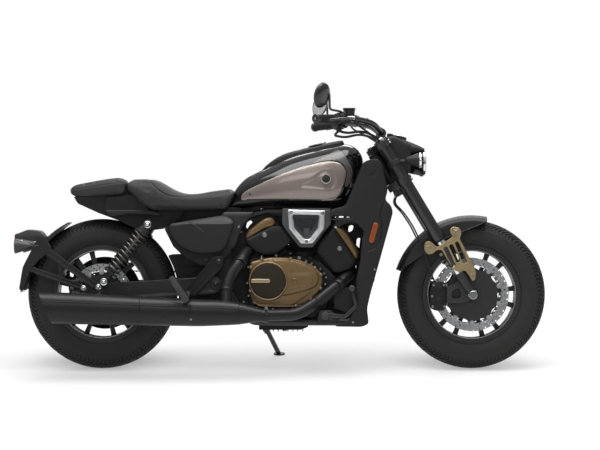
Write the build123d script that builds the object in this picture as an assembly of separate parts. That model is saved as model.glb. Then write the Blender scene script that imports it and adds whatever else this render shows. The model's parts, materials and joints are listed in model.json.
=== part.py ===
"""Cruiser motorcycle with an open V-twin engine, parked leaning on its side stand.

The machine is laid out upright in its own bike frame, in millimetres: X forward from the rear
axle, Y to the rider's left, Z up from the ground. At the end every piece is leaned over to the
left onto the side stand, and the origin goes to the bottom centre of the whole machine.
"""
from build123d import *
from math import atan2, cos, degrees, hypot, radians, sin, tan
import os

# ---------------------------------------------------------------- driving dimensions
WHEELBASE = 1595.0
LEAN = 10.0                 # degrees to the left, on the side stand
RAKE = 31.0                 # steering axis from the vertical
BEAD_RADIUS = 203.2         # 16 inch rims
FRONT_TYRE_WIDTH = 130.0
FRONT_TYRE_HEIGHT = 117.0   # section height
REAR_TYRE_WIDTH = 150.0
REAR_TYRE_HEIGHT = 120.0
SKIN = 4.0                  # moulded panels
SEAT_GAP = 0.2              # tyre bead to rim
RUNNING = 0.1               # radial clearance of shafts in bores
CLEAR = 5.5                 # clearance of anything that moves
CORNER_SHARE = 0.98         # share of its sides that a rounded corner may take

FRONT_RADIUS = BEAD_RADIUS + FRONT_TYRE_HEIGHT
REAR_RADIUS = BEAD_RADIUS + REAR_TYRE_HEIGHT
PIVOT = (494.0, 367.0)      # swingarm pivot (x, z)
FRONT_REACH = 1101.0        # front axle ahead of the pivot
FRONT_AXLE = (PIVOT[0] + FRONT_REACH, FRONT_RADIUS)
REAR_AXLE = (FRONT_AXLE[0] - WHEELBASE, REAR_RADIUS)

nodes = {}                  # node name: shape, in the bike frame


# ---------------------------------------------------------------- shape helpers
def corner_room(points):
    """Largest radius that rounds every corner of a closed outline within its two sides."""
    count = len(points)
    sides = [Vector(*points[(i + 1) % count]) - Vector(*points[i]) for i in range(count)]
    uses = [tan(radians(sides[i - 1].get_angle(sides[i]) / 2)) for i in range(count)]
    return min(sides[i].length / (uses[i] + uses[(i + 1) % count] + 1e-9) for i in range(count))


def face_xz(points, corner=0.0):
    """Closed outline of (x, z) points in the centre plane, its corners rounded within its sides."""
    if corner:
        edge = FilletPolyline(*points, radius=min(corner, CORNER_SHARE * corner_room(points)), close=True)
    else:
        edge = Polyline(*points, close=True)
    return Plane.XZ * make_face(edge)


def slab(points, y_low, y_high, corner=0.0):
    """Outline of (x, z) points, as thick as from y_low to y_high."""
    return Pos(0, y_high, 0) * extrude(face_xz(points, corner), amount=y_high - y_low)


def both(shape):
    """A piece and its mirror image on the other side."""
    return shape + mirror(shape, about=Plane.XZ)


def rod(start, end, radius):
    """Round bar between two points."""
    way = Vector(*end) - Vector(*start)
    return Part() + Solid.make_cylinder(radius, way.length, Plane(origin=start, z_dir=way))


def cross_rod(x, z, radius, y_low, y_high):
    """Round bar across the machine."""
    return rod((x, y_low, z), (x, y_high, z), radius)


def tube(points, radius, bend):
    """Round tube along straight runs joined by arcs. bend is one radius or one for each corner."""
    path = FilletPolyline(*points, radius=bend)
    return sweep(Plane(origin=path @ 0, z_dir=path % 0) * Circle(radius), path=path)


def bar(start, end, width):
    """Corners (x, z) of a straight bar with square ends."""
    way_x, way_z = end[0] - start[0], end[1] - start[1]
    length = hypot(way_x, way_z)
    side_x, side_z = -way_z / length * width / 2, way_x / length * width / 2
    return [(start[0] + side_x, start[1] + side_z), (end[0] + side_x, end[1] + side_z),
            (end[0] - side_x, end[1] - side_z), (start[0] - side_x, start[1] - side_z)]


def block(length, width, height, corner):
    """Block centred on the origin, its edges along Y rounded."""
    face = Plane.XZ * RectangleRounded(length, height, corner)
    return extrude(face, amount=width / 2, both=True)


def hull_loft(rows, y=0.0):
    """Body through rounded rectangles across the machine. rows: x, z_low, z_high, half_width, corner."""
    sections = []
    for x, z_low, z_high, half_width, corner in rows:
        place = Plane(origin=(x, y, (z_low + z_high) / 2), x_dir=(0, 1, 0), z_dir=(1, 0, 0))
        sections.append(place * RectangleRounded(2 * half_width, z_high - z_low, corner))
    return loft(sections, ruled=True)


def spun(points, axle, arc=360.0, start=0.0):
    """Section of (y, radius) points turned about an axle (x, z), from start degrees above +X."""
    face = Plane.YZ * make_face(Polyline(*points, close=True))
    ring = revolve(face, axis=Axis.Y, revolution_arc=arc)
    return Pos(axle[0], 0, axle[1]) * Rot(0, 90 - start - arc, 0) * ring


def from_rear_axle(points):
    """The same (x, z) points, with x counted from the rear axle."""
    return [(REAR_AXLE[0] + x, z) for x, z in points]


# ---------------------------------------------------------------- wheels
AXLE_RADIUS = 10.0
RIM_INNER_RADIUS = 186.5
FLANGE_RADIUS = BEAD_RADIUS + 13.5
FLANGE_THICK = 7.0
HUB_RADIUS = 46.0
HUB_HALF = 60.0
SPOKE_HALF = 13.0
SPOKE_PAIRS = 6
SPOKE_TURN = -3.5           # of the first pair, degrees above +X
SPOKE_SPREAD = 11.5         # half the angle between a pair's outer ends
SPOKE_ROOT_SPREAD = 8.0
DISC_THICK = 5.5
FRONT_DISC_RADIUS = 158.0
REAR_DISC_RADIUS = 130.0
DISC_BAND = 37.0


def tyre(width, outer_radius, rim_half, axle):
    """Tyre as a closed ring: round crown, bulged sides, beads between the rim's flanges."""
    half = width / 2
    bead = rim_half - SEAT_GAP
    shoulder = outer_radius - half
    flank = FLANGE_RADIUS + 2
    side_middle = (half - 5, (shoulder + flank) / 2)
    profile = [
        Line((bead, BEAD_RADIUS + SEAT_GAP), (bead, flank)),
        ThreePointArc((bead, flank), side_middle, (half, shoulder)),
        ThreePointArc((half, shoulder), (0, outer_radius), (-half, shoulder)),
        ThreePointArc((-half, shoulder), (-side_middle[0], side_middle[1]), (-bead, flank)),
        Line((-bead, flank), (-bead, BEAD_RADIUS + SEAT_GAP)),
        Line((-bead, BEAD_RADIUS + SEAT_GAP), (bead, BEAD_RADIUS + SEAT_GAP)),
    ]
    ring = revolve(Plane.YZ * make_face(profile), axis=Axis.Y)
    return Pos(axle[0], 0, axle[1]) * ring


def rim(rim_half, axle):
    """Cast rim: barrel with flanges, split spokes in pairs, and a hub bored for the axle."""
    lip = rim_half + FLANGE_THICK
    wheel = spun([(-lip, RIM_INNER_RADIUS), (-lip, FLANGE_RADIUS), (-rim_half, FLANGE_RADIUS),
                  (-rim_half, BEAD_RADIUS), (rim_half, BEAD_RADIUS), (rim_half, FLANGE_RADIUS),
                  (lip, FLANGE_RADIUS), (lip, RIM_INNER_RADIUS)], (0, 0))
    hub = cross_rod(0, 0, HUB_RADIUS, -HUB_HALF, HUB_HALF)
    root_radius, tip_radius = HUB_RADIUS - 4, RIM_INNER_RADIUS + 3
    root_half, tip_half = 10.0, 12.0
    arms = Part()
    for pair in range(SPOKE_PAIRS):
        for side in (-1, 1):
            middle = SPOKE_TURN + pair * 360 / SPOKE_PAIRS
            root = radians(middle + side * SPOKE_ROOT_SPREAD)
            tip = radians(middle + side * SPOKE_SPREAD)
            a = Vector(cos(root), 0, sin(root)) * root_radius
            b = Vector(cos(tip), 0, sin(tip)) * tip_radius
            across = Vector(-(b - a).Z, 0, (b - a).X).normalized()
            corners = [a - across * root_half, b - across * tip_half,
                       b + across * tip_half, a + across * root_half]
            arms += slab([(c.X, c.Z) for c in corners], -SPOKE_HALF, SPOKE_HALF)
    bore = cross_rod(0, 0, AXLE_RADIUS + RUNNING, -HUB_HALF, HUB_HALF)
    return Pos(axle[0], 0, axle[1]) * (wheel + hub + arms - bore)


def brake_disc(outer_radius, side, axle):
    """Brake disc on the hub's end face: a band carried on five arms. side is -1 right, 1 left."""
    band_inner = outer_radius - DISC_BAND
    y_low, y_high = sorted((side * HUB_HALF, side * (HUB_HALF + DISC_THICK)))
    band = cross_rod(0, 0, outer_radius, y_low, y_high) - cross_rod(0, 0, band_inner, y_low, y_high)
    carrier = cross_rod(0, 0, HUB_RADIUS - 4, y_low, y_high)
    for arm in range(5):
        turn = radians(18 + 72 * arm)
        corners = bar((0, 0), (cos(turn) * (band_inner + 3), sin(turn) * (band_inner + 3)), 26)
        carrier += slab(corners, y_low, y_high)
    bore = cross_rod(0, 0, AXLE_RADIUS + CLEAR + 4, y_low, y_high)
    return Pos(axle[0], 0, axle[1]) * (band + carrier - bore)


FRONT_RIM_HALF = 38.1       # 3.0 inch rim
REAR_RIM_HALF = 50.8        # 4.0 inch rim
PULLEY_RADIUS = 92.0
BELT_THICK = 7.0
BELT_Y = (88.0, 110.0)      # left side
BELT_DRIVE = (640.0, 372.0)  # gearbox output shaft (x, z)
BELT_DRIVE_RADIUS = 36.0

nodes["front_tyre"] = tyre(FRONT_TYRE_WIDTH, FRONT_RADIUS, FRONT_RIM_HALF, FRONT_AXLE)
nodes["front_rim"] = rim(FRONT_RIM_HALF, FRONT_AXLE)
nodes["front_discs"] = (brake_disc(FRONT_DISC_RADIUS, -1, FRONT_AXLE)
                        + brake_disc(FRONT_DISC_RADIUS, 1, FRONT_AXLE))
nodes["rear_tyre"] = tyre(REAR_TYRE_WIDTH, REAR_RADIUS, REAR_RIM_HALF, REAR_AXLE)
nodes["rear_disc"] = brake_disc(REAR_DISC_RADIUS, -1, REAR_AXLE)

pulley = (cross_rod(*REAR_AXLE, PULLEY_RADIUS, BELT_Y[0] - 2, BELT_Y[1] + 1)
          + cross_rod(*REAR_AXLE, HUB_RADIUS - 4, HUB_HALF, BELT_Y[0]))
for hole in range(6):
    turn = radians(60 * hole)
    centre = (REAR_AXLE[0] + 62 * cos(turn), REAR_AXLE[1] + 62 * sin(turn))
    pulley -= cross_rod(*centre, 15, HUB_HALF, BELT_Y[1] + 2)
pulley -= cross_rod(*REAR_AXLE, AXLE_RADIUS + RUNNING, HUB_HALF, BELT_Y[1] + 2)
nodes["rear_rim"] = rim(REAR_RIM_HALF, REAR_AXLE) + pulley


# ---------------------------------------------------------------- fork and steering head
YOKE_OFFSET = 45.0          # fork legs ahead of the steering axis
FORK_HALF = 105.0           # fork legs from the centre plane
FORK_TUBE_RADIUS = 28.0
STANCHION_RADIUS = 20.5
STEM_RADIUS = 15.0
HEAD_TUBE_RADIUS = 30.0
FOOT_TOP = 110.0            # heights along the fork from the front axle
TUBE_BOTTOM = 276.0
LOWER_YOKE = (556.0, 588.0)
UPPER_YOKE = (738.0, 762.0)
TUBE_TOP = 774.0
HEAD_GAP = 1.0              # bearing gap between head tube and yokes


def fork_point(forward, height):
    """(x, z) of a point in the fork's own frame: ahead of the legs, and up along them."""
    return (FRONT_AXLE[0] + forward * cos(radians(RAKE)) - height * sin(radians(RAKE)),
            FRONT_AXLE[1] + forward * sin(radians(RAKE)) + height * cos(radians(RAKE)))


def fork_rod(forward, y, low, high, radius):
    """Round bar parallel to the fork legs."""
    (x0, z0), (x1, z1) = fork_point(forward, low), fork_point(forward, high)
    return rod((x0, y, z0), (x1, y, z1), radius)


def yoke(low, high, leg_ring, stem_ring):
    """Plate that clamps both fork legs and holds the steering stem."""
    x, z = fork_point(0, low)
    plane = Plane(origin=(x, 0, z), x_dir=(cos(radians(RAKE)), 0, sin(radians(RAKE))),
                  z_dir=(-sin(radians(RAKE)), 0, cos(radians(RAKE))))
    outline = (make_hull((Pos(0, FORK_HALF) * Circle(leg_ring)).edges()
                         + (Pos(-YOKE_OFFSET, 0) * Circle(stem_ring)).edges()
                         + (Pos(0, -FORK_HALF) * Circle(leg_ring)).edges()))
    legs = Pos(0, FORK_HALF) * Circle(FORK_TUBE_RADIUS) + Pos(0, -FORK_HALF) * Circle(FORK_TUBE_RADIUS)
    return extrude(plane * (outline - legs), amount=high - low)


nodes["fork_tubes"] = both(fork_rod(0, -FORK_HALF, TUBE_BOTTOM, TUBE_TOP, FORK_TUBE_RADIUS))
stanchion = fork_rod(0, -FORK_HALF, FOOT_TOP - 6, TUBE_BOTTOM, STANCHION_RADIUS)
stem = fork_rod(-YOKE_OFFSET, 0, LOWER_YOKE[1], UPPER_YOKE[0], STEM_RADIUS)
yokes = (yoke(*LOWER_YOKE, FORK_TUBE_RADIUS + 8, 30)
         + yoke(*UPPER_YOKE, FORK_TUBE_RADIUS + 7, 28) + stem)

# front axle and the fork feet that hold it, each with the ear that carries a brake caliper
FOOT_INNER, FOOT_OUTER = 80.0, 128.0
CALIPER_INNER, CALIPER_OUTER = 34.0, 102.0
CALIPER_BACK, CALIPER_FRONT = -184.0, -112.0   # behind the front axle
CALIPER_LOW, CALIPER_HIGH = -68.0, 56.0
SPINDLE_BORE_RADIUS = 6.0   # through both hollow axles
front_axle = cross_rod(*FRONT_AXLE, AXLE_RADIUS, -FOOT_OUTER - 8, FOOT_OUTER + 8)
nodes["front_axle"] = front_axle - cross_rod(*FRONT_AXLE, SPINDLE_BORE_RADIUS, -FOOT_OUTER - 9,
                                             FOOT_OUTER + 9)
foot_outline = [fork_point(f, h) for f, h in
                [(-24, FOOT_TOP), (24, FOOT_TOP), (22, 10), (14, -34), (-16, -34), (-26, 10)]]
ear_outline = [(FRONT_AXLE[0] + x, FRONT_AXLE[1] + z) for x, z in
               [(CALIPER_FRONT, -36), (CALIPER_FRONT, 30), (-60, 62), (-10, 50), (0, -20), (-50, -36)]]
foot = (slab(foot_outline, -FOOT_OUTER, -FOOT_INNER, 8)
        + slab(ear_outline, -CALIPER_OUTER + 6, -FOOT_INNER, 6))
nodes["fork_legs"] = both(foot + stanchion - front_axle)

caliper_outline = [(FRONT_AXLE[0] + x, FRONT_AXLE[1] + z) for x, z in
                   [(CALIPER_BACK + 8, CALIPER_LOW), (CALIPER_BACK, -20), (CALIPER_BACK, 20),
                    (CALIPER_BACK + 12, CALIPER_HIGH), (CALIPER_FRONT, CALIPER_HIGH),
                    (CALIPER_FRONT, CALIPER_LOW)]]
slot_half = DISC_THICK / 2 + CLEAR
disc_y = -(HUB_HALF + DISC_THICK / 2)
caliper = slab(caliper_outline, -CALIPER_OUTER, -CALIPER_INNER, 7)
caliper -= cross_rod(*FRONT_AXLE, FRONT_DISC_RADIUS + CLEAR, disc_y - slot_half, disc_y + slot_half)
rim_reach = RIM_INNER_RADIUS - CLEAR
caliper -= (cross_rod(*FRONT_AXLE, 300, -FRONT_RIM_HALF - FLANGE_THICK - CLEAR, 0)
            - cross_rod(*FRONT_AXLE, rim_reach, -FRONT_RIM_HALF - FLANGE_THICK - CLEAR, 0))
nodes["front_calipers"] = both(caliper)

# front mudguard: an arch over the tyre with deeper sides where its brackets bolt on
GUARD_HALF = 76.0
GUARD_INNER, GUARD_OUTER = FRONT_RADIUS + 14, FRONT_RADIUS + 18 + SKIN
GUARD_START, GUARD_ARC = 79.0, 82.5
GUARD_SIDE_RADIUS = FRONT_RADIUS - 12
GUARD_TAB_RADIUS = FRONT_RADIUS - 56
GUARD_TAB_START, GUARD_TAB_ARC = 97.0, 46.0
guard = spun([(-GUARD_HALF, GUARD_SIDE_RADIUS), (-GUARD_HALF, GUARD_OUTER - 22),
              (-GUARD_HALF + 26, GUARD_OUTER), (GUARD_HALF - 26, GUARD_OUTER),
              (GUARD_HALF, GUARD_OUTER - 22), (GUARD_HALF, GUARD_SIDE_RADIUS),
              (GUARD_HALF - SKIN, GUARD_SIDE_RADIUS), (GUARD_HALF - SKIN, GUARD_OUTER - 25),
              (GUARD_HALF - 28, GUARD_INNER), (-GUARD_HALF + 28, GUARD_INNER),
              (-GUARD_HALF + SKIN, GUARD_OUTER - 25), (-GUARD_HALF + SKIN, GUARD_SIDE_RADIUS)],
             FRONT_AXLE, GUARD_ARC, GUARD_START)
guard += both(spun([(-GUARD_HALF, GUARD_TAB_RADIUS), (-GUARD_HALF, GUARD_SIDE_RADIUS + 1),
                    (-GUARD_HALF + SKIN, GUARD_SIDE_RADIUS + 1), (-GUARD_HALF + SKIN, GUARD_TAB_RADIUS)],
                   FRONT_AXLE, GUARD_TAB_ARC, GUARD_TAB_START))
nodes["front_mudguard"] = guard

# cast mudguard brackets, each clamped on a stanchion and bolted to the mudguard at two eyes
BRACKET_OUTER = 130.0
FRONT_EYE, REAR_EYE, TIP_EYE = (66.0, 272.0), (-64.0, 272.0), (50.0, 84.0)
bracket_outline = [(-32, 250), (34, 256), (52, 276), (60, 288), (78, 288), (84, 268), (72, 236),
                   (62, 100), (60, 74), (40, 70), (38, 96), (44, 132), (-24, 132), (-30, 150)]
bracket = slab([fork_point(f, h) for f, h in bracket_outline], -BRACKET_OUTER, -FORK_HALF + 2, 4)
bracket += slab(bar(fork_point(-28, 240), fork_point(*REAR_EYE), 26), -BRACKET_OUTER, -FORK_HALF - 4)
for forward, low, high in [(-12, 152, 236), (8, 152, 240), (28, 152, 244)]:
    window = bar(fork_point(forward, low), fork_point(forward, high), 11)
    bracket -= slab(window, -BRACKET_OUTER - 1, -FORK_HALF - STANCHION_RADIUS / 2)
for eye in (FRONT_EYE, REAR_EYE):
    bracket += cross_rod(*fork_point(*eye), 15, -BRACKET_OUTER, -GUARD_HALF)
bracket += cross_rod(*fork_point(*TIP_EYE), 13, -BRACKET_OUTER - 2, -FORK_HALF + 2)
bracket -= fork_rod(0, -FORK_HALF, FOOT_TOP, TUBE_BOTTOM + 40, STANCHION_RADIUS)
bracket -= fork_rod(0, -FORK_HALF, TUBE_BOTTOM, TUBE_BOTTOM + 40, FORK_TUBE_RADIUS)
nodes["mudguard_brackets"] = both(bracket)

# handlebar: clamped in the middle, swept up and back to the grips. columns: x, y, z
BAR_RADIUS = 12.5
GRIP_RADIUS = 17.5
BAR_CLAMP = (1205.0, 1016.0)
BAR_ROUTE = [(BAR_CLAMP[0], -70, BAR_CLAMP[1]), (1165, -150, 1056), (1085, -225, 1072)]
GRIP_OUTER = (925.0, -420.0, 1062.0)
GRIP_LENGTH = 136.0
BAR_END_RADIUS, BAR_END_LENGTH = 21.0, 14.0
along = (Vector(*GRIP_OUTER) - Vector(*BAR_ROUTE[-1])).normalized()
grip_inner = Vector(*GRIP_OUTER) - along * GRIP_LENGTH
grip_end = Vector(*GRIP_OUTER) + along * BAR_END_LENGTH
half_bar = tube([(BAR_CLAMP[0], 0, BAR_CLAMP[1])] + BAR_ROUTE + [GRIP_OUTER], BAR_RADIUS, [60, 70, 70])
half_bar += rod(grip_inner, GRIP_OUTER, GRIP_RADIUS) + rod(GRIP_OUTER, grip_end, BAR_END_RADIUS)
nodes["handlebar"] = both(half_bar)

# risers between the upper yoke and the bar
riser_top = (BAR_CLAMP[0], BAR_CLAMP[1])
riser_foot = fork_point(4, UPPER_YOKE[1] - 2)
riser = slab(bar(riser_foot, riser_top, 34), -66, -38)
riser += cross_rod(*riser_top, BAR_RADIUS + 8, -66, -38)
cover_outline = [(1258, 800), (1266, 736), (1318, 764), (1332, 812)]
lower_cover = slab(cover_outline, -62, 62, 6)
lower_cover -= yoke(LOWER_YOKE[0], LOWER_YOKE[1] + 300, FORK_TUBE_RADIUS + 8, 30)
nodes["fork_yokes"] = yokes + lower_cover + both(riser) - nodes["fork_tubes"] - nodes["handlebar"]

# switch pods, lever perches, levers and brake fluid cup on each side
pod = rod(grip_inner - along * 46, grip_inner, 25)
perch = rod(grip_inner - along * 74, grip_inner - along * 50, 20)
ahead = Vector(0.82, -0.57, 0).normalized()
lever_root = grip_inner - along * 62 + ahead * 42
lever_tip = Vector(*GRIP_OUTER) + ahead * 62 - Vector(0, 0, 8)
perch += rod(grip_inner - along * 62, lever_root, 10)
perch += tube([lever_root, lever_root + along * 50 + ahead * 16, lever_tip], 6, 40)
perch -= half_bar
pod -= half_bar
cup_centre = grip_inner - along * 62 + ahead * 30 + Vector(0, 0, 26)
cup = Pos(*cup_centre) * block(58, 44, 30, 6)
nodes["hand_controls"] = both(pod + perch) + (cup - half_bar)

# mirrors: round shells on bent stems from the perches. The glass faces back and inwards
MIRROR_CENTRE = (944.0, -410.0, 1160.0)
MIRROR_RADIUS = 54.0
MIRROR_THICK = 18.0
MIRROR_NORMAL = (-0.80, 0.56, 0.20)
mirror_plane = Plane(origin=MIRROR_CENTRE, z_dir=MIRROR_NORMAL)
shell = extrude(mirror_plane * Circle(MIRROR_RADIUS), amount=-MIRROR_THICK)
back = Vector(*MIRROR_CENTRE) - Vector(*MIRROR_NORMAL).normalized() * MIRROR_THICK
stem_foot = grip_inner - along * 62 + Vector(0, 0, 18)
stalk = tube([stem_foot, stem_foot + Vector(-10, -12, 60), back + Vector(26, -18, 0), back], 5, [18, 14])
nodes["mirrors"] = both(shell + stalk) - nodes["hand_controls"] - nodes["handlebar"]

# headlight, its mounting bar between the fork tubes, and the small cowl with the instrument
HEADLIGHT_RADIUS = 60.0
HEADLIGHT_LENGTH = 120.0
HEADLIGHT_Z = 889.0
HEADLIGHT_AHEAD = 8.0       # back of the shell, ahead of the mounting bar
LENS_THICK = 9.0
BAR_AHEAD = 9.0             # mounting bar, ahead of the fork legs' plane
bar_height = (HEADLIGHT_Z - fork_point(BAR_AHEAD, 0)[1]) / cos(radians(RAKE))
HEADLIGHT_BACK = fork_point(BAR_AHEAD, bar_height)[0] + HEADLIGHT_AHEAD
HEADLIGHT_FRONT = HEADLIGHT_BACK + HEADLIGHT_LENGTH


def round_x(profile, z):
    """Body of (x, radius) points turned about a line along X at height z."""
    face = Plane.XZ * make_face(Polyline(*profile, close=True))
    return Pos(0, 0, z) * revolve(face, axis=Axis.X)


shell = round_x([(HEADLIGHT_BACK, 0), (HEADLIGHT_BACK, 20), (HEADLIGHT_BACK + 16, 32),
                 (HEADLIGHT_BACK + 50, 43), (HEADLIGHT_FRONT - 26, HEADLIGHT_RADIUS - 5),
                 (HEADLIGHT_FRONT - 16, HEADLIGHT_RADIUS),
                 (HEADLIGHT_FRONT + 4, HEADLIGHT_RADIUS), (HEADLIGHT_FRONT + 4, HEADLIGHT_RADIUS - 7),
                 (HEADLIGHT_FRONT, HEADLIGHT_RADIUS - 7), (HEADLIGHT_FRONT, 0)], HEADLIGHT_Z)
mounting_bar = cross_rod(*fork_point(BAR_AHEAD, bar_height), 9, -FORK_HALF, FORK_HALF)
mounting_bar -= nodes["fork_tubes"]
lens = round_x([(HEADLIGHT_FRONT, 0), (HEADLIGHT_FRONT, HEADLIGHT_RADIUS - 8),
                (HEADLIGHT_FRONT + LENS_THICK - 3, HEADLIGHT_RADIUS - 8),
                (HEADLIGHT_FRONT + LENS_THICK, HEADLIGHT_RADIUS - 18),
                (HEADLIGHT_FRONT + LENS_THICK, 0)], HEADLIGHT_Z)
cowl_outline = [(1262, 996), (1268, 1012), (1322, 990), (1398, 950), (1398, 930), (1300, 920), (1270, 960)]
instrument = slab(cowl_outline, -50, 50, 5)
instrument += Pos(1282, 0, 1004) * Rot(0, 24, 0) * extrude(Circle(44), amount=12, both=True)
instrument -= Pos(0, 0, HEADLIGHT_Z) * rod((HEADLIGHT_BACK, 0, 0), (HEADLIGHT_FRONT + 20, 0, 0), 52)
instrument -= nodes["fork_yokes"] + nodes["fork_tubes"]
nodes["headlight_shell"] = shell + mounting_bar + instrument

# front indicators on stalks from the fork tubes
INDICATOR_LENGTH, INDICATOR_RADIUS = 78.0, 24.0


def indicator(x, y, z, way):
    """Bullet shaped lamp pointing along X. way is 1 forward, -1 backward."""
    half = INDICATOR_LENGTH / 2
    profile = [(-half, 0), (-half, 5), (-half / 3, INDICATOR_RADIUS - 6), (half / 2, INDICATOR_RADIUS),
               (half, INDICATOR_RADIUS), (half, 0)]
    return Pos(x, y, 0) * round_x([(way * a, r) for a, r in profile], z)


FRONT_INDICATOR = (1332.0, -152.0, 897.0)
lamp = indicator(*FRONT_INDICATOR, 1)
stalk_end = fork_point(BAR_AHEAD + 6, bar_height)
stalk = rod((stalk_end[0], -FORK_HALF, stalk_end[1]), (FRONT_INDICATOR[0] - 4, FRONT_INDICATOR[1] + 14,
                                                      FRONT_INDICATOR[2]), 8)
nodes["front_lamps"] = lens + both(lamp + stalk - nodes["fork_tubes"] - mounting_bar)

# brake hoses, from the cover under the lower yoke to the calipers. columns: x, y, z
HOSE_RADIUS = 3.5
HOSE_ROUTE = [(1280, -58, 756), (1250, -80, 722), (1300, -98, 676), (1354, -104, 590), (1394, -96, 480),
              (1430, -72, 382)]


def corner_radii(points, smallest):
    """Arc radius at each corner: 0.45 of the shorter run over the tangent of half the turn."""
    radii = []
    for a, b, c in zip(points, points[1:], points[2:]):
        run_in, run_out = Vector(*b) - Vector(*a), Vector(*c) - Vector(*b)
        turn = radians(run_in.get_angle(run_out))
        radii.append(max(smallest, 0.45 * min(run_in.length, run_out.length) / tan(turn / 2)))
    return radii


hose_radii = corner_radii(HOSE_ROUTE, HOSE_RADIUS * 3)
print("brake hose bend radii", [round(r) for r in hose_radii])
hose = tube(HOSE_ROUTE, HOSE_RADIUS, hose_radii)
nodes["brake_hoses"] = both(hose) - nodes["front_calipers"] - nodes["fork_yokes"]

# ---------------------------------------------------------------- frame
CRANK = (849.0, 368.0)      # crankshaft centre (x, z)
SPINE_RADIUS = 28.0
SPINE_TUNNEL = SPINE_RADIUS + 4.0   # half width of the tank's tunnel
TANK_PADS = [(1060.0, 804.0), (700.0, 730.0)]   # rubber pads on the spine (x, z)
CRADLE_RADIUS = 16.0
RAIL_Z = 204.0
RAIL_HALF = 105.0
PLATE_HALF = (56.0, 84.0)
PIVOT_TUBE_RADIUS = 22.0
SHOCK_TOP = (204.0, 622.0)
SHOCK_BOTTOM = (REAR_AXLE[0] + 18.0, 378.0)
SHOCK_Y = 162.0

(head_x0, head_z0), (head_x1, head_z1) = (fork_point(-YOKE_OFFSET, LOWER_YOKE[1] + HEAD_GAP),
                                          fork_point(-YOKE_OFFSET, UPPER_YOKE[0] - HEAD_GAP))
head_tube = rod((head_x0, 0, head_z0), (head_x1, 0, head_z1), HEAD_TUBE_RADIUS)
stem_bore = fork_rod(-YOKE_OFFSET, 0, LOWER_YOKE[0], UPPER_YOKE[1], STEM_RADIUS + RUNNING)
spine = tube([(1208, 0, 868), (1000, 0, 778), (640, 0, 720), (548, 0, 560)], SPINE_RADIUS, [150, 90])
cradle_side = tube([(1200, -22, 862), (1168, -58, 752), (1172, -92, 640), (1098, -RAIL_HALF, RAIL_Z),
                    (640, -70, RAIL_Z), (546, -70, 346)], CRADLE_RADIUS, [60, 80, 60, 60])
plate_outline = [(462, 330), (452, 400), (490, 470), (520, 600), (548, 640), (600, 610), (566, 540),
                 (548, 400), (530, 330)]
plate = slab(plate_outline, -PLATE_HALF[1], -PLATE_HALF[0], 8)
tank_rail = tube([(575, -66, 612), (640, -62, 662), (710, -62, 680), (1010, -62, 680), (1090, -60, 706),
                  (1176, -48, 792)], 14, [90, 80, 120, 90])
seat_rail = tube([(572, -66, 626), (330, -66, 656), (206, -66, 640), (-40, -66, 712)], 12, [80, 80])
shock_pin = cross_rod(*SHOCK_TOP, 11, -SHOCK_Y - 22, -60)
pivot_tube = cross_rod(*PIVOT, PIVOT_TUBE_RADIUS, -PLATE_HALF[1], PLATE_HALF[1])
cross_member = cross_rod(560, 590, 14, -PLATE_HALF[0], PLATE_HALF[0])
pads = Part()
for x, z in TANK_PADS:
    pads += cross_rod(x, z, 9, -SPINE_TUNNEL, SPINE_TUNNEL)
side_frame = plate + seat_rail + shock_pin + tank_rail
nodes["frame_spine"] = (head_tube + spine + pads + both(side_frame) + pivot_tube
                        + cross_member - stem_bore)

# side stand tab under the left rail. STAND_AXIS is the pivot bolt, about which the leg folds back
STAND_PIVOT = (700.0, 118.0, 178.0)
STAND_AXIS = (0.0, 0.684, 0.730)
STAND_WAY = (0.303, 0.692, -0.656)       # of the leg, from its pivot, when down
TAB_THICK, TAB_RADIUS = 10.0, 16.0
STAND_PIN_RADIUS = 7.0
stand_plane = Plane(origin=STAND_PIVOT, x_dir=(0, -0.730, 0.684), z_dir=STAND_AXIS)
tab = extrude(stand_plane * (Circle(TAB_RADIUS) + Pos(26, 0) * Rectangle(52, 2 * TAB_RADIUS)
                             - Circle(STAND_PIN_RADIUS + RUNNING)), amount=TAB_THICK / 2, both=True)
engine_mount = slab([(1001, 352), (1001, 262), (1090, 236), (1118, 330), (1116, 352)], -101, -93)
cradle = both(cradle_side + engine_mount - head_tube - spine - plate - tank_rail) + tab
nodes["frame_cradle"] = cradle

# ---------------------------------------------------------------- engine
CASE_RIGHT, CASE_LEFT = -110.0, 85.0
GEARBOX_HALF = 52.0
COVER_OUTER = -158.0
case_outline = [(640, 478), (640, 262), (700, 226), (900, 226), (960, 262), (990, 330), (1006, 396),
                (940, 462), (849, 486)]
crankcase = slab(case_outline, CASE_RIGHT, CASE_LEFT, 14)
crankcase += slab([(580, 306), (584, 440), (640, 478), (790, 486), (806, 538), (905, 538), (925, 480),
                   (940, 306)], -GEARBOX_HALF, GEARBOX_HALF)
crankcase += cross_rod(1006, 318, 34, -78, 10)          # oil filter

# cylinder banks. columns: lean from vertical, shift across the axis, head start, cover start, cover end
BANKS = [(-31.0, -16.0, 206.0, 277.0, 313.0), (50.0, 3.0, 190.0, 256.0, 294.0)]
BARREL_START = 96.0
BARREL_HALF, HEAD_HALF_ALONG, HEAD_HALF = 66.0, 80.0, 100.0
HEAD_SIDE_DROP = 44.0       # side covers reach below the head's foot
FIN_COUNT, FIN_THICK, FIN_REACH = 5, 4.0, 12.0
SIDE_COVER_THICK = 14.0


def bank_box(lean, shift, low, high, half_along, y_half, corner=0.0):
    """Block on a cylinder's axis, between two distances from the crankshaft centre."""
    body = Pos(shift, 0, (low + high) / 2) * block(2 * half_along, 2 * y_half, high - low, max(corner, 0.5))
    return Pos(CRANK[0], 0, CRANK[1]) * Rot(0, lean, 0) * body


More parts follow.
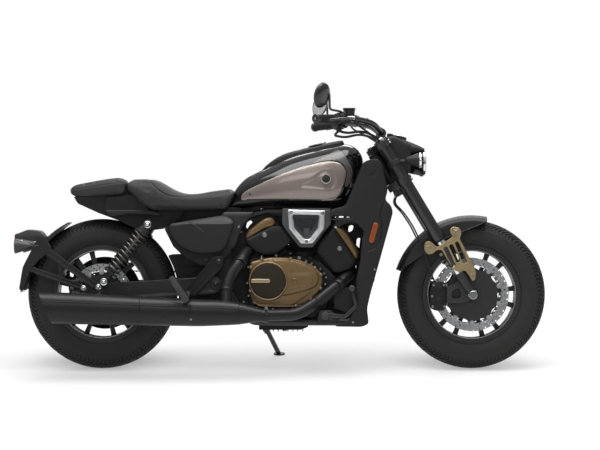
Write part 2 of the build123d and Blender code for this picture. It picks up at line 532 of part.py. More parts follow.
barrels, heads, head_covers, head_sides = Part(), Part(), Part(), Part()
for lean, shift, head_start, cover_start, cover_end in BANKS:
    barrels += bank_box(lean, shift, BARREL_START, head_start, BARREL_HALF, BARREL_HALF + 6, 10)
    step = (head_start - BARREL_START - 26) / FIN_COUNT
    for fin in range(FIN_COUNT):
        low = BARREL_START + 30 + fin * step
        barrels += bank_box(lean, shift, low, low + FIN_THICK, BARREL_HALF + FIN_REACH,
                            BARREL_HALF + 6 + FIN_REACH, 1)
    heads += bank_box(lean, shift, head_start, cover_start, HEAD_HALF_ALONG, HEAD_HALF - SIDE_COVER_THICK, 6)
    head_covers += bank_box(lean, shift - 5, cover_start, cover_end, HEAD_HALF_ALONG - 4, HEAD_HALF, 14)
    side = bank_box(lean, shift, head_start - HEAD_SIDE_DROP, cover_start, HEAD_HALF_ALONG + 4,
                    HEAD_HALF + 12, 24)
    side -= slab([(400, 100), (1300, 100), (1300, 800), (400, 800)], -HEAD_HALF + SIDE_COVER_THICK,
                 HEAD_HALF - SIDE_COVER_THICK)
    head_sides += side
barrels -= crankcase
heads -= barrels

clutch_outline = [(641, 455), (726, 481), (854, 466), (931, 410), (950, 362), (900, 313), (822, 270),
                  (676, 270), (641, 318)]
CLUTCH_CENTRE = (718.0, 381.0)
CLUTCH_RADIUS = 80.0
clutch_cover = slab(clutch_outline, COVER_OUTER + 12, CASE_RIGHT, 18)
clutch_cover += slab([(663, 446), (728, 466), (846, 452), (914, 402), (930, 364), (890, 324), (816, 284),
                      (690, 284), (662, 330)], COVER_OUTER, CASE_RIGHT, 14)
clutch_disc = cross_rod(*CLUTCH_CENTRE, CLUTCH_RADIUS, COVER_OUTER - 10, COVER_OUTER)
clutch_cover += clutch_disc

LEFT_COVER_OUTER = 138.0
generator = cross_rod(*CRANK, 94, CASE_LEFT, LEFT_COVER_OUTER - 16) + cross_rod(*CRANK, 74, CASE_LEFT,
                                                                               LEFT_COVER_OUTER)
sump = slab([(690, 226), (677, 202), (677, 168), (858, 168), (888, 180), (900, 226)], -52, 52)
cylinders = barrels + heads + head_sides - crankcase - clutch_cover
nodes["cylinders"] = cylinders
head_covers -= head_sides

# drive belt on the left, with its front pulley and cover
belt_inner_rear = PULLEY_RADIUS + 0.3


def belt_outline(grow):
    """Closed line round both pulleys, grown outwards."""
    rear, front = belt_inner_rear + grow, BELT_DRIVE_RADIUS + grow
    return make_hull((Pos(REAR_AXLE[0], REAR_AXLE[1]) * Circle(rear)).edges()
                     + (Pos(BELT_DRIVE[0], BELT_DRIVE[1]) * Circle(front)).edges())


belt_face = Plane.XZ * (belt_outline(BELT_THICK) - belt_outline(0))
belt = Pos(0, BELT_Y[1] - 1, 0) * extrude(belt_face, amount=BELT_Y[1] - BELT_Y[0] - 2)
front_pulley = cross_rod(*BELT_DRIVE, BELT_DRIVE_RADIUS, BELT_Y[0], BELT_Y[1])
front_pulley += cross_rod(*BELT_DRIVE, 16, CASE_LEFT, BELT_Y[0])
nodes["drive_belt"] = belt
nodes["crankcase"] = crankcase + sump + front_pulley
pulley_cover = slab([(575, 330), (575, 400), (610, 436), (700, 440), (740, 400), (740, 330), (700, 300),
                     (612, 300)], BELT_Y[1] + 6, BELT_Y[1] + 14, 16)
for x, z in [(722, 420), (722, 322)]:
    pulley_cover += cross_rod(x, z, 9, CASE_LEFT, BELT_Y[1] + 6)
nodes["engine_covers"] = clutch_cover + head_covers + generator + (pulley_cover - generator)

# intake housing between the cylinders, with a shield on each side
shield_outline = [(777, 692), (986, 692), (986, 618), (908, 520), (852, 520), (777, 618)]
ring_outer = [(801, 686), (963, 682), (953, 599), (906, 538), (858, 538), (806, 599)]
ring_inner = [(840, 652), (926, 652), (912, 599), (893, 578), (871, 578), (848, 601)]
INTAKE_HALF = 128.0
intake = slab(shield_outline, -INTAKE_HALF, INTAKE_HALF, 6)
intake = intake - cylinders - head_covers - nodes["frame_spine"] - nodes["crankcase"]
shield = slab(ring_outer, -INTAKE_HALF - 16, -INTAKE_HALF, 5) - slab(ring_inner, -INTAKE_HALF - 17,
                                                                     -INTAKE_HALF + 1, 4)
nodes["intake_housing"] = intake + both(shield)

# ---------------------------------------------------------------- exhaust
MUFFLER_Y = -228.0
HEADER_RADIUS = 24.0
# columns: x, z_low, z_high, half width, corner
MUFFLER = [(-250, 204, 330, 58, 50), (176, 195, 313, 57, 48), (430, 191, 305, 55, 46),
           (600, 198, 290, 44, 36), (693, 211, 263, 27, 24)]
muffler = hull_loft(MUFFLER, MUFFLER_Y)
muffler -= slab([(-260, 340), (-247, 331), (-196, 203), (-196, 190), (-300, 190), (-300, 340)],
                MUFFLER_Y - 80, MUFFLER_Y + 80)
muffler -= rod((-300, MUFFLER_Y, 262), (-90, MUFFLER_Y, 262), 38)
nodes["muffler"] = muffler
front_header = tube([(1062, -20, 458), (1076, -60, 418), (1020, -130, 366), (918, -162, 284),
                     (840, -176, 238), (693, MUFFLER_Y, 237)], HEADER_RADIUS, [42, 70, 150, 150])
rear_header = tube([(648, -64, 517), (622, -100, 506), (600, -168, 462), (560, -186, 408),
                    (541, -208, 350), (539, MUFFLER_Y, 270)], HEADER_RADIUS, [50, 60, 120, 90])
headers = (front_header + rear_header) - muffler
nodes["header_pipes"] = headers - cylinders - nodes["crankcase"] - nodes["engine_covers"] - cradle

# ---------------------------------------------------------------- tank, seat, tail
# columns: x, z_low, z_high, half width, corner
TANK = [(548, 689, 712, 60, 10), (577, 689, 776, 78, 38), (616, 690, 818, 98, 52), (711, 699, 868, 124, 66),
        (800, 701, 915, 140, 80), (900, 701, 944, 146, 92), (1000, 698, 964, 140, 92),
        (1056, 712, 970, 120, 84), (1100, 780, 948, 88, 60), (1128, 852, 906, 48, 22)]
tank = hull_loft(TANK)
tunnel = slab([(500, 660), (500, 735), (640, 752), (1000, 812), (1160, 882), (1160, 660)],
              -SPINE_TUNNEL, SPINE_TUNNEL)
tank = tank - tunnel
panel_outline = [(598, 729), (610, 757), (640, 774), (692, 799), (769, 834), (854, 864), (939, 885),
                 (982, 891), (1016, 887), (1042, 868), (1051, 846), (1042, 804), (1025, 761), (1008, 735),
                 (986, 727)]
PANEL_THICK = 4.0
wide_tank = hull_loft([(x, low, high, half + PANEL_THICK, corner) for x, low, high, half, corner in TANK])
panel = (wide_tank & slab(panel_outline, -200, -50)) - tank
nodes["tank_panels"] = both(panel)
CONSOLE_HALF = 40.0
console_outline = [(690, 850), (711, 877), (733, 900), (767, 923), (854, 949), (1020, 986), (1040, 984),
                   (1046, 950), (1000, 900), (767, 860)]
console = slab(console_outline, -CONSOLE_HALF, CONSOLE_HALF) - tank
nodes["fuel_tank"] = tank + console

CAP_RADIUS = 36.0
CAP_THICK = 9.0
console_turn = degrees(atan2(986 - 949, 1020 - 854))
cap_place = Pos(925, 0, 949 + (925 - 854) * tan(radians(console_turn))) * Rot(0, -console_turn, 0)
cap = Pos(0, 0, SEAT_GAP) * extrude(Circle(CAP_RADIUS), amount=CAP_THICK)
cap += Pos(CAP_RADIUS - 2, 0, SEAT_GAP + CAP_THICK / 2) * Box(16, 22, CAP_THICK)
nodes["fuel_cap"] = cap_place * cap

# columns: x, z_low, z_high, half width, corner
SEAT = [(114, 766, 809, 96, 16), (150, 740, 814, 122, 26), (204, 685, 814, 142, 40), (247, 685, 806, 150, 44),
        (300, 685, 774, 152, 36), (377, 685, 750, 145, 30), (470, 685, 761, 126, 34),
        (541, 686, 775, 104, 38)]
seat = hull_loft(SEAT)
nose_cut = slab([(542 - SEAT_GAP * 2, 660), (541.5, 689), (577, 790), (700, 790), (700, 660)], -200, 200)
nodes["seat"] = seat - nose_cut
# columns: x, z_low, z_high, half width, corner
COWL = [(-141, 760, 772, 62, 5), (-118, 744, 788, 84, 16), (-60, 746, 801, 104, 22), (10, 750, 815, 116, 26),
        (80, 754, 823, 120, 28), (111, 757, 812, 98, 20)]
nodes["seat_cowl"] = hull_loft(COWL)
tail_outline = [(-118, 741), (-100, 712), (-13, 672), (74, 640), (134, 612), (204, 596), (262, 604),
                (330, 640), (360, 684), (204, 684), (150, 738), (112, 756), (60, 752), (-60, 744)]
TAIL_HALF = 92.0
ARCH_RADIUS = REAR_RADIUS + 22
tail = slab(tail_outline, -TAIL_HALF, TAIL_HALF)
tail -= cross_rod(*REAR_AXLE, ARCH_RADIUS, -84, 84)
side_panel = slab([(10, 684), (27, 738), (134, 750), (208, 684), (262, 668), (252, 660), (125, 668),
                   (39, 654)], -TAIL_HALF - 14, -TAIL_HALF, 4)
tail += both(side_panel)
tail = tail - nodes["frame_spine"] - nodes["seat"] - nodes["seat_cowl"]
nodes["tail_body"] = tail

# ---------------------------------------------------------------- side covers and battery box
cover_outline = [(292, 590), (302, 620), (330, 630), (406, 637), (530, 655), (562, 640), (567, 590),
                 (552, 530), (521, 500), (418, 494), (330, 524), (298, 562)]
front_outline = [(521, 663), (534, 676), (664, 676), (622, 632), (600, 586), (572, 580), (540, 560),
                 (500, 640)]
side_cover = slab(cover_outline, -156, -PLATE_HALF[1], 12) + slab(front_outline, -128, -PLATE_HALF[1])
battery = slab([(352, 440), (352, 640), (470, 640), (440, 440)], -PLATE_HALF[1], PLATE_HALF[1])
battery += slab([(425, 436), (352, 500), (470, 500)], -120, 120)
nodes["side_covers"] = (both(side_cover) + battery - rear_header - nodes["frame_spine"] - nodes["seat"]
                        - nodes["tail_body"] - tank - cylinders - nodes["engine_covers"])

# ---------------------------------------------------------------- radiator and shrouds
HOSE_THICK = 26.0           # coolant hoses
SHROUD_INNER, SHROUD_OUTER = 157.0, 166.0
radiator = slab([(1145, 380), (1171, 376), (1217, 644), (1191, 648)], -SHROUD_INNER, SHROUD_INNER)
top_hose = tube([(1190, -118, 612), (1140, -118, 640), (1040, -112, 640), (1000, -84, 606)],
                HOSE_THICK / 2, [34, 40])
lower_hose = tube([(1166, -70, 420), (1120, -70, 392), (1108, -84, 330), (1010, -84, 300)],
                  HOSE_THICK / 2, [26, 40])
hoses = top_hose + lower_hose - nodes["crankcase"] - nodes["engine_covers"] - cylinders
nodes["radiator"] = radiator + hoses - cradle
shroud_outline = [(1131, 892), (1160, 902), (1186, 902), (1202, 884), (1229, 769), (1217, 727),
                  (1242, 705), (1251, 675), (1195, 471),
                  (1153, 321), (1140, 262), (1148, 198), (1118, 185), (999, 187), (1067, 215), (1093, 300),
                  (1093, 385), (1110, 462), (1118, 556), (1127, 599), (1089, 633), (982, 645), (982, 684),
                  (1046, 701), (1076, 769), (1118, 876)]
shroud = slab(shroud_outline, -SHROUD_OUTER, -SHROUD_INNER)
shroud += rod((1168, -58, 752), (1168, -SHROUD_INNER, 752), 7)
nodes["radiator_shrouds"] = both(shroud) - cradle - nodes["fuel_tank"]

# ---------------------------------------------------------------- swingarm, shocks, rear brake
ARM_INNER, ARM_OUTER = 118.0, 146.0
arm_outline = (from_rear_axle([(20, 288), (-40, 284), (-92, 330), (-86, 366), (-20, 372), (168, 380)])
               + [(PIVOT[0] + x, PIVOT[1] + z)
                  for x, z in [(-194, 21), (6, 35), (36, 0), (0, -35), (-294, -45)]])
arm = slab(arm_outline, -ARM_OUTER, -ARM_INNER, 10)
boss = cross_rod(*PIVOT, PIVOT_TUBE_RADIUS + 2, -ARM_OUTER, -PLATE_HALF[1] - SEAT_GAP)
shock_foot = cross_rod(*SHOCK_BOTTOM, 11, -SHOCK_Y - 22, -ARM_INNER)
swing_side = arm + boss + shock_foot
rear_axle = cross_rod(*REAR_AXLE, AXLE_RADIUS, -ARM_OUTER - 14, ARM_OUTER + 14)
swing_cross = cross_rod(408, 362, 27, -ARM_INNER, ARM_INNER)
nodes["swingarm"] = both(swing_side) + swing_cross - rear_axle - nodes["side_covers"]
nodes["rear_axle"] = rear_axle - cross_rod(*REAR_AXLE, SPINDLE_BORE_RADIUS, -ARM_OUTER - 15, ARM_OUTER + 15)

SPRING_RADIUS = 30.0
SPRING_WIRE = 4.5
SPRING_TURNS = 9
shock_way = Vector(SHOCK_TOP[0] - SHOCK_BOTTOM[0], 0, SHOCK_TOP[1] - SHOCK_BOTTOM[1])
shock_length = shock_way.length
shock_plane = Plane(origin=(SHOCK_BOTTOM[0], -SHOCK_Y, SHOCK_BOTTOM[1]), z_dir=shock_way.normalized())
body = Solid.make_cylinder(15, shock_length - 24, Plane.XY.offset(12))
body = Part() + body + Solid.make_cylinder(34, 6, Plane.XY.offset(46))
body += Solid.make_cylinder(34, 6, Plane.XY.offset(shock_length - 46))
body += Solid.make_cylinder(24, 26, Plane.XY.offset(22)) + Solid.make_cylinder(
    24, 24, Plane.XY.offset(shock_length - 44))
eyes = cross_rod(*SHOCK_TOP, 20, -SHOCK_Y - 14, -SHOCK_Y + 14) + cross_rod(*SHOCK_BOTTOM, 20, -SHOCK_Y - 14,
                                                                        -SHOCK_Y + 14)
shock = shock_plane * body + eyes - shock_pin - shock_foot
spring_low, spring_high = 52.2, shock_length - 46.2
turn_rise = (spring_high - spring_low - 2 * SPRING_WIRE) / SPRING_TURNS
coils = Part()
for turn in range(SPRING_TURNS):
    z = spring_low + SPRING_WIRE + (turn + 0.5) * turn_rise
    coils += Pos(0, 0, z) * Torus(SPRING_RADIUS, SPRING_WIRE)
coils += Solid.make_cylinder(SPRING_RADIUS - 3, spring_high - spring_low, Plane.XY.offset(spring_low))
nodes["shock_absorbers"] = both(shock + shock_plane * coils - arm)

caliper_y = -(HUB_HALF + DISC_THICK / 2)
rear_caliper = slab(from_rear_axle([(-138, 338), (-138, 382), (-92, 384), (-84, 338)]), -100, -36, 5)
rear_caliper -= cross_rod(*REAR_AXLE, REAR_DISC_RADIUS + CLEAR, caliper_y - slot_half, caliper_y + slot_half)
rear_caliper += slab(from_rear_axle([(-110, 344), (-110, 366), (-70, 366), (-70, 344)]), -ARM_INNER, -100)
rim_side = REAR_RIM_HALF + FLANGE_THICK + CLEAR
rear_caliper -= cross_rod(*REAR_AXLE, 300, -rim_side, 0) - cross_rod(*REAR_AXLE, RIM_INNER_RADIUS - CLEAR,
                                                                    -rim_side, 0)
nodes["rear_caliper"] = rear_caliper

# ---------------------------------------------------------------- rear plate holder, lamps, blank plate
BLADE_INNER, BLADE_OUTER = REAR_RADIUS + 9, REAR_RADIUS + 17
BLADE_HALF = 82.0
PLATE_WIDTH = 190.0         # blank number plate
blade = spun([(-BLADE_HALF, BLADE_INNER - 5), (-BLADE_HALF, BLADE_OUTER), (BLADE_HALF, BLADE_OUTER),
              (BLADE_HALF, BLADE_INNER - 5)], REAR_AXLE, 62, 115)
HOLDER_Y = (ARM_OUTER, ARM_OUTER + 10)
holder_outlines = [
    bar((-225, 500), (-22, 360), 22),
    bar((-320, 440), (-72, 352), 22),
    bar((-172, 462), (-162, 382), 14),
    [(-196, 520), (-246, 580), (-268, 560), (-322, 446), (-300, 430), (-232, 492)],
]
holder = Part()
for outline in holder_outlines:
    holder += both(slab(from_rear_axle(outline), -HOLDER_Y[1], -HOLDER_Y[0]))
holder += slab(from_rear_axle([(-240, 574), (-268, 562), (-318, 440), (-298, 436), (-262, 500)]),
               -HOLDER_Y[0], HOLDER_Y[0])
holder += slab(from_rear_axle(bar((-321, 456), (-347, 330), 3)), -PLATE_WIDTH / 2, PLATE_WIDTH / 2)
holder += slab(from_rear_axle([(-300, 430), (-326, 432), (-342, 360), (-330, 356)]), -30, 30)
wheel_room = cross_rod(*REAR_AXLE, BLADE_INNER, -BLADE_HALF - 2, BLADE_HALF + 2)
nodes["plate_holder"] = holder + blade - wheel_room

TAIL_LAMP_HALF = 62.0
tail_lamp = slab(from_rear_axle([(-246, 572), (-268, 596), (-318, 600), (-374, 578), (-374, 560),
                                 (-290, 548), (-262, 556)]), -TAIL_LAMP_HALF, TAIL_LAMP_HALF, 3)
REAR_INDICATOR = (REAR_AXLE[0] - 338.0, -152.0, 530.0)
lamp = indicator(*REAR_INDICATOR, -1)
lamp += rod((REAR_INDICATOR[0] + 8, REAR_INDICATOR[1] + 6, REAR_INDICATOR[2]),
            (REAR_INDICATOR[0] + 76, -HOLDER_Y[0] - 5, REAR_INDICATOR[2] - 2), 8)
nodes["rear_lamps"] = tail_lamp + both(lamp) - nodes["plate_holder"]

# ---------------------------------------------------------------- pegs and pedals
PEG = (960.0, 238.0)
PEG_RADIUS = 13.0
PEG_INNER, PEG_OUTER = 118.0, 306.0
PEDAL_Y = (176.0, 188.0)
bracket = slab([(925, 190), (1015, 190), (1015, 232), (985, 256), (935, 256)], -PEG_INNER - 8, -92, 8)
bracket = bracket - cradle - nodes["crankcase"]
bracket += cross_rod(*PEG, PEG_RADIUS, -PEG_OUTER, -PEG_INNER)
pedal = slab(bar(PEG, (1046, 230), 16), -PEDAL_Y[1], -PEDAL_Y[0])
pedal += slab(bar((1040, 226), (1098, 280), 15), -PEDAL_Y[1], -PEDAL_Y[0])
pedal += slab(bar((1094, 272), (1074, 352), 15), -PEDAL_Y[1], -PEDAL_Y[0])
pedal += cross_rod(1074, 352, 11, -PEDAL_Y[1] - 62, -PEDAL_Y[0])
HANGER_Y = (ARM_OUTER + 10, ARM_OUTER + 19)
hanger = slab([(488, 486), (532, 486), (524, 440), (404, 316), (366, 316), (366, 346)],
              -HANGER_Y[1], -HANGER_Y[0], 6)
hanger += cross_rod(508, 466, 10, -HANGER_Y[0], -PLATE_HALF[1])
hanger += cross_rod(383, 330, 9, -272, -HANGER_Y[0])
hanger += slab(bar((385, 338), (374, 307), 18), -282, -264)
hanger += slab(bar((378, 298), (309, 402), 26), -304, -282, 6)
nodes["foot_pegs"] = both(bracket + pedal + hanger)

# ---------------------------------------------------------------- side stand
GROUND_DROP = 1.06          # of the leaned tyres' lowest point, under the upright one
ground_normal = Vector(0, -sin(radians(LEAN)), cos(radians(LEAN)))
pivot_point, way = Vector(*STAND_PIVOT), Vector(*STAND_WAY).normalized()
leg_length = -(pivot_point.dot(ground_normal) + GROUND_DROP) / way.dot(ground_normal)
foot_centre = pivot_point + way * leg_length
CHEEK = (TAB_THICK / 2 + 0.3, TAB_THICK / 2 + 7.3)
LEG_RADIUS = 10.5
side_stand = rod(pivot_point + way * 30, foot_centre - way * 9.5, LEG_RADIUS)
side_stand += Part() + Solid.make_cylinder(25, 6, Plane(origin=foot_centre, z_dir=ground_normal))
leg_plane = Plane(origin=STAND_PIVOT, x_dir=way, z_dir=STAND_AXIS)
cheek = leg_plane * (Circle(TAB_RADIUS) + Pos(20, 0) * Rectangle(40, 2 * TAB_RADIUS - 8))
fork = extrude(cheek, amount=CHEEK[1], both=True) - extrude(leg_plane * (Circle(TAB_RADIUS + CLEAR + 2)),
                                                          amount=CHEEK[0], both=True)
side_stand += fork
side_stand += extrude(leg_plane * Circle(STAND_PIN_RADIUS), amount=CHEEK[1], both=True)
nodes["side_stand"] = side_stand

# ---------------------------------------------------------------- lean onto the stand, set the origin
leaned = Compound(children=[Rot(-LEAN, 0, 0) * shape for shape in nodes.values()])
box = leaned.bounding_box()
origin_shift = (-(box.min.X + box.max.X) / 2, -(box.min.Y + box.max.Y) / 2, -box.min.Z)
placement = Pos(*origin_shift) * Rot(-LEAN, 0, 0)

# ---------------------------------------------------------------- write
if __name__ == "__main__":
    os.makedirs("parts", exist_ok=True)
    for name, shape in nodes.items():
        export_step(placement * shape, f"parts/{name}.step")
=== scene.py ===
"""Cruiser motorcycle leaning on its side stand: the looks of every piece, around the solid model."""
import json
from math import cos, pi, radians, sin

import bmesh
import bpy
import numpy as np
from mathutils import Matrix, Vector
from mathutils.bvhtree import BVHTree
from mathutils.geometry import delaunay_2d_cdt


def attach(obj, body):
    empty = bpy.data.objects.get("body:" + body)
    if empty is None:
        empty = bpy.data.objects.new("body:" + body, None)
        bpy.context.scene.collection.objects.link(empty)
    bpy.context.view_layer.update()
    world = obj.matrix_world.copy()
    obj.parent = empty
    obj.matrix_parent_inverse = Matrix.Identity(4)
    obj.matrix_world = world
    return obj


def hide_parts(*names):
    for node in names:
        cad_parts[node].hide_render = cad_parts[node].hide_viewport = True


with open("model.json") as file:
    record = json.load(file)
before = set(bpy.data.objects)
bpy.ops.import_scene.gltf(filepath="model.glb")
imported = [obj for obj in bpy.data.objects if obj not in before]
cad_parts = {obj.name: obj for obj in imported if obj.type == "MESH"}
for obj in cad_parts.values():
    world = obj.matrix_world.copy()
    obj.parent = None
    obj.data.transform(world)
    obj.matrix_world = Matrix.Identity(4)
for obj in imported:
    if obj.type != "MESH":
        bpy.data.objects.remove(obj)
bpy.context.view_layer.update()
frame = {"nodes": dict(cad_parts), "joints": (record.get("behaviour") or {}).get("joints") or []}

# ---------------------------------------------------------------- the machine's own upright frame
# It stands leaned over on its side stand, so its pieces are drawn upright in millimetres, X forward
# from the rear axle, Y to the rider's left and Z up from the ground, and are then leaned with it.
joints = {joint["name"]: joint for joint in frame["joints"]}
REAR_AXLE_Z = 323.2
leftward = np.array(joints["rear_wheel_spin"]["axis"])
forward = np.array([1.0, 0.0, 0.0])
upward = np.cross(forward, leftward)
lean_axes = np.stack([forward, leftward, upward])
ground_origin = np.array(joints["rear_wheel_spin"]["pos_m"]) - upward * REAR_AXLE_Z / 1000


def placed(points):
    """Upright points in millimetres as leaned points in metres: x forward, y leftward, z up."""
    return np.asarray(points, float) @ lean_axes / 1000 + ground_origin

# ---------------------------------------------------------------- camera
# A long lens ten metres off, square to the machine's centre plane and level with its middle.
CAMERA_AIM = (854.0, 620.0)
CAMERA_DISTANCE = 10000.0
VIEW_WIDTH = 2601.0
camera_data = bpy.data.cameras.new("camera")
camera_data.sensor_width = 36.0
camera_data.lens = camera_data.sensor_width * CAMERA_DISTANCE / VIEW_WIDTH
camera_data.clip_end = 200.0
camera = bpy.data.objects.new("camera", camera_data)
bpy.context.scene.collection.objects.link(camera)
sight = Matrix(np.stack([forward, upward, -leftward], 1).tolist()).to_4x4()
sight.translation = Vector(placed((CAMERA_AIM[0], -CAMERA_DISTANCE, CAMERA_AIM[1])))
camera.matrix_world = sight
bpy.context.scene.camera = camera

# ---------------------------------------------------------------- studio
# A pale sweep of floor under a broad overhead soft box, with a soft fill from each side.
class Amount:
    """A number that varies over a surface. Sums, differences and products of amounts add Math nodes."""

    def __init__(self, finish, socket):
        self.finish, self.socket = finish, socket

    def __add__(self, other):
        return self.finish.math("ADD", self, other)

    def __sub__(self, other):
        return self.finish.math("SUBTRACT", self, other)

    def __rsub__(self, other):
        return self.finish.math("SUBTRACT", other, self)

    def __mul__(self, other):
        return self.finish.math("MULTIPLY", self, other)

    def __gt__(self, other):
        return self.finish.math("GREATER_THAN", self, other)

    def __lt__(self, other):
        return self.finish.math("LESS_THAN", self, other)

    __radd__ = __add__
    __rmul__ = __mul__


def tone(red, green, blue):
    """A colour written as it looks, 0 to 255, turned to linear light."""
    part = np.array([red, green, blue]) / 255
    linear = np.where(part <= 0.04045, part / 12.92, ((part + 0.055) / 1.055) ** 2.4)
    return (*linear.tolist(), 1.0)


class Finish:
    """A material built from nodes. Its shader's fixed sockets are set by name."""

    def __init__(self, name, shader="ShaderNodeBsdfPrincipled", **sockets):
        self.material = bpy.data.materials.new(name)
        self.material.use_nodes = True
        self.tree = self.material.node_tree
        self.tree.nodes.clear()
        self.output = self.tree.nodes.new("ShaderNodeOutputMaterial")
        self.shader = self.tree.nodes.new(shader)
        self.tree.links.new(self.shader.outputs[0], self.output.inputs[0])
        for socket, value in sockets.items():
            self.put(self.shader.inputs[socket.replace("_", " ")], value)

    def put(self, socket, value):
        """Links an amount to a socket, or sets the socket to a plain value."""
        if isinstance(value, Amount):
            self.tree.links.new(value.socket, socket)
        else:
            socket.default_value = value

    def node(self, kind, settings=None, values=None, output=0):
        """Adds a node of a type, with its settings first and then the values or links of its sockets."""
        made = self.tree.nodes.new(kind)
        for key, value in (settings or {}).items():
            setattr(made, key, value)
        for key, value in (values or {}).items():
            self.put(made.inputs[key], value)
        return Amount(self, made.outputs[output])

    def math(self, operation, *values):
        """Adds a Math node."""
        return self.node("ShaderNodeMath", {"operation": operation}, dict(enumerate(values)))

    def place(self, turn=(0.0, 0.0, 0.0), stretch=(1.0, 1.0, 1.0)):
        """The object's own coordinates, turned and stretched."""
        spot = self.node("ShaderNodeTexCoord", output="Object")
        return self.node("ShaderNodeMapping", {}, {"Vector": spot, "Rotation": turn, "Scale": stretch})

    def noise(self, size, detail=3.0, stretch=(1.0, 1.0, 1.0)):
        """Cloudy noise from 0 to 1, whose patches are about size millimetres."""
        return self.node("ShaderNodeTexNoise", {}, {"Vector": self.place(stretch=stretch),
                                                    "Scale": 1000 / size, "Detail": detail})

    def ramp(self, amount, low, high):
        """0 below low and 1 above high, smooth between."""
        return self.node("ShaderNodeMapRange", {"interpolation_type": "SMOOTHSTEP"},
                         {"Value": amount, "From Min": low, "From Max": high})

    def mix(self, amount, first, second):
        """The first colour where the amount is 0 and the second where it is 1."""
        return self.node("ShaderNodeMix", {"data_type": "RGBA"}, {0: amount, 6: first, 7: second}, output=2)

    def colour(self, value):
        self.put(self.shader.inputs["Base Color"], value)

    def rough(self, value):
        self.put(self.shader.inputs["Roughness"], value)

    def bump(self, height, depth, soften=0.0):
        """Bumps of a depth in millimetres. soften rounds the shading of hard edges by that radius."""
        values = {"Height": height, "Distance": depth / 1000}
        if soften:
            values["Normal"] = self.node("ShaderNodeBevel", {"samples": 4}, {"Radius": soften / 1000})
        self.put(self.shader.inputs["Normal"], self.node("ShaderNodeBump", {}, values))


FLOOR_SIZE = 120.0
floor_mesh = bpy.data.meshes.new("floor")
corner = FLOOR_SIZE / 2
floor_mesh.from_pydata([(-corner, -corner, 0), (corner, -corner, 0), (corner, corner, 0), (-corner, corner, 0)],
                       [], [(0, 1, 2, 3)])
floor = bpy.data.objects.new("floor", floor_mesh)
bpy.context.scene.collection.objects.link(floor)
floor_finish = Finish("floor_sweep", Roughness=0.9)
floor_finish.colour(floor_finish.mix(floor_finish.noise(900, 2), (0.80, 0.80, 0.80, 1),
                                     (0.815, 0.815, 0.815, 1)))
floor_finish.put(floor_finish.shader.inputs["Specular IOR Level"], 0.1)
floor_mesh.materials.append(floor_finish.material)
# Far from the machine the floor is as white as the wall behind it, to the camera and to what mirrors it.
floor_spot = floor_finish.node("ShaderNodeTexCoord", output="Object")
distance = floor_finish.node("ShaderNodeVectorMath", {"operation": "LENGTH"}, {0: floor_spot}, output="Value")
beyond = floor_finish.ramp(distance, 1.5, 4.0)
rays = [floor_finish.node("ShaderNodeLightPath", output=kind)
        for kind in ("Is Camera Ray", "Is Glossy Ray", "Is Transmission Ray")]
white = floor_finish.node("ShaderNodeEmission", {}, {"Color": (1, 1, 1, 1), "Strength": 1.0})
# It glows a little near the machine too, except close to where the tyres stand, so the shadow stays soft.
TYRES_MIDDLE, TYRES_APART = 0.028, 0.797       # where the tyres stand, and half the way between them
floor_x, floor_y = [floor_finish.node("ShaderNodeSeparateXYZ", {}, {0: floor_spot}, output=axis) for axis
                    in "XY"]
from_middle = floor_finish.math("ABSOLUTE", floor_x - TYRES_MIDDLE, 0.0)
off_contact = floor_finish.math("ABSOLUTE", from_middle - TYRES_APART, 0.0)
away = floor_finish.math("SQRT", off_contact * off_contact * 0.5 + floor_y * floor_y, 0.0)
glow = floor_finish.ramp(away, 0.0, 0.30) * 0.52
far_floor = floor_finish.tree.nodes.new("ShaderNodeMixShader")
floor_finish.put(far_floor.inputs[0], (beyond + (1.0 - beyond) * glow) * (rays[0] + rays[1] + rays[2]))
floor_finish.tree.links.new(floor_finish.shader.outputs[0], far_floor.inputs[1])
floor_finish.tree.links.new(white.socket, far_floor.inputs[2])
floor_finish.tree.links.new(far_floor.outputs[0], floor_finish.output.inputs[0])

# columns: name, middle of the lamp, what it points at, width, height, power
LAMPS = [
    ("overhead", (0.1, -0.4, 4.2), (0.0, 0.0, 0.3), 4.6, 2.4, 205),
    ("right_fill", (-0.6, -6.0, 3.6), (0.0, 0.0, 0.5), 3.5, 1.6, 36),
    ("left_fill", (0.4, 5.5, 3.4), (0.0, 0.0, 0.5), 4.0, 2.0, 110),
]
for name, middle, aim, width, height, power in LAMPS:
    lamp_data = bpy.data.lights.new(name, "AREA")
    lamp_data.shape, lamp_data.size, lamp_data.size_y, lamp_data.energy = "RECTANGLE", width, height, power
    lamp = bpy.data.objects.new(name, lamp_data)
    lamp.location = middle
    lamp.rotation_euler = (Vector(aim) - Vector(middle)).to_track_quat("-Z", "Y").to_euler()
    bpy.context.scene.collection.objects.link(lamp)

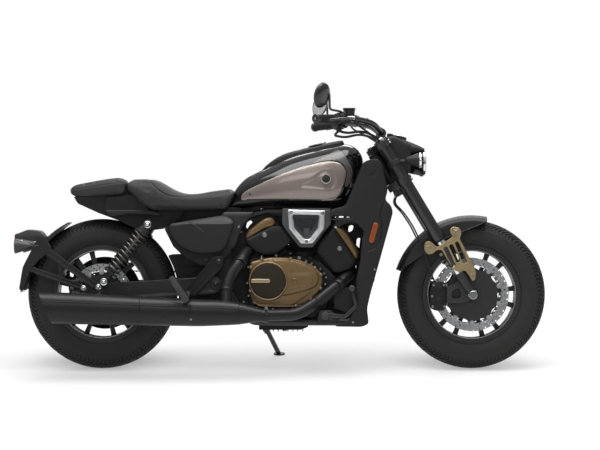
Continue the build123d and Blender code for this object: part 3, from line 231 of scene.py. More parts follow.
# The room is white behind the machine, and darker low down for what the paint mirrors.
room = bpy.data.worlds.new("room")
bpy.context.scene.world = room
room.use_nodes = True
room_tree = room.node_tree
room_tree.nodes.clear()
room_output, room_mix, seen_room, lit_room, ray_kind, either, sky_place, sky_split, sky_ramp = (
    room_tree.nodes.new("ShaderNode" + kind) for kind in (
        "OutputWorld", "MixShader", "Background", "Background", "LightPath", "Math", "TexCoord", "SeparateXYZ",
        "MapRange"))
either.operation = "MAXIMUM"
seen_room.inputs["Color"].default_value = (1, 1, 1, 1)
sky_ramp.interpolation_type = "SMOOTHSTEP"
for socket, value in [("From Min", 0.15), ("From Max", 0.80), ("To Min", 0.20), ("To Max", 0.85)]:
    sky_ramp.inputs[socket].default_value = value
for source, output, target, socket in [(sky_place, "Generated", sky_split, 0),
                                       (sky_split, "Z", sky_ramp, "Value"), (sky_ramp, 0, lit_room, "Strength"),
                                       (ray_kind, "Is Camera Ray", either, 0),
                                       (ray_kind, "Is Transmission Ray", either, 1), (either, 0, room_mix, 0),
                                       (lit_room, 0, room_mix, 1), (seen_room, 0, room_mix, 2),
                                       (room_mix, 0, room_output, 0)]:
    room_tree.links.new(source.outputs[output], target.inputs[socket])
bpy.context.scene.view_settings.view_transform = "Standard"

# ---------------------------------------------------------------- brake hoses
# Two rubber-covered hoses, one a side, from the cover under the lower yoke down to the front calipers.
# Both ends are crimped into fittings, so they bow forward under their own stiffness.
def coated(name, patch, dark, light, rough, bump=0.0, fine=None, fine_rough=False, soften=0.0, **sockets):
    """A finish that drifts between two tones over patches of a (size, detail). Its roughness is a least value
    and how much more the patches, or the fine grain, add. Its bumps follow the grain, or else the patches."""
    made = Finish(name, **sockets)
    cloud = made.noise(*patch)
    grain = made.noise(*fine) if fine else cloud
    made.colour(made.mix(cloud, tone(*dark), tone(*light)))
    made.rough(rough[0] + rough[1] * (grain if fine_rough else cloud))
    if bump:
        made.bump(grain, bump, soften)
    return made


HOSE_RADIUS = 3.5
HOSE_ROUTE = np.array([(1280, -58, 756), (1250, -80, 722), (1300, -98, 676), (1354, -104, 590),
                       (1394, -96, 480), (1430, -72, 382)])
hose_finish = coated("hose_rubber", (2.0, 2), (24, 24, 25), (40, 40, 41), (0.5, 0.2), 0.25,
                     Specular_IOR_Level=0.4)
for side, hose_name in [(1, "brake_hose_right"), (-1, "brake_hose_left")]:
    hose_curve = bpy.data.curves.new(hose_name, "CURVE")
    hose_curve.dimensions = "3D"
    spline = hose_curve.splines.new("NURBS")
    spline.points.add(len(HOSE_ROUTE) - 1)
    route = placed(HOSE_ROUTE * (1, side, 1))
    spline.points.foreach_set("co", np.column_stack([route, np.ones(len(route))]).ravel())
    spline.order_u = 3
    spline.use_endpoint_u = True
    spline.resolution_u = 14
    hose_curve.bevel_depth = HOSE_RADIUS / 1000
    hose_curve.bevel_resolution = 4
    hose_curve.use_fill_caps = True
    hose_curve.materials.append(hose_finish.material)
    hose = bpy.data.objects.new(hose_name, hose_curve)
    bpy.context.scene.collection.objects.link(hose)
    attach(hose, "steering")
    if side == 1:
        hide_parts("brake_hoses")

# ---------------------------------------------------------------- tyres
# Moulded rubber tyres, 130/90 and 150/80 on 16 inch rims. The tread is V-shaped sipes cut either side of
# a plain centre band, and the sidewall has a raised guard line beside the rim and one below the tread.
def skin(grid, close_rows=False, close_columns=False):
    """(points, faces) of a surface on a grid of points: each four neighbours make a face."""
    rows, columns = grid.shape[:2]
    index = np.arange(rows * columns).reshape(rows, columns)
    if close_rows:
        index = np.vstack([index, index[:1]])
    if close_columns:
        index = np.hstack([index, index[:, :1]])
    faces = np.stack([index[:-1, :-1], index[1:, :-1], index[1:, 1:], index[:-1, 1:]], -1)
    return grid.reshape(-1, 3), faces.reshape(-1, 4).tolist()


def piece(name, shells, finishes, body, nodes=(), sharp=38, even=False):
    """One object from closed shells of (points in mm, faces, number of its finish): leaned, welded,
    turned outwards, and shaded smooth across edges under `sharp` degrees. even keeps flat faces flat."""
    points = np.concatenate([placed(shell[0]) for shell in shells])
    starts = np.cumsum([0] + [len(shell[0]) for shell in shells])
    faces = [[start + corner for corner in face] for start, shell in zip(starts, shells) for face in shell[1]]
    numbers = [shell[2] if len(shell) > 2 else 0 for shell in shells for _ in shell[1]]
    mesh = bpy.data.meshes.new(name)
    mesh.from_pydata(points, [], faces)
    mesh.polygons.foreach_set("material_index", numbers)
    for finish in finishes:
        mesh.materials.append(finish.material)
    work = bmesh.new()
    work.from_mesh(mesh)
    bmesh.ops.remove_doubles(work, verts=work.verts, dist=2e-6)
    bmesh.ops.recalc_face_normals(work, faces=work.faces)
    work.to_mesh(mesh)
    work.free()
    mesh.shade_smooth()
    mesh.set_sharp_from_angle(angle=radians(sharp))
    made = bpy.data.objects.new(name, mesh)
    bpy.context.scene.collection.objects.link(made)
    if even:
        weigh = made.modifiers.new("even shading", "WEIGHTED_NORMAL")
        weigh.keep_sharp = True
    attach(made, body)
    if nodes:
        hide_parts(*nodes)
    return made


def turned(profile, axle, steps=96):
    """Shell of revolution: (y, radius) points of a closed profile turned about an axle (x, z)."""
    profile = np.asarray(profile, float)
    angle = np.linspace(0, 2 * pi, steps, endpoint=False)[:, None]
    y, radius = profile[:, 0][None], profile[:, 1][None]
    grid = np.stack([axle[0] + radius * np.cos(angle), y + 0 * angle, axle[1] + radius * np.sin(angle)], -1)
    return skin(grid, close_rows=True, close_columns=True)


FRONT_AXLE, REAR_AXLE = (1595.0, 320.2), (0.0, REAR_AXLE_Z)
BEAD_RADIUS, FLANGE_RADIUS = 203.4, 216.7
# columns: phase in the pitch, inner and outer end of the sipe in degrees from the crown
LONG_SIPE, SHORT_SIPE = (0.08, 0.26, 9.0, 63.0), (0.56, 0.74, 30.0, 63.0)
SIPE_DEPTH = 4.5

rubber = coated("tyre_rubber", (38, 4), (27, 27, 27), (41, 41, 40), (0.62, 0.18), 0.18, (1.6, 2),
                Specular_IOR_Level=0.35)


def tyre(width, outer_radius, bead_half, axle, pitches):
    """Tyre surface on a grid: round its axle by the angle, and across it from bead to bead by the section.
    The grid lines are sheared along the sipes, and points within a sipe go SIPE_DEPTH towards the axle."""
    half = width / 2
    shoulder = outer_radius - half
    crown = np.unique(np.concatenate([np.linspace(-64, 64, 33), [8.6, 9.4, 29.6, 30.4, 62.6, 63.4],
                                      [-8.6, -9.4, -29.6, -30.4, -62.6, -63.4]]))
    crown_y = half * np.sin(np.radians(crown))
    crown_radius = shoulder + half * np.cos(np.radians(crown))
    # from the tread's edge down to the bead. columns: share of the half width, share of the way to the bead
    wall = np.array([(0.925, 0.02), (0.955, 0.10), (0.958, 0.14), (0.975, 0.22), (0.992, 0.34), (0.995, 0.42),
                     (0.985, 0.52), (0.95, 0.66), (0.90, 0.76), (0.885, 0.79), (0.875, 0.84), (0.80, 0.90),
                     (0.0, 0.96), (0.0, 1.0)])
    tread_radius = shoulder + half * cos(radians(64))
    wall_y = half * wall[:, 0]
    wall_y[-2:] = bead_half
    wall_y[-3] = bead_half + 6
    wall_radius = tread_radius + (BEAD_RADIUS - tread_radius) * wall[:, 1]
    y = np.concatenate([-wall_y[::-1], crown_y, wall_y])
    radius = np.concatenate([wall_radius[::-1], crown_radius, wall_radius])
    psi = np.concatenate([np.full(len(wall), -70.0), crown, np.full(len(wall), 70.0)])
    edges = np.array([0.0, 0.06, 0.09, 0.25, 0.28, 0.54, 0.57, 0.73, 0.76])
    phase = (np.arange(pitches)[:, None] + edges).reshape(-1)
    within = np.mod(phase, 1.0)[:, None]
    reach = np.minimum(np.abs(psi), 64.0)[None]
    depth = np.zeros((len(phase), len(psi)))
    for low, high, start, end in (LONG_SIPE, SHORT_SIPE):
        depth += ((within > low) & (within < high) & (reach > start) & (reach < end)) * SIPE_DEPTH
    bend = 0.9 * (reach / 64) ** 1.2 + 0.16 * np.sin(reach * 0.16)
    angle = 2 * pi / pitches * (phase[:, None] + bend + 0.5 * (psi[None] > 0))
    out = radius[None] - depth * np.cos(np.radians(np.clip(psi, -64, 64)))[None]
    side = y[None] - depth * np.sin(np.radians(np.clip(psi, -64, 64)))[None]
    return skin(np.stack([axle[0] + out * np.cos(angle), side, axle[1] + out * np.sin(angle)], -1), True, True)


piece("front_tyre_rubber", [tyre(130.0, 320.2, 37.9, FRONT_AXLE, 54)], [rubber], "front_wheel",
      ["front_tyre"], sharp=30)
piece("rear_tyre_rubber", [tyre(150.0, 323.2, 50.6, REAR_AXLE, 50)], [rubber], "rear_wheel",
      ["rear_tyre"], sharp=30)

# ---------------------------------------------------------------- cast wheels
# One-piece cast aluminium wheels, painted black, with twelve spokes in six pairs. The inner edge of the
# barrel is machined bright. The rear one carries the toothed belt pulley on its left.
BARREL_RADIUS = 186.5
HUB_RADIUS, HUB_HALF = 46.0, 60.0
SPOKE_TURN, SPOKE_SPREAD, SPOKE_ROOT_SPREAD = -3.5, 11.5, 8.0

black_cast = coated("wheel_black", (30, 3), (18, 18, 19), (30, 30, 31), (0.36, 0.12), 0.10, (2.2, 3),
                    soften=1.2, Metallic=0.0, Coat_Weight=0.35, Coat_Roughness=0.25)

machined = coated("wheel_machined_edge", (3, 4), (196, 197, 199), (232, 233, 235), (0.22, 0.12), 0.03,
                  Metallic=1.0)


def softened(corners, cut, steps=5, closed=True):
    """Line through corners with each one eased: a quadratic curve from `cut` before it to `cut` after it,
    or 0.45 of the shorter side."""
    corners = np.asarray(corners, float)
    back, ahead = np.roll(corners, 1, 0) - corners, np.roll(corners, -1, 0) - corners
    back_length = np.linalg.norm(back, axis=1, keepdims=True)
    ahead_length = np.linalg.norm(ahead, axis=1, keepdims=True)
    reach = np.minimum(cut, 0.45 * np.minimum(back_length, ahead_length))
    start, end = corners + back / back_length * reach, corners + ahead / ahead_length * reach
    share = np.linspace(0, 1, steps)[None, :, None]
    eased = ((1 - share) ** 2 * start[:, None] + 2 * share * (1 - share) * corners[:, None]
             + share ** 2 * end[:, None])
    if closed:
        return eased.reshape(-1, corners.shape[1])
    return np.concatenate([corners[:1], eased[1:-1].reshape(-1, corners.shape[1]), corners[-1:]])


def beam(stations, finish=0):
    """Closed shell through sections: each is a grid row of points, and a fan closes each end."""
    stations = np.asarray(stations, float)
    ends = [np.repeat(stations[i].mean(0)[None], stations.shape[1], 0)[None] for i in (0, -1)]
    points, faces = skin(np.concatenate([ends[0], stations, ends[1]]), close_columns=True)
    return points, faces, finish


def spokes(axle, half):
    """Twelve spokes: a rounded section carried outwards from hub to barrel, waisted at the middle."""
    shells = []
    section = softened([(-1, -1), (1, -1), (1, 1), (-1, 1)], 0.42, 4)
    along = np.linspace(0, 1, 9)
    for pair in range(6):
        for side in (-1, 1):
            middle = SPOKE_TURN + pair * 60
            root = radians(middle + side * SPOKE_ROOT_SPREAD)
            tip = radians(middle + side * SPOKE_SPREAD)
            start = np.array([cos(root), sin(root)]) * (HUB_RADIUS - 6)
            end = np.array([cos(tip), sin(tip)]) * (BARREL_RADIUS + 4)
            way = (end - start) / np.linalg.norm(end - start)
            across = np.array([-way[1], way[0]])
            centre = start + along[:, None] * (end - start)
            wide = 9.4 + 2.6 * np.abs(2 * along - 1) ** 2
            thick = half * (0.92 + 0.08 * np.cos(along * pi))
            plan = centre[:, None] + across * (wide[:, None] * section[None, :, 0])[..., None]
            deep = thick[:, None] * section[None, :, 1]
            shells.append(beam(np.stack([axle[0] + plan[..., 0], deep, axle[1] + plan[..., 1]], -1)))
    return shells


def wheel(rim_half, axle):
    """Barrel with its drop centre, two flanges, hub with stepped ends, and spokes."""
    lip = rim_half + 7
    barrel = [(-lip, 189), (-lip, FLANGE_RADIUS - 2), (-lip + 2, FLANGE_RADIUS), (-rim_half - 1, FLANGE_RADIUS),
              (-rim_half, FLANGE_RADIUS - 3), (-rim_half, BEAD_RADIUS - 0.2), (rim_half, BEAD_RADIUS - 0.2),
              (rim_half, FLANGE_RADIUS - 3), (rim_half + 1, FLANGE_RADIUS), (lip - 2, FLANGE_RADIUS),
              (lip, FLANGE_RADIUS - 2), (lip, 189), (lip - 3, BARREL_RADIUS + 1), (14, BARREL_RADIUS + 5),
              (-14, BARREL_RADIUS + 5), (-lip + 3, BARREL_RADIUS + 1)]
    hub = [(-HUB_HALF, 10.1), (-HUB_HALF, 38), (-HUB_HALF + 2, 40), (-34, 40), (-22, HUB_RADIUS),
           (22, HUB_RADIUS), (34, 40), (HUB_HALF - 2, 40), (HUB_HALF, 38), (HUB_HALF, 10.1)]
    bright = []
    for side in (-1, 1):
        bright.append((*turned([(side * (lip - 3.4), BARREL_RADIUS), (side * (lip + 0.3), 188.2),
                                (side * (lip + 0.3), 190.6), (side * (lip - 3.4), 190.6)], axle, 144), 1))
    return [turned(barrel, axle, 144), turned(hub, axle, 64)] + spokes(axle, 13.0) + bright


PULLEY_RADIUS = 92.0
BELT_INNER, BELT_OUTER = 88.0, 110.0


def holed_ring(inner, outer, holes, hole_radius, y_low, y_high, axle, rows=1, steps=16, turn=0.0, finish=0):
    """Flat ring with drilled holes: each cell of the ring, between two radii and two angles, is a patch
    whose points run from its hole's edge to its own edge, on both faces, with the hole's wall between."""
    row, column, around = np.meshgrid(np.arange(rows), np.arange(holes), np.arange(steps), indexing="ij")
    way = 2 * pi * around / steps
    square = 1 / np.maximum(np.abs(np.cos(way)), np.abs(np.sin(way)))
    depth = (outer - inner) / rows
    middle = inner + depth * (row + 0.5)
    width = 2 * pi / holes
    centre = radians(turn) + width * (column + 0.5 + 0.37 * row)
    edge_radius = middle + depth / 2 * square * np.sin(way)
    edge_angle = centre + width / 2 * square * np.cos(way)
    edge = np.stack([edge_radius * np.cos(edge_angle), edge_radius * np.sin(edge_angle)], -1)
    hole_radial, hole_around = hole_radius * np.sin(way), hole_radius * np.cos(way)
    hole = np.stack([(middle + hole_radial) * np.cos(centre) - hole_around * np.sin(centre),
                     (middle + hole_radial) * np.sin(centre) + hole_around * np.cos(centre)], -1)
    shells = []
    for patch in range(rows * holes):
        ring_edge, ring_hole = edge.reshape(-1, steps, 2)[patch], hole.reshape(-1, steps, 2)[patch]
        loops = [(ring_edge, y_low), (ring_hole, y_low), (ring_hole, y_high), (ring_edge, y_high)]
        grid = np.stack([np.column_stack([axle[0] + p[:, 0], np.full(steps, y), axle[1] + p[:, 1]])
                         for p, y in loops])
        shells.append((*skin(grid, close_columns=True), finish))
    for radius in (inner, outer):
        angle = radians(turn) + np.linspace(0, 2 * pi, holes * 4, endpoint=False)
        wall = np.stack([np.column_stack([axle[0] + radius * np.cos(angle), np.full(len(angle), y),
                                          axle[1] + radius * np.sin(angle)]) for y in (y_low, y_high)])
        shells.append((*skin(wall, close_columns=True), finish))
    return shells


piece("front_wheel_cast", wheel(38.1, FRONT_AXLE), [black_cast, machined], "front_wheel", ["front_rim"],
      even=True)
pulley = holed_ring(42, 82, 6, 15, BELT_INNER - 2, BELT_OUTER - 6, REAR_AXLE, steps=24)
teeth = np.repeat(np.arange(72), 4) * 5.0 + np.tile([0.0, 1.1, 2.5, 3.6], 72)
tooth_radius = np.tile([PULLEY_RADIUS - 3, PULLEY_RADIUS, PULLEY_RADIUS, PULLEY_RADIUS - 3], 72)
tooth_line = np.column_stack([tooth_radius * np.cos(np.radians(teeth)),
                              tooth_radius * np.sin(np.radians(teeth))])
rim_line = 82 * tooth_line / np.linalg.norm(tooth_line, axis=1, keepdims=True)
pulley_rim = np.stack([np.column_stack([REAR_AXLE[0] + line[:, 0], np.full(len(line), y),
                                        REAR_AXLE[1] + line[:, 1]]) for line, y
                       in [(rim_line, BELT_INNER), (tooth_line, BELT_INNER), (tooth_line, BELT_OUTER),
                           (rim_line, BELT_OUTER)]])
pulley += [skin(pulley_rim, close_rows=True, close_columns=True),
           turned([(HUB_HALF, 10.1), (HUB_HALF, 42), (BELT_OUTER - 4, 42), (BELT_OUTER + 1, 30),
                   (BELT_OUTER + 1, 10.1)], REAR_AXLE, 48)]
for screw in range(5):
    turn = radians(72 * screw)
    spot = (REAR_AXLE[0] + 34 * cos(turn), REAR_AXLE[1] + 34 * sin(turn))
    pulley.append((*turned([(BELT_OUTER - 6, 0.01), (BELT_OUTER - 6, 6), (BELT_OUTER + 5, 6),
                            (BELT_OUTER + 5, 0.01)], spot, 6), 1))
piece("rear_wheel_cast", wheel(50.8, REAR_AXLE) + pulley, [black_cast, machined], "rear_wheel", ["rear_rim"],
      even=True)

# ---------------------------------------------------------------- brake discs
# Drilled stainless bands on black carriers, joined by floating buttons that let the band grow with heat.
# Two in front and one behind, each bolted to the end of its hub.
DISC_THICK = 5.5
ground_steel = coated("disc_steel", (45, 2), (150, 151, 153), (190, 191, 193), (0.30, 0.16), 0.04, (2.2, 3),
                      True, soften=0.6, Metallic=1.0)


def brake_disc(outer_radius, side, axle, holes):
    """Drilled band, its button ears, and a black carrier that swells towards each button."""
    low, high = sorted((side * HUB_HALF, side * (HUB_HALF + DISC_THICK)))
    thin_low, thin_high = low + 0.6, high - 0.6
    inner = outer_radius - 33
    shells = holed_ring(inner, outer_radius, holes, 3.4, thin_low, thin_high, axle, rows=3, steps=8)
    for button in range(10):
        turn = radians(36 * button + 18)
        spot = (axle[0] + (inner - 3) * cos(turn), axle[1] + (inner - 3) * sin(turn))
        shells += [turned([(low, 0.01), (low, 10.5), (high, 10.5), (high, 0.01)], spot, 20),
                   (*turned([(low - 1, 0.01), (low - 1, 5.5), (high + 1, 5.5), (high + 1, 0.01)], spot, 14), 2)]
    angle = np.linspace(0, 2 * pi, 180, endpoint=False)
    lobes = 0.5 + 0.5 * np.cos(10 * (angle - radians(18)))
    reach = inner - 16 + 9 * lobes ** 0.8
    window = np.full_like(angle, 42.0)
    loops = [(window, thin_low), (reach, thin_low), (reach, thin_high), (window, thin_high)]
    carrier = np.stack([np.column_stack([axle[0] + r * np.cos(angle), np.full(len(angle), y),
                                         axle[1] + r * np.sin(angle)]) for r, y in loops])
    shells.append((*skin(carrier, True, True), 1))
    hub_ring = turned([(low, 20), (low, 43), (high, 43), (high, 20)], axle, 48)
    shells.append((*hub_ring, 1))
    outside = side * (HUB_HALF + DISC_THICK)
    for screw in range(5):
        turn = radians(72 * screw + 36)
        spot = (axle[0] + 33 * cos(turn), axle[1] + 33 * sin(turn))
        shells.append((*turned([(outside - side, 0.01), (outside - side, 6.5), (outside + side * 5, 5.5),
                                (outside + side * 5, 0.01)], spot, 12), 1))
    return shells


piece("front_brake_discs", brake_disc(158, -1, FRONT_AXLE, 36) + brake_disc(158, 1, FRONT_AXLE, 36),
      [ground_steel, black_cast, machined], "front_wheel", ["front_discs"], even=True)
piece("rear_brake_disc", brake_disc(130, -1, REAR_AXLE, 30), [ground_steel, black_cast, machined], "rear_wheel",
      ["rear_disc"], even=True)

# ---------------------------------------------------------------- fuel tank and console
# Pressed and welded steel tank in gloss black lacquer. The matte console bolted along its top carries
# the hinged filler cap, which sits flush in a round recess.
def smooth(rows, at):
    """Columns of a table, each a smooth curve through its rows by the first column (cubic between rows,
    with the slope at a row from its neighbours), read at the given places."""
    rows = np.asarray(rows, float)
    x, values = rows[:, 0], rows[:, 1:]
    slope = np.gradient(values, x, axis=0)
    at = np.clip(np.asarray(at, float), x[0], x[-1])
    span = np.clip(np.searchsorted(x, at, side="right") - 1, 0, len(x) - 2)
    width = (x[span + 1] - x[span])[..., None]
    t = ((at - x[span]) / width[..., 0])[..., None]
    return ((1 + 2 * t) * (1 - t) ** 2 * values[span] + t * (1 - t) ** 2 * width * slope[span]
            + t * t * (3 - 2 * t) * values[span + 1] - t * t * (1 - t) * width * slope[span + 1])


def hull(rows, waist=0.45, upper=2.3, lower=3.0, stations=60, around=64, crowd=1.0, finish=0):
    """Closed body through rounded sections across the machine. rows: x, low z, high z, half width. Above
    and below its waist a section is a superellipse, |y/half|^n + |z/height|^n = 1, with its own n."""
    rows = np.asarray(rows, float)
    share = np.linspace(0, 1, stations)
    share = share + (crowd - 1) * np.sin(2 * pi * share) / (2 * pi)
    x = rows[0, 0] + (rows[-1, 0] - rows[0, 0]) * share
    low, high, half = smooth(rows, x).T
    turn = np.linspace(0, 2 * pi, around, endpoint=False)[None]
    power = np.where(np.sin(turn) > 0, 2 / upper, 2 / lower)
    middle = (low + (high - low) * waist)[:, None]
    reach = np.where(np.sin(turn) > 0, (high - low)[:, None] * (1 - waist), (high - low)[:, None] * waist)
    y = half[:, None] * np.sign(np.cos(turn)) * np.abs(np.cos(turn)) ** power
    z = middle + reach * np.sign(np.sin(turn)) * np.abs(np.sin(turn)) ** power
    return beam(np.stack([x[:, None] + 0 * y, y, z], -1), finish)


# columns: x, low z, high z, half width
TANK = [(546, 690, 704, 40), (552, 688, 728, 66), (562, 687, 752, 76), (577, 687, 776, 84),
        (616, 688, 818, 102), (664, 694, 845, 115), (711, 699, 868, 126), (800, 701, 912, 140),
        (900, 701, 941, 146), (1000, 698, 962, 140), (1056, 712, 969, 122), (1088, 752, 958, 98),
        (1112, 806, 936, 70), (1126, 850, 908, 40), (1131, 872, 888, 12)]
TANK_WAIST, TANK_UPPER, TANK_LOWER = 0.44, 2.35, 3.4


def tank_side(x, z):
    """Distance of the tank's side from the centre plane at (x, z): its section solved for y."""
    low, high, half = np.moveaxis(smooth(TANK, x), -1, 0)
    middle = low + (high - low) * TANK_WAIST
    above = z > middle
    reach = np.where(above, (high - low) * (1 - TANK_WAIST), (high - low) * TANK_WAIST)
    power = np.where(above, TANK_UPPER, TANK_LOWER)
    share = np.clip(np.abs(z - middle) / np.maximum(reach, 1), 0, 0.995)
    return half * (1 - share ** power) ** (1 / power)


gloss_black = coated("lacquer_gloss_black", (60, 3), (8, 8, 9), (15, 15, 16), (0.10, 0.05), 0.05, (14, 2),
                     Coat_Weight=0.45, Coat_Roughness=0.10, Specular_IOR_Level=0.25)

satin_plastic = coated("console_satin_plastic", (70, 3), (13, 13, 14), (21, 21, 22), (0.46, 0.14), 0.09,
                       (1.1, 2), True, soften=1.5, Specular_IOR_Level=0.45)

CONSOLE = [(690, 850, 858, 6), (700, 846, 870, 24), (720, 850, 888, 34), (745, 868, 906, 39),
           (780, 884, 925, 42), (854, 904, 947, 43), (940, 926, 968, 42), (1010, 940, 983, 38),
           (1030, 944, 986, 32), (1040, 950, 984, 22), (1046, 962, 972, 8)]
tank = hull(TANK, TANK_WAIST, TANK_UPPER, TANK_LOWER, stations=84, around=88, crowd=0.35)
console = hull(CONSOLE, 0.5, 3.6, 4.0, stations=50, around=48, crowd=0.4, finish=1)
piece("tank_shell", [tank, console], [gloss_black, satin_plastic], "chassis", ["fuel_tank"],
      sharp=50)


def lathe(profile, origin, axis, steps=40, finish=0, flats=0.0):
    """Shell of revolution about any line: (distance along, radius) points from one pole to the other. flats
    above 0 pulls the radius in between six corners, as on a hexagon."""
    profile = np.asarray(profile, float)
    axis = np.asarray(axis, float) / np.linalg.norm(axis)
    side = np.cross(axis, (0.0, 0.0, 1.0) if abs(axis[2]) < 0.9 else (1.0, 0.0, 0.0))
    side /= np.linalg.norm(side)
    other = np.cross(axis, side)
    turn = np.linspace(0, 2 * pi, steps, endpoint=False)
    hexed = cos(pi / 6) / np.cos(np.mod(turn + pi / 6, pi / 3) - pi / 6)
    radius = profile[None, :, 1] * (1 + flats * (hexed[:, None] - 1))
    grid = (np.asarray(origin, float) + profile[None, :, :1] * axis
            + radius[..., None] * (np.cos(turn)[:, None, None] * side + np.sin(turn)[:, None, None] * other))
    return (*skin(grid, close_rows=True), finish)


def drum(low, high, radius):
    """Profile of a plain cylinder from one distance along its axis to another."""
    return [(low, 0), (low, radius), (high, radius), (high, 0)]


def bolt(origin, axis, radius, height, finish=0):
    """Socket head screw: a rounded head with a round pocket, seated a little into what it holds."""
    profile = [(-1, 0), (-1, radius), (height - radius * 0.18, radius), (height, radius * 0.84),
               (height, radius * 0.52), (height * 0.45, radius * 0.50), (height * 0.45, 0)]
    return lathe(profile, origin, axis, 18, finish)


chrome = coated("chrome_plate", (26, 3), (214, 216, 219), (238, 239, 241), (0.07, 0.08), 0.02, (9, 2),
                Metallic=1.0)

CONSOLE_TOP = ((854, 949), (1020, 986))        # two places (x, z) on the console's top
CAP_X = 925.0                                  # where the fuel cap stands between them
(top_x, top_z), (top_end_x, top_end_z) = CONSOLE_TOP
cap_slope = Vector((top_end_x - top_x, 0, top_end_z - top_z)).normalized()
cap_normal = np.array([-cap_slope.z, 0.0, cap_slope.x])
cap_foot = np.array([CAP_X, 0.0, top_z + (CAP_X - top_x) * cap_slope.z / cap_slope.x])
cap = [lathe([(-1, 0), (-1, 36), (2, 36), (4, 34), (4.8, 31), (4.8, 27), (4, 26), (4, 0)], cap_foot, cap_normal,
             64),
       lathe([(3, 0), (3, 11), (5.2, 10.5), (5.8, 9), (5.8, 5), (5, 4.4), (5, 0)], cap_foot, cap_normal, 32, 1)]
hinge_place = cap_foot + np.array([cap_slope.x, 0, cap_slope.z]) * 39 + cap_normal * 2.5
cap.append(lathe(drum(-11, 11, 4.5), hinge_place, (0, 1, 0), 20, 1))
for spot in range(6):
    turn = radians(60 * spot + 30)
    place = cap_foot + 30.5 * (cos(turn) * np.array([cap_slope.x, 0, cap_slope.z])
                               + sin(turn) * np.array([0, 1, 0]))
    cap.append(bolt(place + cap_normal * 3.2, cap_normal, 2.6, 2.2, 1))
piece("filler_cap", cap, [satin_plastic, chrome], "fuel_cap", ["fuel_cap"])

# ---------------------------------------------------------------- tank side panels
# Pressed panels in a metallic taupe lacquer, clipped to the tank's sides inside a thin bright edging. Each
# has a swept relief round a plain boss and one screw at the rear, and a dark facet borders it ahead.
def rim_distance(points, rims):
    """Distance from points to the nearest side of closed outlines."""
    best = np.full(len(points), 1e9)
    for rim in rims:
        a, b = rim, np.roll(rim, -1, 0)
        run = b - a
        t = np.einsum("pse,se->ps", points[:, None] - a[None], run) / np.maximum((run ** 2).sum(1), 1e-9)
        t = np.clip(t, 0, 1)[..., None]
        best = np.minimum(best, np.linalg.norm(points[:, None] - a - t * run, axis=-1).min(1))
    return best


def within(points, rim):
    """True for points inside a closed outline: a line from the point crosses it an odd number of times."""
    a, b = rim[None], np.roll(rim, -1, 0)[None]
    p = points[:, None]
    crosses = (a[..., 1] > p[..., 1]) != (b[..., 1] > p[..., 1])
    rise = np.where(np.abs(b[..., 1] - a[..., 1]) < 1e-9, 1e-9, b[..., 1] - a[..., 1])
    at = a[..., 0] + (p[..., 1] - a[..., 1]) * (b[..., 0] - a[..., 0]) / rise
    return (crosses & (p[..., 0] < at)).sum(1) % 2 == 1


def inset(rim, amount):
    """A closed outline moved inwards by an amount, each point along the middle of its two sides' normals."""
    area = (rim[:, 0] * np.roll(rim[:, 1], -1) - np.roll(rim[:, 0], -1) * rim[:, 1]).sum()
    way = np.roll(rim, -1, 0) - np.roll(rim, 1, 0)
    way /= np.maximum(np.linalg.norm(way, axis=1, keepdims=True), 1e-9)
    return rim + np.column_stack([-way[:, 1], way[:, 0]]) * amount * np.sign(area)


def line_distance(x, z, line):
    """Distance from places (x, z) to an open line of points."""
    line = np.asarray(line, float)
    there_and_back = np.concatenate([line, line[-2:0:-1]])
    return rim_distance(np.column_stack([x, z]), [there_and_back])


def track(line, spacing, reach=(-4.0, -2.2, -1.1, 0.0, 1.1, 2.2, 4.0)):
    """Rows of points along a line and beside it, where a face has a groove or a ridge."""
    line = np.asarray(line, float)
    along = np.concatenate([[0], np.cumsum(np.linalg.norm(np.diff(line, axis=0), axis=1))])
    at = np.linspace(0, along[-1], int(along[-1] / spacing) + 2)
    spots = np.column_stack([np.interp(at, along, line[:, axis]) for axis in (0, 1)])
    way = np.gradient(spots, axis=0)
    way /= np.linalg.norm(way, axis=1, keepdims=True)
    return np.concatenate([spots + np.column_stack([-way[:, 1], way[:, 0]]) * offset for offset in reach])


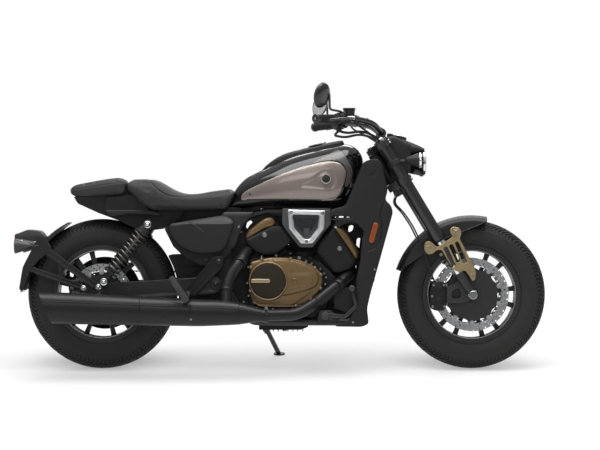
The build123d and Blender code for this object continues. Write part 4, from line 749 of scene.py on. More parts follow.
def sculpted(outline, surface, back, holes=(), cut=6.0, edge=2.5, spacing=9.0, finish=0, side=-1, steps=4,
             lines=()):
    """Moulded or cast piece on an outline of (x, z) points. surface(x, z, d) is how far its outer face stands
    from the centre plane at a distance d from its edge. Over the last `edge` millimetres the face rolls off
    in a quarter circle, and back is where its inner face stands. side is -1 on the right and 1 on the left.
    lines are where the face has a groove or a ridge."""
    rims = [softened(line, cut, steps) for line in (outline, *holes)]
    rings = []
    for number, rim in enumerate(rims):
        rings += [inset(rim, (edge if number == 0 else -edge) * share) for share in (0.0, 0.12, 0.45, 1.0)]
    low, high = rims[0].min(0), rims[0].max(0)
    grid = np.stack(np.meshgrid(np.arange(low[0], high[0], spacing), np.arange(low[1], high[1], spacing)), -1)
    grid[1::2, :, 0] += spacing / 2
    grid = grid.reshape(-1, 2)
    inside = within(grid, rims[0]) & (rim_distance(grid, rims) > edge + spacing * 0.35)
    for line in lines:
        inside &= line_distance(grid[:, 0], grid[:, 1], line) > 5
    grid = np.concatenate([grid[inside]] + [track(line, spacing) for line in lines])
    inside = within(grid, rims[0]) & (rim_distance(grid, rims) > edge * 1.2)
    for rim in rims[1:]:
        inside &= ~within(grid, rim)
    points = np.concatenate(rings + [grid[inside]])
    starts = np.cumsum([0] + [len(ring) for ring in rings])[:-1]
    sides = [(int(start + i), int(start + (i + 1) % len(ring))) for start, ring in zip(starts, rings)
             for i in range(len(ring))]
    verts, _, faces, *_ = delaunay_2d_cdt([Vector(p) for p in points], sides, [], 0, 1e-4)
    flat = np.array([tuple(v) for v in verts])
    faces = np.array([tuple(f) for f in faces if len(f) == 3])
    middle = flat[faces].mean(1)
    keep = within(middle, rims[0])
    for rim in rims[1:]:
        keep &= ~within(middle, rim)
    faces = faces[keep]
    d = rim_distance(flat, rims)
    roll = edge - np.sqrt(np.maximum(edge ** 2 - np.maximum(edge - d, 0) ** 2, 0))
    outer = surface(flat[:, 0], flat[:, 1], d) - roll
    inner = np.broadcast_to(back(flat[:, 0], flat[:, 1]) if callable(back) else back, outer.shape)
    ring_sides = np.concatenate([faces[:, [0, 1]], faces[:, [1, 2]], faces[:, [2, 0]]])
    _, which, count = np.unique(np.sort(ring_sides, 1), axis=0, return_inverse=True, return_counts=True)
    edge_sides = ring_sides[count[which.ravel()] == 1]
    total = len(flat)
    walls = np.column_stack([edge_sides, edge_sides[:, ::-1] + total]).tolist()
    shell = np.concatenate([np.column_stack([flat[:, 0], side * outer, flat[:, 1]]),
                            np.column_stack([flat[:, 0], side * inner, flat[:, 1]])])
    return shell, faces.tolist() + (faces[:, ::-1] + total).tolist() + walls, finish


def ribbon(line, radius, around=10, closed=True, finish=0):
    """Round bead along a line of points, each section square to the line. radius is one or one a point."""
    line = np.asarray(line, float)
    if closed:
        way = np.roll(line, -1, 0) - np.roll(line, 1, 0)
    else:
        way = np.gradient(line, axis=0)
    way /= np.maximum(np.linalg.norm(way, axis=1, keepdims=True), 1e-9)
    start = np.cross(way[0], (0.31, 0.87, 0.38))
    sides = [start / np.linalg.norm(start)]
    for step in way[1:]:
        turned_side = sides[-1] - step * (sides[-1] @ step)
        sides.append(turned_side / np.linalg.norm(turned_side))
    sides = np.array(sides)
    other = np.cross(way, sides)
    turn = np.linspace(0, 2 * pi, around, endpoint=False)[None, :, None]
    reach = np.broadcast_to(np.asarray(radius, float), len(line))[:, None, None]
    grid = line[:, None] + reach * (np.cos(turn) * sides[:, None] + np.sin(turn) * other[:, None])
    if closed:
        return (*skin(grid, True, True), finish)
    return beam(grid, finish)


PANEL = [(598, 729), (610, 757), (640, 774), (692, 799), (769, 834), (854, 864), (939, 885), (982, 891),
         (1016, 887), (1042, 868), (1051, 846), (1042, 804), (1025, 761), (1008, 735), (986, 727)]
BOSS = (965.0, 817.0)
RELIEF = [(846, 786), (905, 811), (932, 842), (962, 858), (996, 848), (1010, 816), (1000, 784), (986, 771),
          (930, 776)]
FACET = [(890, 878), (966, 919), (1016, 944), (1034, 934), (1060, 898), (1077, 864), (1080, 842), (1070, 806),
         (1052, 778), (1046, 792), (1056, 842), (1048, 872), (1020, 893), (984, 897), (938, 891)]

taupe = Finish("lacquer_taupe", Metallic=0.55, Coat_Weight=1.0, Coat_Roughness=0.06)
flake = taupe.node("ShaderNodeTexVoronoi", {}, {"Vector": taupe.place(), "Scale": 1500.0}, output="Color")
glint = taupe.node("ShaderNodeSeparateColor", {}, {0: flake})
sweep = taupe.noise(160, 2)
taupe.colour(taupe.mix(0.35 * glint + 0.4 * sweep, tone(118, 106, 100), tone(150, 137, 131)))
taupe.rough(0.30 + 0.14 * glint)
taupe.bump(taupe.noise(16, 2), 0.05)

edging = coated("panel_edging_pale", (30, 2), (168, 160, 150), (196, 188, 178), (0.22, 0.1), Metallic=0.9)

facet_grey = coated("tank_facet_grey", (90, 2), (58, 56, 55), (78, 75, 73), (0.34, 0.1), 0.04, (1.6, 2),
                    Specular_IOR_Level=0.5, Coat_Weight=0.5, Coat_Roughness=0.2)

relief_rim = softened(RELIEF, 24, 6)


def panel_face(x, z, d):
    """The tank's side, 3.6 mm out, with the relief pressed in 2.8 mm by a smooth step from its outline."""
    places = np.column_stack([x, z])
    reach = rim_distance(places, [relief_rim]) * np.where(within(places, relief_rim), 1, -1)
    step = np.clip(0.5 + reach / 12, 0, 1)
    return tank_side(x, z) + 3.6 - 2.8 * step * step * (3 - 2 * step)


panels = []
panel_rim = softened(PANEL, 16, 6)
for side in (-1, 1):
    panels.append(sculpted(PANEL, panel_face, lambda x, z: tank_side(x, z) - 4, cut=16, edge=2.5, spacing=6,
                           side=side, steps=6))
    edge_y = side * (tank_side(panel_rim[:, 0], panel_rim[:, 1]) + 1.8)
    panels += [ribbon(np.column_stack([panel_rim[:, 0], edge_y, panel_rim[:, 1]]), 1.5, finish=1),
               sculpted(FACET, lambda x, z, d: tank_side(x, z) + 1.6, lambda x, z: tank_side(x, z) - 4, cut=12,
                        edge=1.2, spacing=7, side=side, finish=3)]
    boss_y = side * float(tank_side(np.array([BOSS[0]]), np.array([BOSS[1]]))[0])
    out = np.array([0.10, side, 0.16])
    boss_spot = (BOSS[0], boss_y + side * 3.5, BOSS[1])
    panels += [lathe([(-3, 0), (-3, 22), (3, 22), (4.6, 20.6), (4.6, 18.4), (3.4, 17.6), (3.4, 0)], boss_spot,
                     out, 48, 1),
               lathe([(0, 0), (0, 17.4), (3.8, 17.4), (5.2, 14), (5.6, 0)], boss_spot, out, 48, 2)]
    screw_y = side * (float(tank_side(np.array([640.0]), np.array([752.0]))[0]) + 1.5)
    panels.append(bolt((640, screw_y, 752), (0, side, 0.1), 5.0, 4.0, 2))
piece("tank_side_panels", panels, [taupe, edging, satin_plastic, facet_grey], "chassis", ["tank_panels"],
      sharp=32)

# ---------------------------------------------------------------- cylinders
# Two cast cylinders in a V with their heads, painted black, finned between a smooth foot and the head. A
# flat cover on each side of a head is held by one bright screw.
CRANK = (849.0, 368.0)
# columns: lean in degrees, shift, head start, cover start, cover end
BANKS = [(-31.0, -16.0, 206.0, 277.0, 313.0), (50.0, 3.0, 190.0, 256.0, 294.0)]


def bank_point(lean, shift, along, y, out):
    """Points in a cylinder's own frame, along and out from the crankshaft, turned to its lean."""
    turn = radians(lean)
    along = np.asarray(along, float) + shift
    return np.stack([CRANK[0] + along * cos(turn) + out * sin(turn), y + 0 * along,
                     CRANK[1] - along * sin(turn) + out * cos(turn)], -1)


def bank_block(lean, shift, low, high, half_along, half_y, corner, edge, finish=0):
    """Block on a cylinder's axis with rounded corners, its ends rolled in by the edge."""
    rows = []
    for out, pull in [(low, edge), (low + 0.4 * edge, 0.3 * edge), (low + edge, 0), (high - edge, 0),
                      (high - 0.4 * edge, 0.3 * edge), (high, edge)]:
        a, b = half_along - pull, half_y - pull
        plan = softened([(-a, -b), (a, -b), (a, b), (-a, b)], corner, 6)
        rows.append(bank_point(lean, shift, plan[:, 0], plan[:, 1], out))
    return beam(rows, finish)


engine_black = coated("engine_cast_black", (45, 3), (12, 12, 12), (20, 20, 20), (0.42, 0.18), 0.14, (1.4, 3),
                      True, soften=1.5, Specular_IOR_Level=0.32)

bare_steel = coated("bright_screw_steel", (5, 3), (150, 151, 152), (188, 189, 190), (0.22, 0.14), 0.02,
                    Metallic=1.0)


def level(y):
    """A face that stands at one distance from the centre plane."""
    return lambda x, z, d: y + 0 * x


def raised(y, lift, start, run):
    """A face that rises, or sinks, by a lift over a run of distance from its edge, beyond a start."""
    return lambda x, z, d: y + lift * np.clip((d - start) / run, 0, 1)


SIDE_COVERS = [[(620, 556), (630, 534), (662, 508), (700, 489), (752, 494), (813, 546), (817, 566), (780, 615),
                (736, 616), (624, 560)],
               [(935, 540), (990, 606), (1004, 602), (1082, 490), (1101, 466), (1080, 438), (1041, 420),
                (1002, 412), (980, 440), (922, 508)]]
cylinders = []
for lean, shift, head_start, cover_start, cover_end in BANKS:
    cylinders.append(bank_block(lean, shift, 92, head_start + 2, 62, 68, 26, 1))
    for fin in np.linspace(112, head_start - 10, 7):
        cylinders.append(bank_block(lean, shift, fin, fin + 3.2, 77, 83, 30, 1.2))
    cylinders.append(bank_block(lean, shift, head_start, cover_start + 1, 79, 86, 14, 3))
    for fin in np.linspace(head_start + 10, cover_start - 14, 4):
        cylinders.append(bank_block(lean, shift, fin, fin + 3, 83, 88, 14, 1.2))
for (lean, *_), outline in zip(BANKS, SIDE_COVERS):
    for side in (-1, 1):
        cylinders.append(sculpted(outline, raised(107.5, 4.0, 7, 2.5), 84, cut=16, edge=5,
                                  spacing=9, side=side))
for x, z in [(702, 577), (1024, 519)]:
    for side in (-1, 1):
        cylinders.append(lathe([(-2, 0), (-2, 10.5), (4.2, 10.5), (6, 8.8), (6, 5), (3, 4.4), (3, 0)],
                               (x, side * 111, z), (0, side, 0), 32, 1))
piece("cylinder_banks", cylinders, [engine_black, bare_steel], "chassis", ["cylinders"],
      even=True)

# ---------------------------------------------------------------- crankcase
# Split cast case with the gearbox behind it, painted black. Screws close its flanges, the oil filter is
# screwed into the front, and the belt's front pulley is on the left.
def dress(finish, *names):
    """Gives CAD pieces their finish in place of the plain one."""
    for name in names:
        slots = frame["nodes"][name].data.materials
        for number in range(len(slots)):
            slots[number] = finish.material


dress(engine_black, "crankcase")
case = [lathe([(-80, 0), (-80, 26), (-76, 33), (-60, 34.6), (6, 34.6), (11, 30), (11, 0)], (1006, 0, 318),
              (0, 1, 0), 44)]
for flute in range(14):
    turn = 2 * pi * flute / 14
    case.append(lathe([(-82, 0), (-82, 3), (-70, 4.5), (-58, 3), (-58, 0)],
                      (1006 + 32 * cos(turn), 0, 318 + 32 * sin(turn)), (0, 1, 0), 8))
# columns: x, z of each flange screw on the right
FLANGE = [(592, 512), (690, 482), (752, 488), (813, 496), (850, 478), (880, 465), (904, 455), (942, 431),
          (958, 412), (966, 395), (962, 366), (950, 334), (916, 296), (878, 268), (822, 262), (738, 262),
          (668, 266), (634, 318), (628, 371), (632, 440)]
for x, z in FLANGE[1:]:
    case += [lathe([(-12, 0), (-12, 8.5), (4, 8.5), (6, 6.5), (6, 0)], (x, -112, z), (0, -1, 0), 20),
             bolt((x, -117, z), (0, -1, 0), 4.0, 4, 1)]
for x, z, tint_number in [(850, 478, 1), (813, 498, 0), (897, 478, 0)]:
    case.append(lathe([(-6, 0), (-6, 7.5), (5, 7.5), (6.5, 6), (6.5, 4), (4, 3.6), (4, 0)], (x, -116, z),
                      (0, -1, 0), 24, tint_number))
for x in np.linspace(696, 866, 9):
    case.append(beam([[(x - 2, y, z) for y, z in [(-50, 168), (50, 168), (50, 161), (-50, 161)]],
                      [(x + 2, y, z) for y, z in [(-50, 168), (50, 168), (50, 161), (-50, 161)]]]))
case.append(lathe([(0, 0), (0, 11), (5, 10), (8, 9), (8, 0)], (790, 0, 168), (0, 0, -1), 6, 1))
rib_rows = [[(640, 262), (700, 224)], [(900, 224), (960, 262)], [(988, 330), (1004, 396)]]
for (x0, z0), (x1, z1) in rib_rows:
    for y in (-90, -45, 0, 45):
        case.append(ribbon(np.linspace((x0, y, z0), (x1, y, z1), 6), 4.0, 8, closed=False))
piece("crankcase_details", case, [engine_black, bare_steel], "chassis", even=True)

# ---------------------------------------------------------------- engine covers
# Die-cast covers in a bronze lacquer: the clutch cover on the right with its darker round lid and plain
# raised bar, the rocker covers over both heads, and the generator cover on the left, with the pulley cover
# behind it in black.
bronze = Finish("lacquer_bronze", Metallic=0.72, Coat_Weight=0.25, Coat_Roughness=0.3)
mottle = bronze.noise(26, 4)
speck = bronze.noise(0.9, 2)
bronze.colour(bronze.mix(mottle, tone(96, 76, 49), tone(126, 103, 69)))
bronze.rough(0.36 + 0.12 * speck + 0.06 * mottle)
bronze.bump(speck, 0.07, soften=1.5)

dark_bronze = Finish("lid_dark_bronze", Metallic=0.5)
brushed = dark_bronze.noise(3, 3, stretch=(1, 1, 6))
dark_bronze.colour(dark_bronze.mix(brushed, tone(34, 27, 18), tone(47, 38, 26)))
dark_bronze.rough(0.42 + 0.16 * brushed)
dark_bronze.bump(brushed, 0.04)

pale_bronze = coated("edge_pale_bronze", (4, 3), (158, 138, 108), (188, 170, 142), (0.28, 0.14), 0.03,
                     Metallic=0.8)

CLUTCH = [(641, 462), (690, 474), (732, 481), (800, 480), (856, 469), (906, 449), (938, 424), (951, 398),
          (950, 362), (940, 338), (910, 304), (872, 276), (822, 270), (744, 270), (676, 272), (648, 300),
          (638, 340), (636, 410)]
CLUTCH_CENTRE = (718.0, 381.0)
PLATEAU = softened([(732, 473), (816, 471), (876, 454), (906, 439), (929, 415), (935, 388), (924, 362),
                    (903, 347), (834, 328), (750, 312), (700, 340), (690, 420)], 20, 6)
LOWER_STEP = softened([(700, 312), (750, 310), (834, 326), (903, 346), (926, 359), (894, 328), (855, 301),
                       (822, 277), (732, 274), (668, 280), (652, 325)], 10, 5)


def stepped(x, z, rim, width):
    """0 outside an outline and 1 inside it, smooth over a width across its line."""
    places = np.column_stack([x, z])
    reach = rim_distance(places, [rim]) * np.where(within(places, rim), 1, -1)
    step = np.clip(0.5 + reach / width, 0, 1)
    return step * step * (3 - 2 * step), reach


def clutch_face(x, z, d):
    """Flange, lower step and plateau, each raised by a smooth step at its outline and crowned a little."""
    top, reach = stepped(x, z, PLATEAU, 7)
    low, low_reach = stepped(x, z, LOWER_STEP, 6)
    crown = 3.5 * (1 - np.exp(-np.maximum(reach, 0) / 22))
    scoop = 3.0 * np.exp(-(((x - 855) / 38) ** 2 + ((z - 420) / 11) ** 2))
    lift = 1.6 * np.exp(-(((x - 868) / 55) ** 2 + ((z - 352 - (x - 868) * 0.16) / 9) ** 2))
    low_rise = (3.5 + 3 * np.clip(low_reach / 30, 0, 1)) * low * (1 - top)
    return 143 + 5.0 * np.clip(d / 9, 0, 1) + 9.5 * top + crown * top + low_rise - scoop * top + lift * top


covers = [sculpted(CLUTCH, clutch_face, 108, cut=14, edge=4, spacing=4.2, steps=5)]
lid_x, lid_z = CLUTCH_CENTRE
covers += [lathe([(-20, 0), (-20, 84), (-2, 84), (2.5, 81.5), (4, 79), (2.5, 76.5), (0, 75.5), (0, 0)],
                 (lid_x, -160, lid_z), (0, -1, 0), 96),
           lathe([(-4, 0), (-4, 74.6), (2.0, 74.6), (3.4, 72.8), (4.2, 68), (4.6, 0)], (lid_x, -160.5, lid_z),
                 (0, -1, 0), 96, 1),
           ribbon(np.stack([lid_x + 79 * np.cos(np.linspace(0, 2 * pi, 96, endpoint=False)),
                            np.full(96, -163.6),
                            lid_z + 79 * np.sin(np.linspace(0, 2 * pi, 96, endpoint=False))], 1), 1.3,
                  finish=2)]
bar_rim = [(645, 373), (722, 373), (728, 379), (728, 384), (722, 390), (645, 390)]
covers += [sculpted(bar_rim, level(168.5), 160, cut=6, edge=2.4, spacing=6, finish=2),
           lathe([(-3, 0), (-3, 12), (1.2, 12), (2.2, 10.6), (2.2, 8.6), (0.8, 7.6), (0.8, 0)],
                 (832, -160.2, 381), (0, -1, 0), 40),
           sculpted([(719, 478), (738, 478), (738, 456), (719, 456)], level(163), 140, cut=2, edge=2, spacing=5,
                    finish=2)]
for x, z in [(690, 474), (813, 476), (878, 457), (917, 437), (943, 408), (738, 279), (660, 290), (836, 277),
             (900, 305), (941, 350), (644, 440), (641, 340)]:
    covers += [lathe([(-14, 0), (-14, 8), (4, 7.4), (4, 0)], (x, -144, z), (0, -1, 0), 20),
               bolt((x, -148, z), (0, -1, 0), 3.9, 3.4, 3)]

ROCKER_COVERS = [[(622, 556), (618, 580), (632, 600), (705, 651), (732, 655), (750, 640), (744, 618),
                  (736, 611), (700, 602)],
                 [(998, 604), (1010, 612), (1034, 613), (1056, 594), (1110, 504), (1106, 478), (1094, 468),
                  (1082, 480), (1072, 500)]]


def rocker_face(x, z, d):
    """Side of a rocker cover, crowned towards its middle, with a shallow step inside its edge."""
    return 100 + 3.5 * np.clip((d - 5) / 4, 0, 1) + 2.0 * np.clip(d / 16, 0, 1)


for (lean, shift, *_, cover_end), outline in zip(BANKS, ROCKER_COVERS):
    turn = radians(lean)
    for side in (-1, 1):
        covers.append(sculpted(outline, rocker_face, 0, cut=9, edge=7, spacing=6, side=side))
    for along in (-55, 45):
        for y in (-70, 70):
            covers.append(bolt(bank_point(lean, shift - 5, np.array(along), y, cover_end - 1),
                               (sin(turn), 0, cos(turn)), 5.5, 4, 4))
generator = lathe([(83, 0), (83, 96), (112, 96), (118, 92), (122, 84), (123, 76), (135, 73), (139, 66),
                   (140, 30), (137, 28), (137, 0)], (CRANK[0], 0, CRANK[1]), (0, 1, 0), 88)
covers += [generator,
           lathe([(134, 0), (134, 26), (139, 25), (140, 22), (140, 0)], (CRANK[0], 0, CRANK[1]), (0, 1, 0), 48,
                 1)]
for screw in range(8):
    turn = radians(45 * screw + 22)
    covers.append(bolt((CRANK[0] + 88 * cos(turn), 119, CRANK[1] + 88 * sin(turn)), (0, 1, 0), 5.5, 5, 3))
PULLEY_COVER = [(575, 330), (575, 400), (610, 438), (690, 440), (738, 420), (742, 340), (700, 300), (612, 300)]
covers.append(sculpted(PULLEY_COVER, raised(122, 5, 10, 8), 115, cut=18, edge=4, spacing=8,
                       side=1, finish=4))
for x, z in [(722, 412), (722, 330)]:
    covers += [lathe(drum(85, 117, 9), (x, 0, z), (0, 1, 0), 24, 4), bolt((x, 127, z), (0, 1, 0), 6, 5, 3)]
piece("engine_cover_set", covers, [bronze, dark_bronze, pale_bronze, bare_steel, engine_black], "chassis",
      ["engine_covers"], sharp=34)

# ---------------------------------------------------------------- intake housing
# Moulded air box between the cylinders, with a cast aluminium surround on each side, three screws, and a
# grey well that steps in to a dark mesh.
INTAKE = [(777, 692), (986, 692), (986, 624), (958, 592), (908, 524), (852, 524), (800, 590), (777, 624)]
RING = [(801, 687), (964, 683), (957, 604), (907, 539), (857, 539), (806, 604)]
WELL = [(822, 664), (936, 662), (929, 606), (893, 560), (873, 560), (832, 604)]
DARK = [(846, 650), (918, 648), (906, 600), (892, 584), (872, 584), (856, 602)]

housing_grey = coated("housing_grey_plastic", (40, 3), (52, 53, 55), (72, 73, 75), (0.50, 0.12), 0.08, (1.2, 2),
                      True, soften=1.5, Specular_IOR_Level=0.45)

satin_aluminium = coated("cast_aluminium_satin", (30, 3), (186, 187, 189), (222, 223, 225), (0.30, 0.14), 0.05,
                         (1.3, 3), True, Metallic=0.9)

mesh_dark = Finish("filter_mesh_dark", Specular_IOR_Level=0.4)
cells = mesh_dark.node("ShaderNodeTexVoronoi", {"feature": "DISTANCE_TO_EDGE"},
                       {"Vector": mesh_dark.place(), "Scale": 260.0})
mesh_dark.colour(mesh_dark.mix(mesh_dark.ramp(cells, 0.03, 0.10), tone(58, 59, 60), tone(22, 23, 24)))
mesh_dark.rough(0.55 + 0.1 * cells)
mesh_dark.bump(cells, 0.8)

intake = []
for side in (-1, 1):
    intake += [sculpted(INTAKE, raised(124, 5, 8, 5), 0, holes=[WELL], cut=7, edge=4, spacing=10, side=side),
               sculpted(RING, raised(138, 5.5, 0, 7), 126, holes=[WELL], cut=5, edge=2.2, spacing=6, side=side,
                        finish=1)]
    # the wall slopes in from the surround's inner edge to the mesh, 26 mm deeper at the dark outline
    intake += [sculpted(WELL, raised(135, -26, 0, 18), 70, cut=5, edge=0.5, spacing=5, side=side),
               sculpted(DARK, level(110.5), 80, cut=5, edge=1, spacing=8, side=side, finish=2),
               sculpted([(868, 606), (896, 606), (894, 570), (872, 570)], level(122), 90, cut=3, edge=1.5,
                        spacing=6, side=side)]
    for x, z in [(816, 674), (950, 671), (882, 550)]:
        intake += [lathe([(-2, 0), (-2, 7), (1.2, 7), (1.8, 6), (1.8, 4.6), (-0.4, 4.2), (-0.4, 0)],
                         (x, side * 143.2, z), (0, side, 0), 24),
                   bolt((x, side * 142.4, z), (0, side, 0), 3.8, 2.4, 3)]
piece("intake_surround", intake, [housing_grey, satin_aluminium, mesh_dark, bare_steel], "chassis",
      ["intake_housing"], sharp=34)

# ---------------------------------------------------------------- exhaust
# Mild steel header pipes and a long slash-cut silencer, sprayed satin black. Clamps join them low on the
# right, and the silencer's end shows the bare cut edge of its sleeve.
exhaust_black = coated("exhaust_satin_black", (80, 4), (19, 19, 20), (29, 29, 30), (0.36, 0.14), 0.05, (0.9, 2),
                       True, Specular_IOR_Level=0.25, Coat_Weight=0.12, Coat_Roughness=0.16)

inner_dark = coated("exhaust_inside", (12, 3), (14, 13, 12), (34, 31, 28), (0.75, 0.15), Specular_IOR_Level=0.3)


def block(outline, y_low, y_high, edge=2.0, cut=5.0, finish=0):
    """Bevelled slab on an outline of (x, z) points, all of whose edge is in sight of its middle."""
    rim = softened(outline, cut, 4)
    rows = []
    for pull, y in [(1, y_low), (0.3, y_low + 0.3 * edge), (0, y_low + edge), (0, y_high - edge),
                    (0.3, y_high - 0.3 * edge), (1, y_high)]:
        ring = inset(rim, edge * pull)
        rows.append(np.column_stack([ring[:, 0], 0 * ring[:, 0] + y, ring[:, 1]]))
    return beam(rows, finish)


MUFFLER_Y = -228.0


def pipe(points, radius, cut, finish=0, around=32, steps=14):
    """Bent tube: a round bead along straight runs whose corners are eased."""
    return ribbon(softened(points, cut, steps, closed=False), radius, around, False, finish)


headers = [pipe([(1062, -20, 458), (1076, -60, 418), (1020, -130, 366), (918, -162, 284), (840, -176, 238),
                 (700, -226, 237), (660, -228, 237)], 25, 90),
           pipe([(662, -44, 523), (622, -100, 506), (600, -168, 462), (560, -186, 408), (541, -208, 350),
                 (539, -228, 262)], 25, 70)]
for start, end, radius in [((1030, -116, 373), (1012, -138, 358), 27.5),
                           ((938, -156, 300), (926, -160, 290), 26.4),
                           ((603, -160, 468), (598, -172, 456), 27.5),
                           ((541, -208, 352), (540, -212, 340), 26.4)]:
    way = np.array(end, float) - np.array(start, float)
    reach = np.linalg.norm(way)
    headers.append(lathe([(0, 0), (0, radius - 2), (2, radius), (reach - 2, radius), (reach, radius - 2),
                          (reach, 0)], start, way, 40))
clamp_way = np.array([-1.0, -0.02, 0.0])
headers += [lathe([(0, 0), (0, 28), (1, 30), (21, 30), (22, 28), (22, 0)], (722, -223, 237), clamp_way, 44),
            lathe(drum(-14, 14, 4.6), (711, -232, 268), (0, 1, 0), 12, 1),
            bolt((711, -246, 268), (0, -1, 0), 7, 7, 1)]
piece("header_pipe_pair", headers, [exhaust_black, bare_steel], "chassis", ["header_pipes"],
      sharp=45)

# columns: x, low z, high z, half width
MUFFLER = [(-250, 204, 338, 58), (-60, 199, 330, 58), (176, 195, 318, 57), (346, 192, 310, 56),
           (430, 191, 305, 55), (515, 194, 302, 51), (600, 199, 290, 44), (650, 206, 276, 36),
           (693, 212, 263, 27)]
silencer = []
turn = np.linspace(0, 2 * pi, 72, endpoint=False)[None]
across = np.sign(np.cos(turn)) * np.abs(np.cos(turn)) ** 0.86
rise = np.sign(np.sin(turn)) * np.abs(np.sin(turn)) ** 0.86


def sleeve(x, low, high, half, grow=0.0):
    """Rows of the silencer's section: a slightly square ellipse, grown by `grow` all round."""
    y = MUFFLER_Y + (half + grow)[:, None] * across
    z = ((low + high) / 2)[:, None] + ((high - low) / 2 + grow)[:, None] * rise
    return np.stack([x[:, None] + 0 * y, y, z], -1)


CUT_LOW, CUT_HIGH = (-196.0, 204.0), (-249.0, 331.0)


def slashed(rows, back=0.0):
    """Rows of a sleeve whose rear end lies on the slanted cut: x at least the cut's at that height."""
    rows = rows.copy()
    share = np.clip((rows[..., 2] - CUT_LOW[1]) / (CUT_HIGH[1] - CUT_LOW[1]), 0, 1)
    rows[..., 0] = np.maximum(rows[..., 0], CUT_LOW[0] + (CUT_HIGH[0] - CUT_LOW[0]) * share + back)
    return rows


rear = np.concatenate([np.linspace(-250, -190, 13), np.linspace(-180, 692, 64)])
low, high, half = smooth(MUFFLER, rear).T
outer = slashed(sleeve(rear, low, high, half))
lip, throat = [slashed(sleeve(rear[:1], low[:1], high[:1], half[:1], grow), back) for grow, back in
               [(-5.0, 0.0), (-6.0, 8.0)]]
deep = throat.copy()
deep[..., 0] += 110
closed_end = deep.mean(1, keepdims=True) + 0 * deep
tip = np.repeat(outer[-1].mean(0)[None], outer.shape[1], 0)[None]
silencer += [skin(np.concatenate([outer, tip]), close_columns=True),
             (*skin(np.concatenate([outer[:1], lip]), close_columns=True), 1),
             (*skin(np.concatenate([lip, throat, deep, closed_end]), close_columns=True), 2)]
for x in (177.0, 596.0):
    low, high, half = smooth(MUFFLER, np.array([x])).T
    ring = sleeve(np.array([x]), low, high, half, 0.2)[0]
    silencer.append(ribbon(ring, 2.0))
seam_x = np.linspace(-238, 640, 60)
low, high, half = smooth(MUFFLER, seam_x).T
silencer += [ribbon(np.column_stack([seam_x, MUFFLER_Y - half * 0.955,
                                     (low + high) / 2 + (high - low) * 0.215]), 1.3, 8, False),
             lathe([(-6, 0), (-6, 14), (1.2, 14), (1.2, 11), (-0.5, 10), (-0.5, 0)],
                   (275, MUFFLER_Y - 55.4, 244), (0, -1, 0), 36, 3),
             block([(389, 238), (389, 286), (394, 286), (394, 238)], MUFFLER_Y - 56.4, MUFFLER_Y - 46, 0.8, 2,
                   3),
             bolt((394, MUFFLER_Y - 49, 222), (0, -0.93, -0.37), 4, 3, 1),
             lathe([(-6, 0), (-6, 30), (12, 26), (12, 0)], (700, -228, 237), (-1, 0, 0), 40)]
piece("silencer", silencer, [exhaust_black, bare_steel, inner_dark, engine_black], "chassis", ["muffler"],
      sharp=40)

# ---------------------------------------------------------------- fork
# Upside-down fork: black outer tubes clamped in two yokes, chromed sliders below, and cast feet that hold
# the axle. The pale bronze casting clamped round each slider carries the mudguard.
RAKE = radians(31.0)
FORK_HALF = 105.0


def fork_place(ahead, y, height):
    """Points given ahead of the fork legs and up along them from the front axle, turned to the rake."""
    ahead, height = np.asarray(ahead, float), np.asarray(height, float)
    return np.stack([FRONT_AXLE[0] + ahead * cos(RAKE) - height * sin(RAKE), y + 0 * ahead * height,
                     FRONT_AXLE[1] + ahead * sin(RAKE) + height * cos(RAKE)], -1)


FORK_WAY = np.array([-sin(RAKE), 0.0, cos(RAKE)])
fork_black = coated("fork_satin_black", (50, 3), (15, 15, 16), (25, 25, 26), (0.32, 0.12), 0.05, (1.2, 2),
                    soften=1.5, Coat_Weight=0.4, Coat_Roughness=0.25)

foot_grey = coated("fork_foot_grey", (24, 3), (38, 38, 40), (56, 56, 58), (0.42, 0.14), 0.06, (1.0, 2), True,
                   Metallic=0.3)

tubes, feet, brackets = [], [], []
BRACKET = [(1385, 530), (1391, 548), (1409, 552), (1424, 541), (1440, 526), (1452, 530), (1466, 543),
           (1498, 562), (1508, 572), (1496, 588), (1498, 606), (1512, 614), (1538, 607), (1547, 588),
           (1538, 561), (1556, 527), (1600, 439), (1608, 417), (1604, 386), (1592, 379), (1577, 404),
           (1562, 424), (1522, 421), (1509, 432), (1459, 514), (1436, 511), (1427, 498), (1403, 493),
           (1388, 507)]
WINDOWS = [[(1467, 523), (1483, 529), (1521, 447), (1508, 437)],
           [(1491, 533), (1507, 539), (1541, 467), (1527, 456)],
           [(1516, 545), (1530, 551), (1571, 462), (1553, 452)]]
REAR_EYE, TOP_EYE, LOW_EYE = (1403, 522), (1522, 592), (1592, 404)


def bracket_face(x, z, d):
    """The casting's flat face, lower on the arms away from the clamp, with ribs raised along its long sides."""
    along = np.abs((x - 1519) * cos(RAKE) + (z - 483) * sin(RAKE))
    return 129.0 - 5.0 * np.clip((along - 40) / 14, 0, 1) + 1.2 * np.clip((7 - d) / 3, 0, 1)


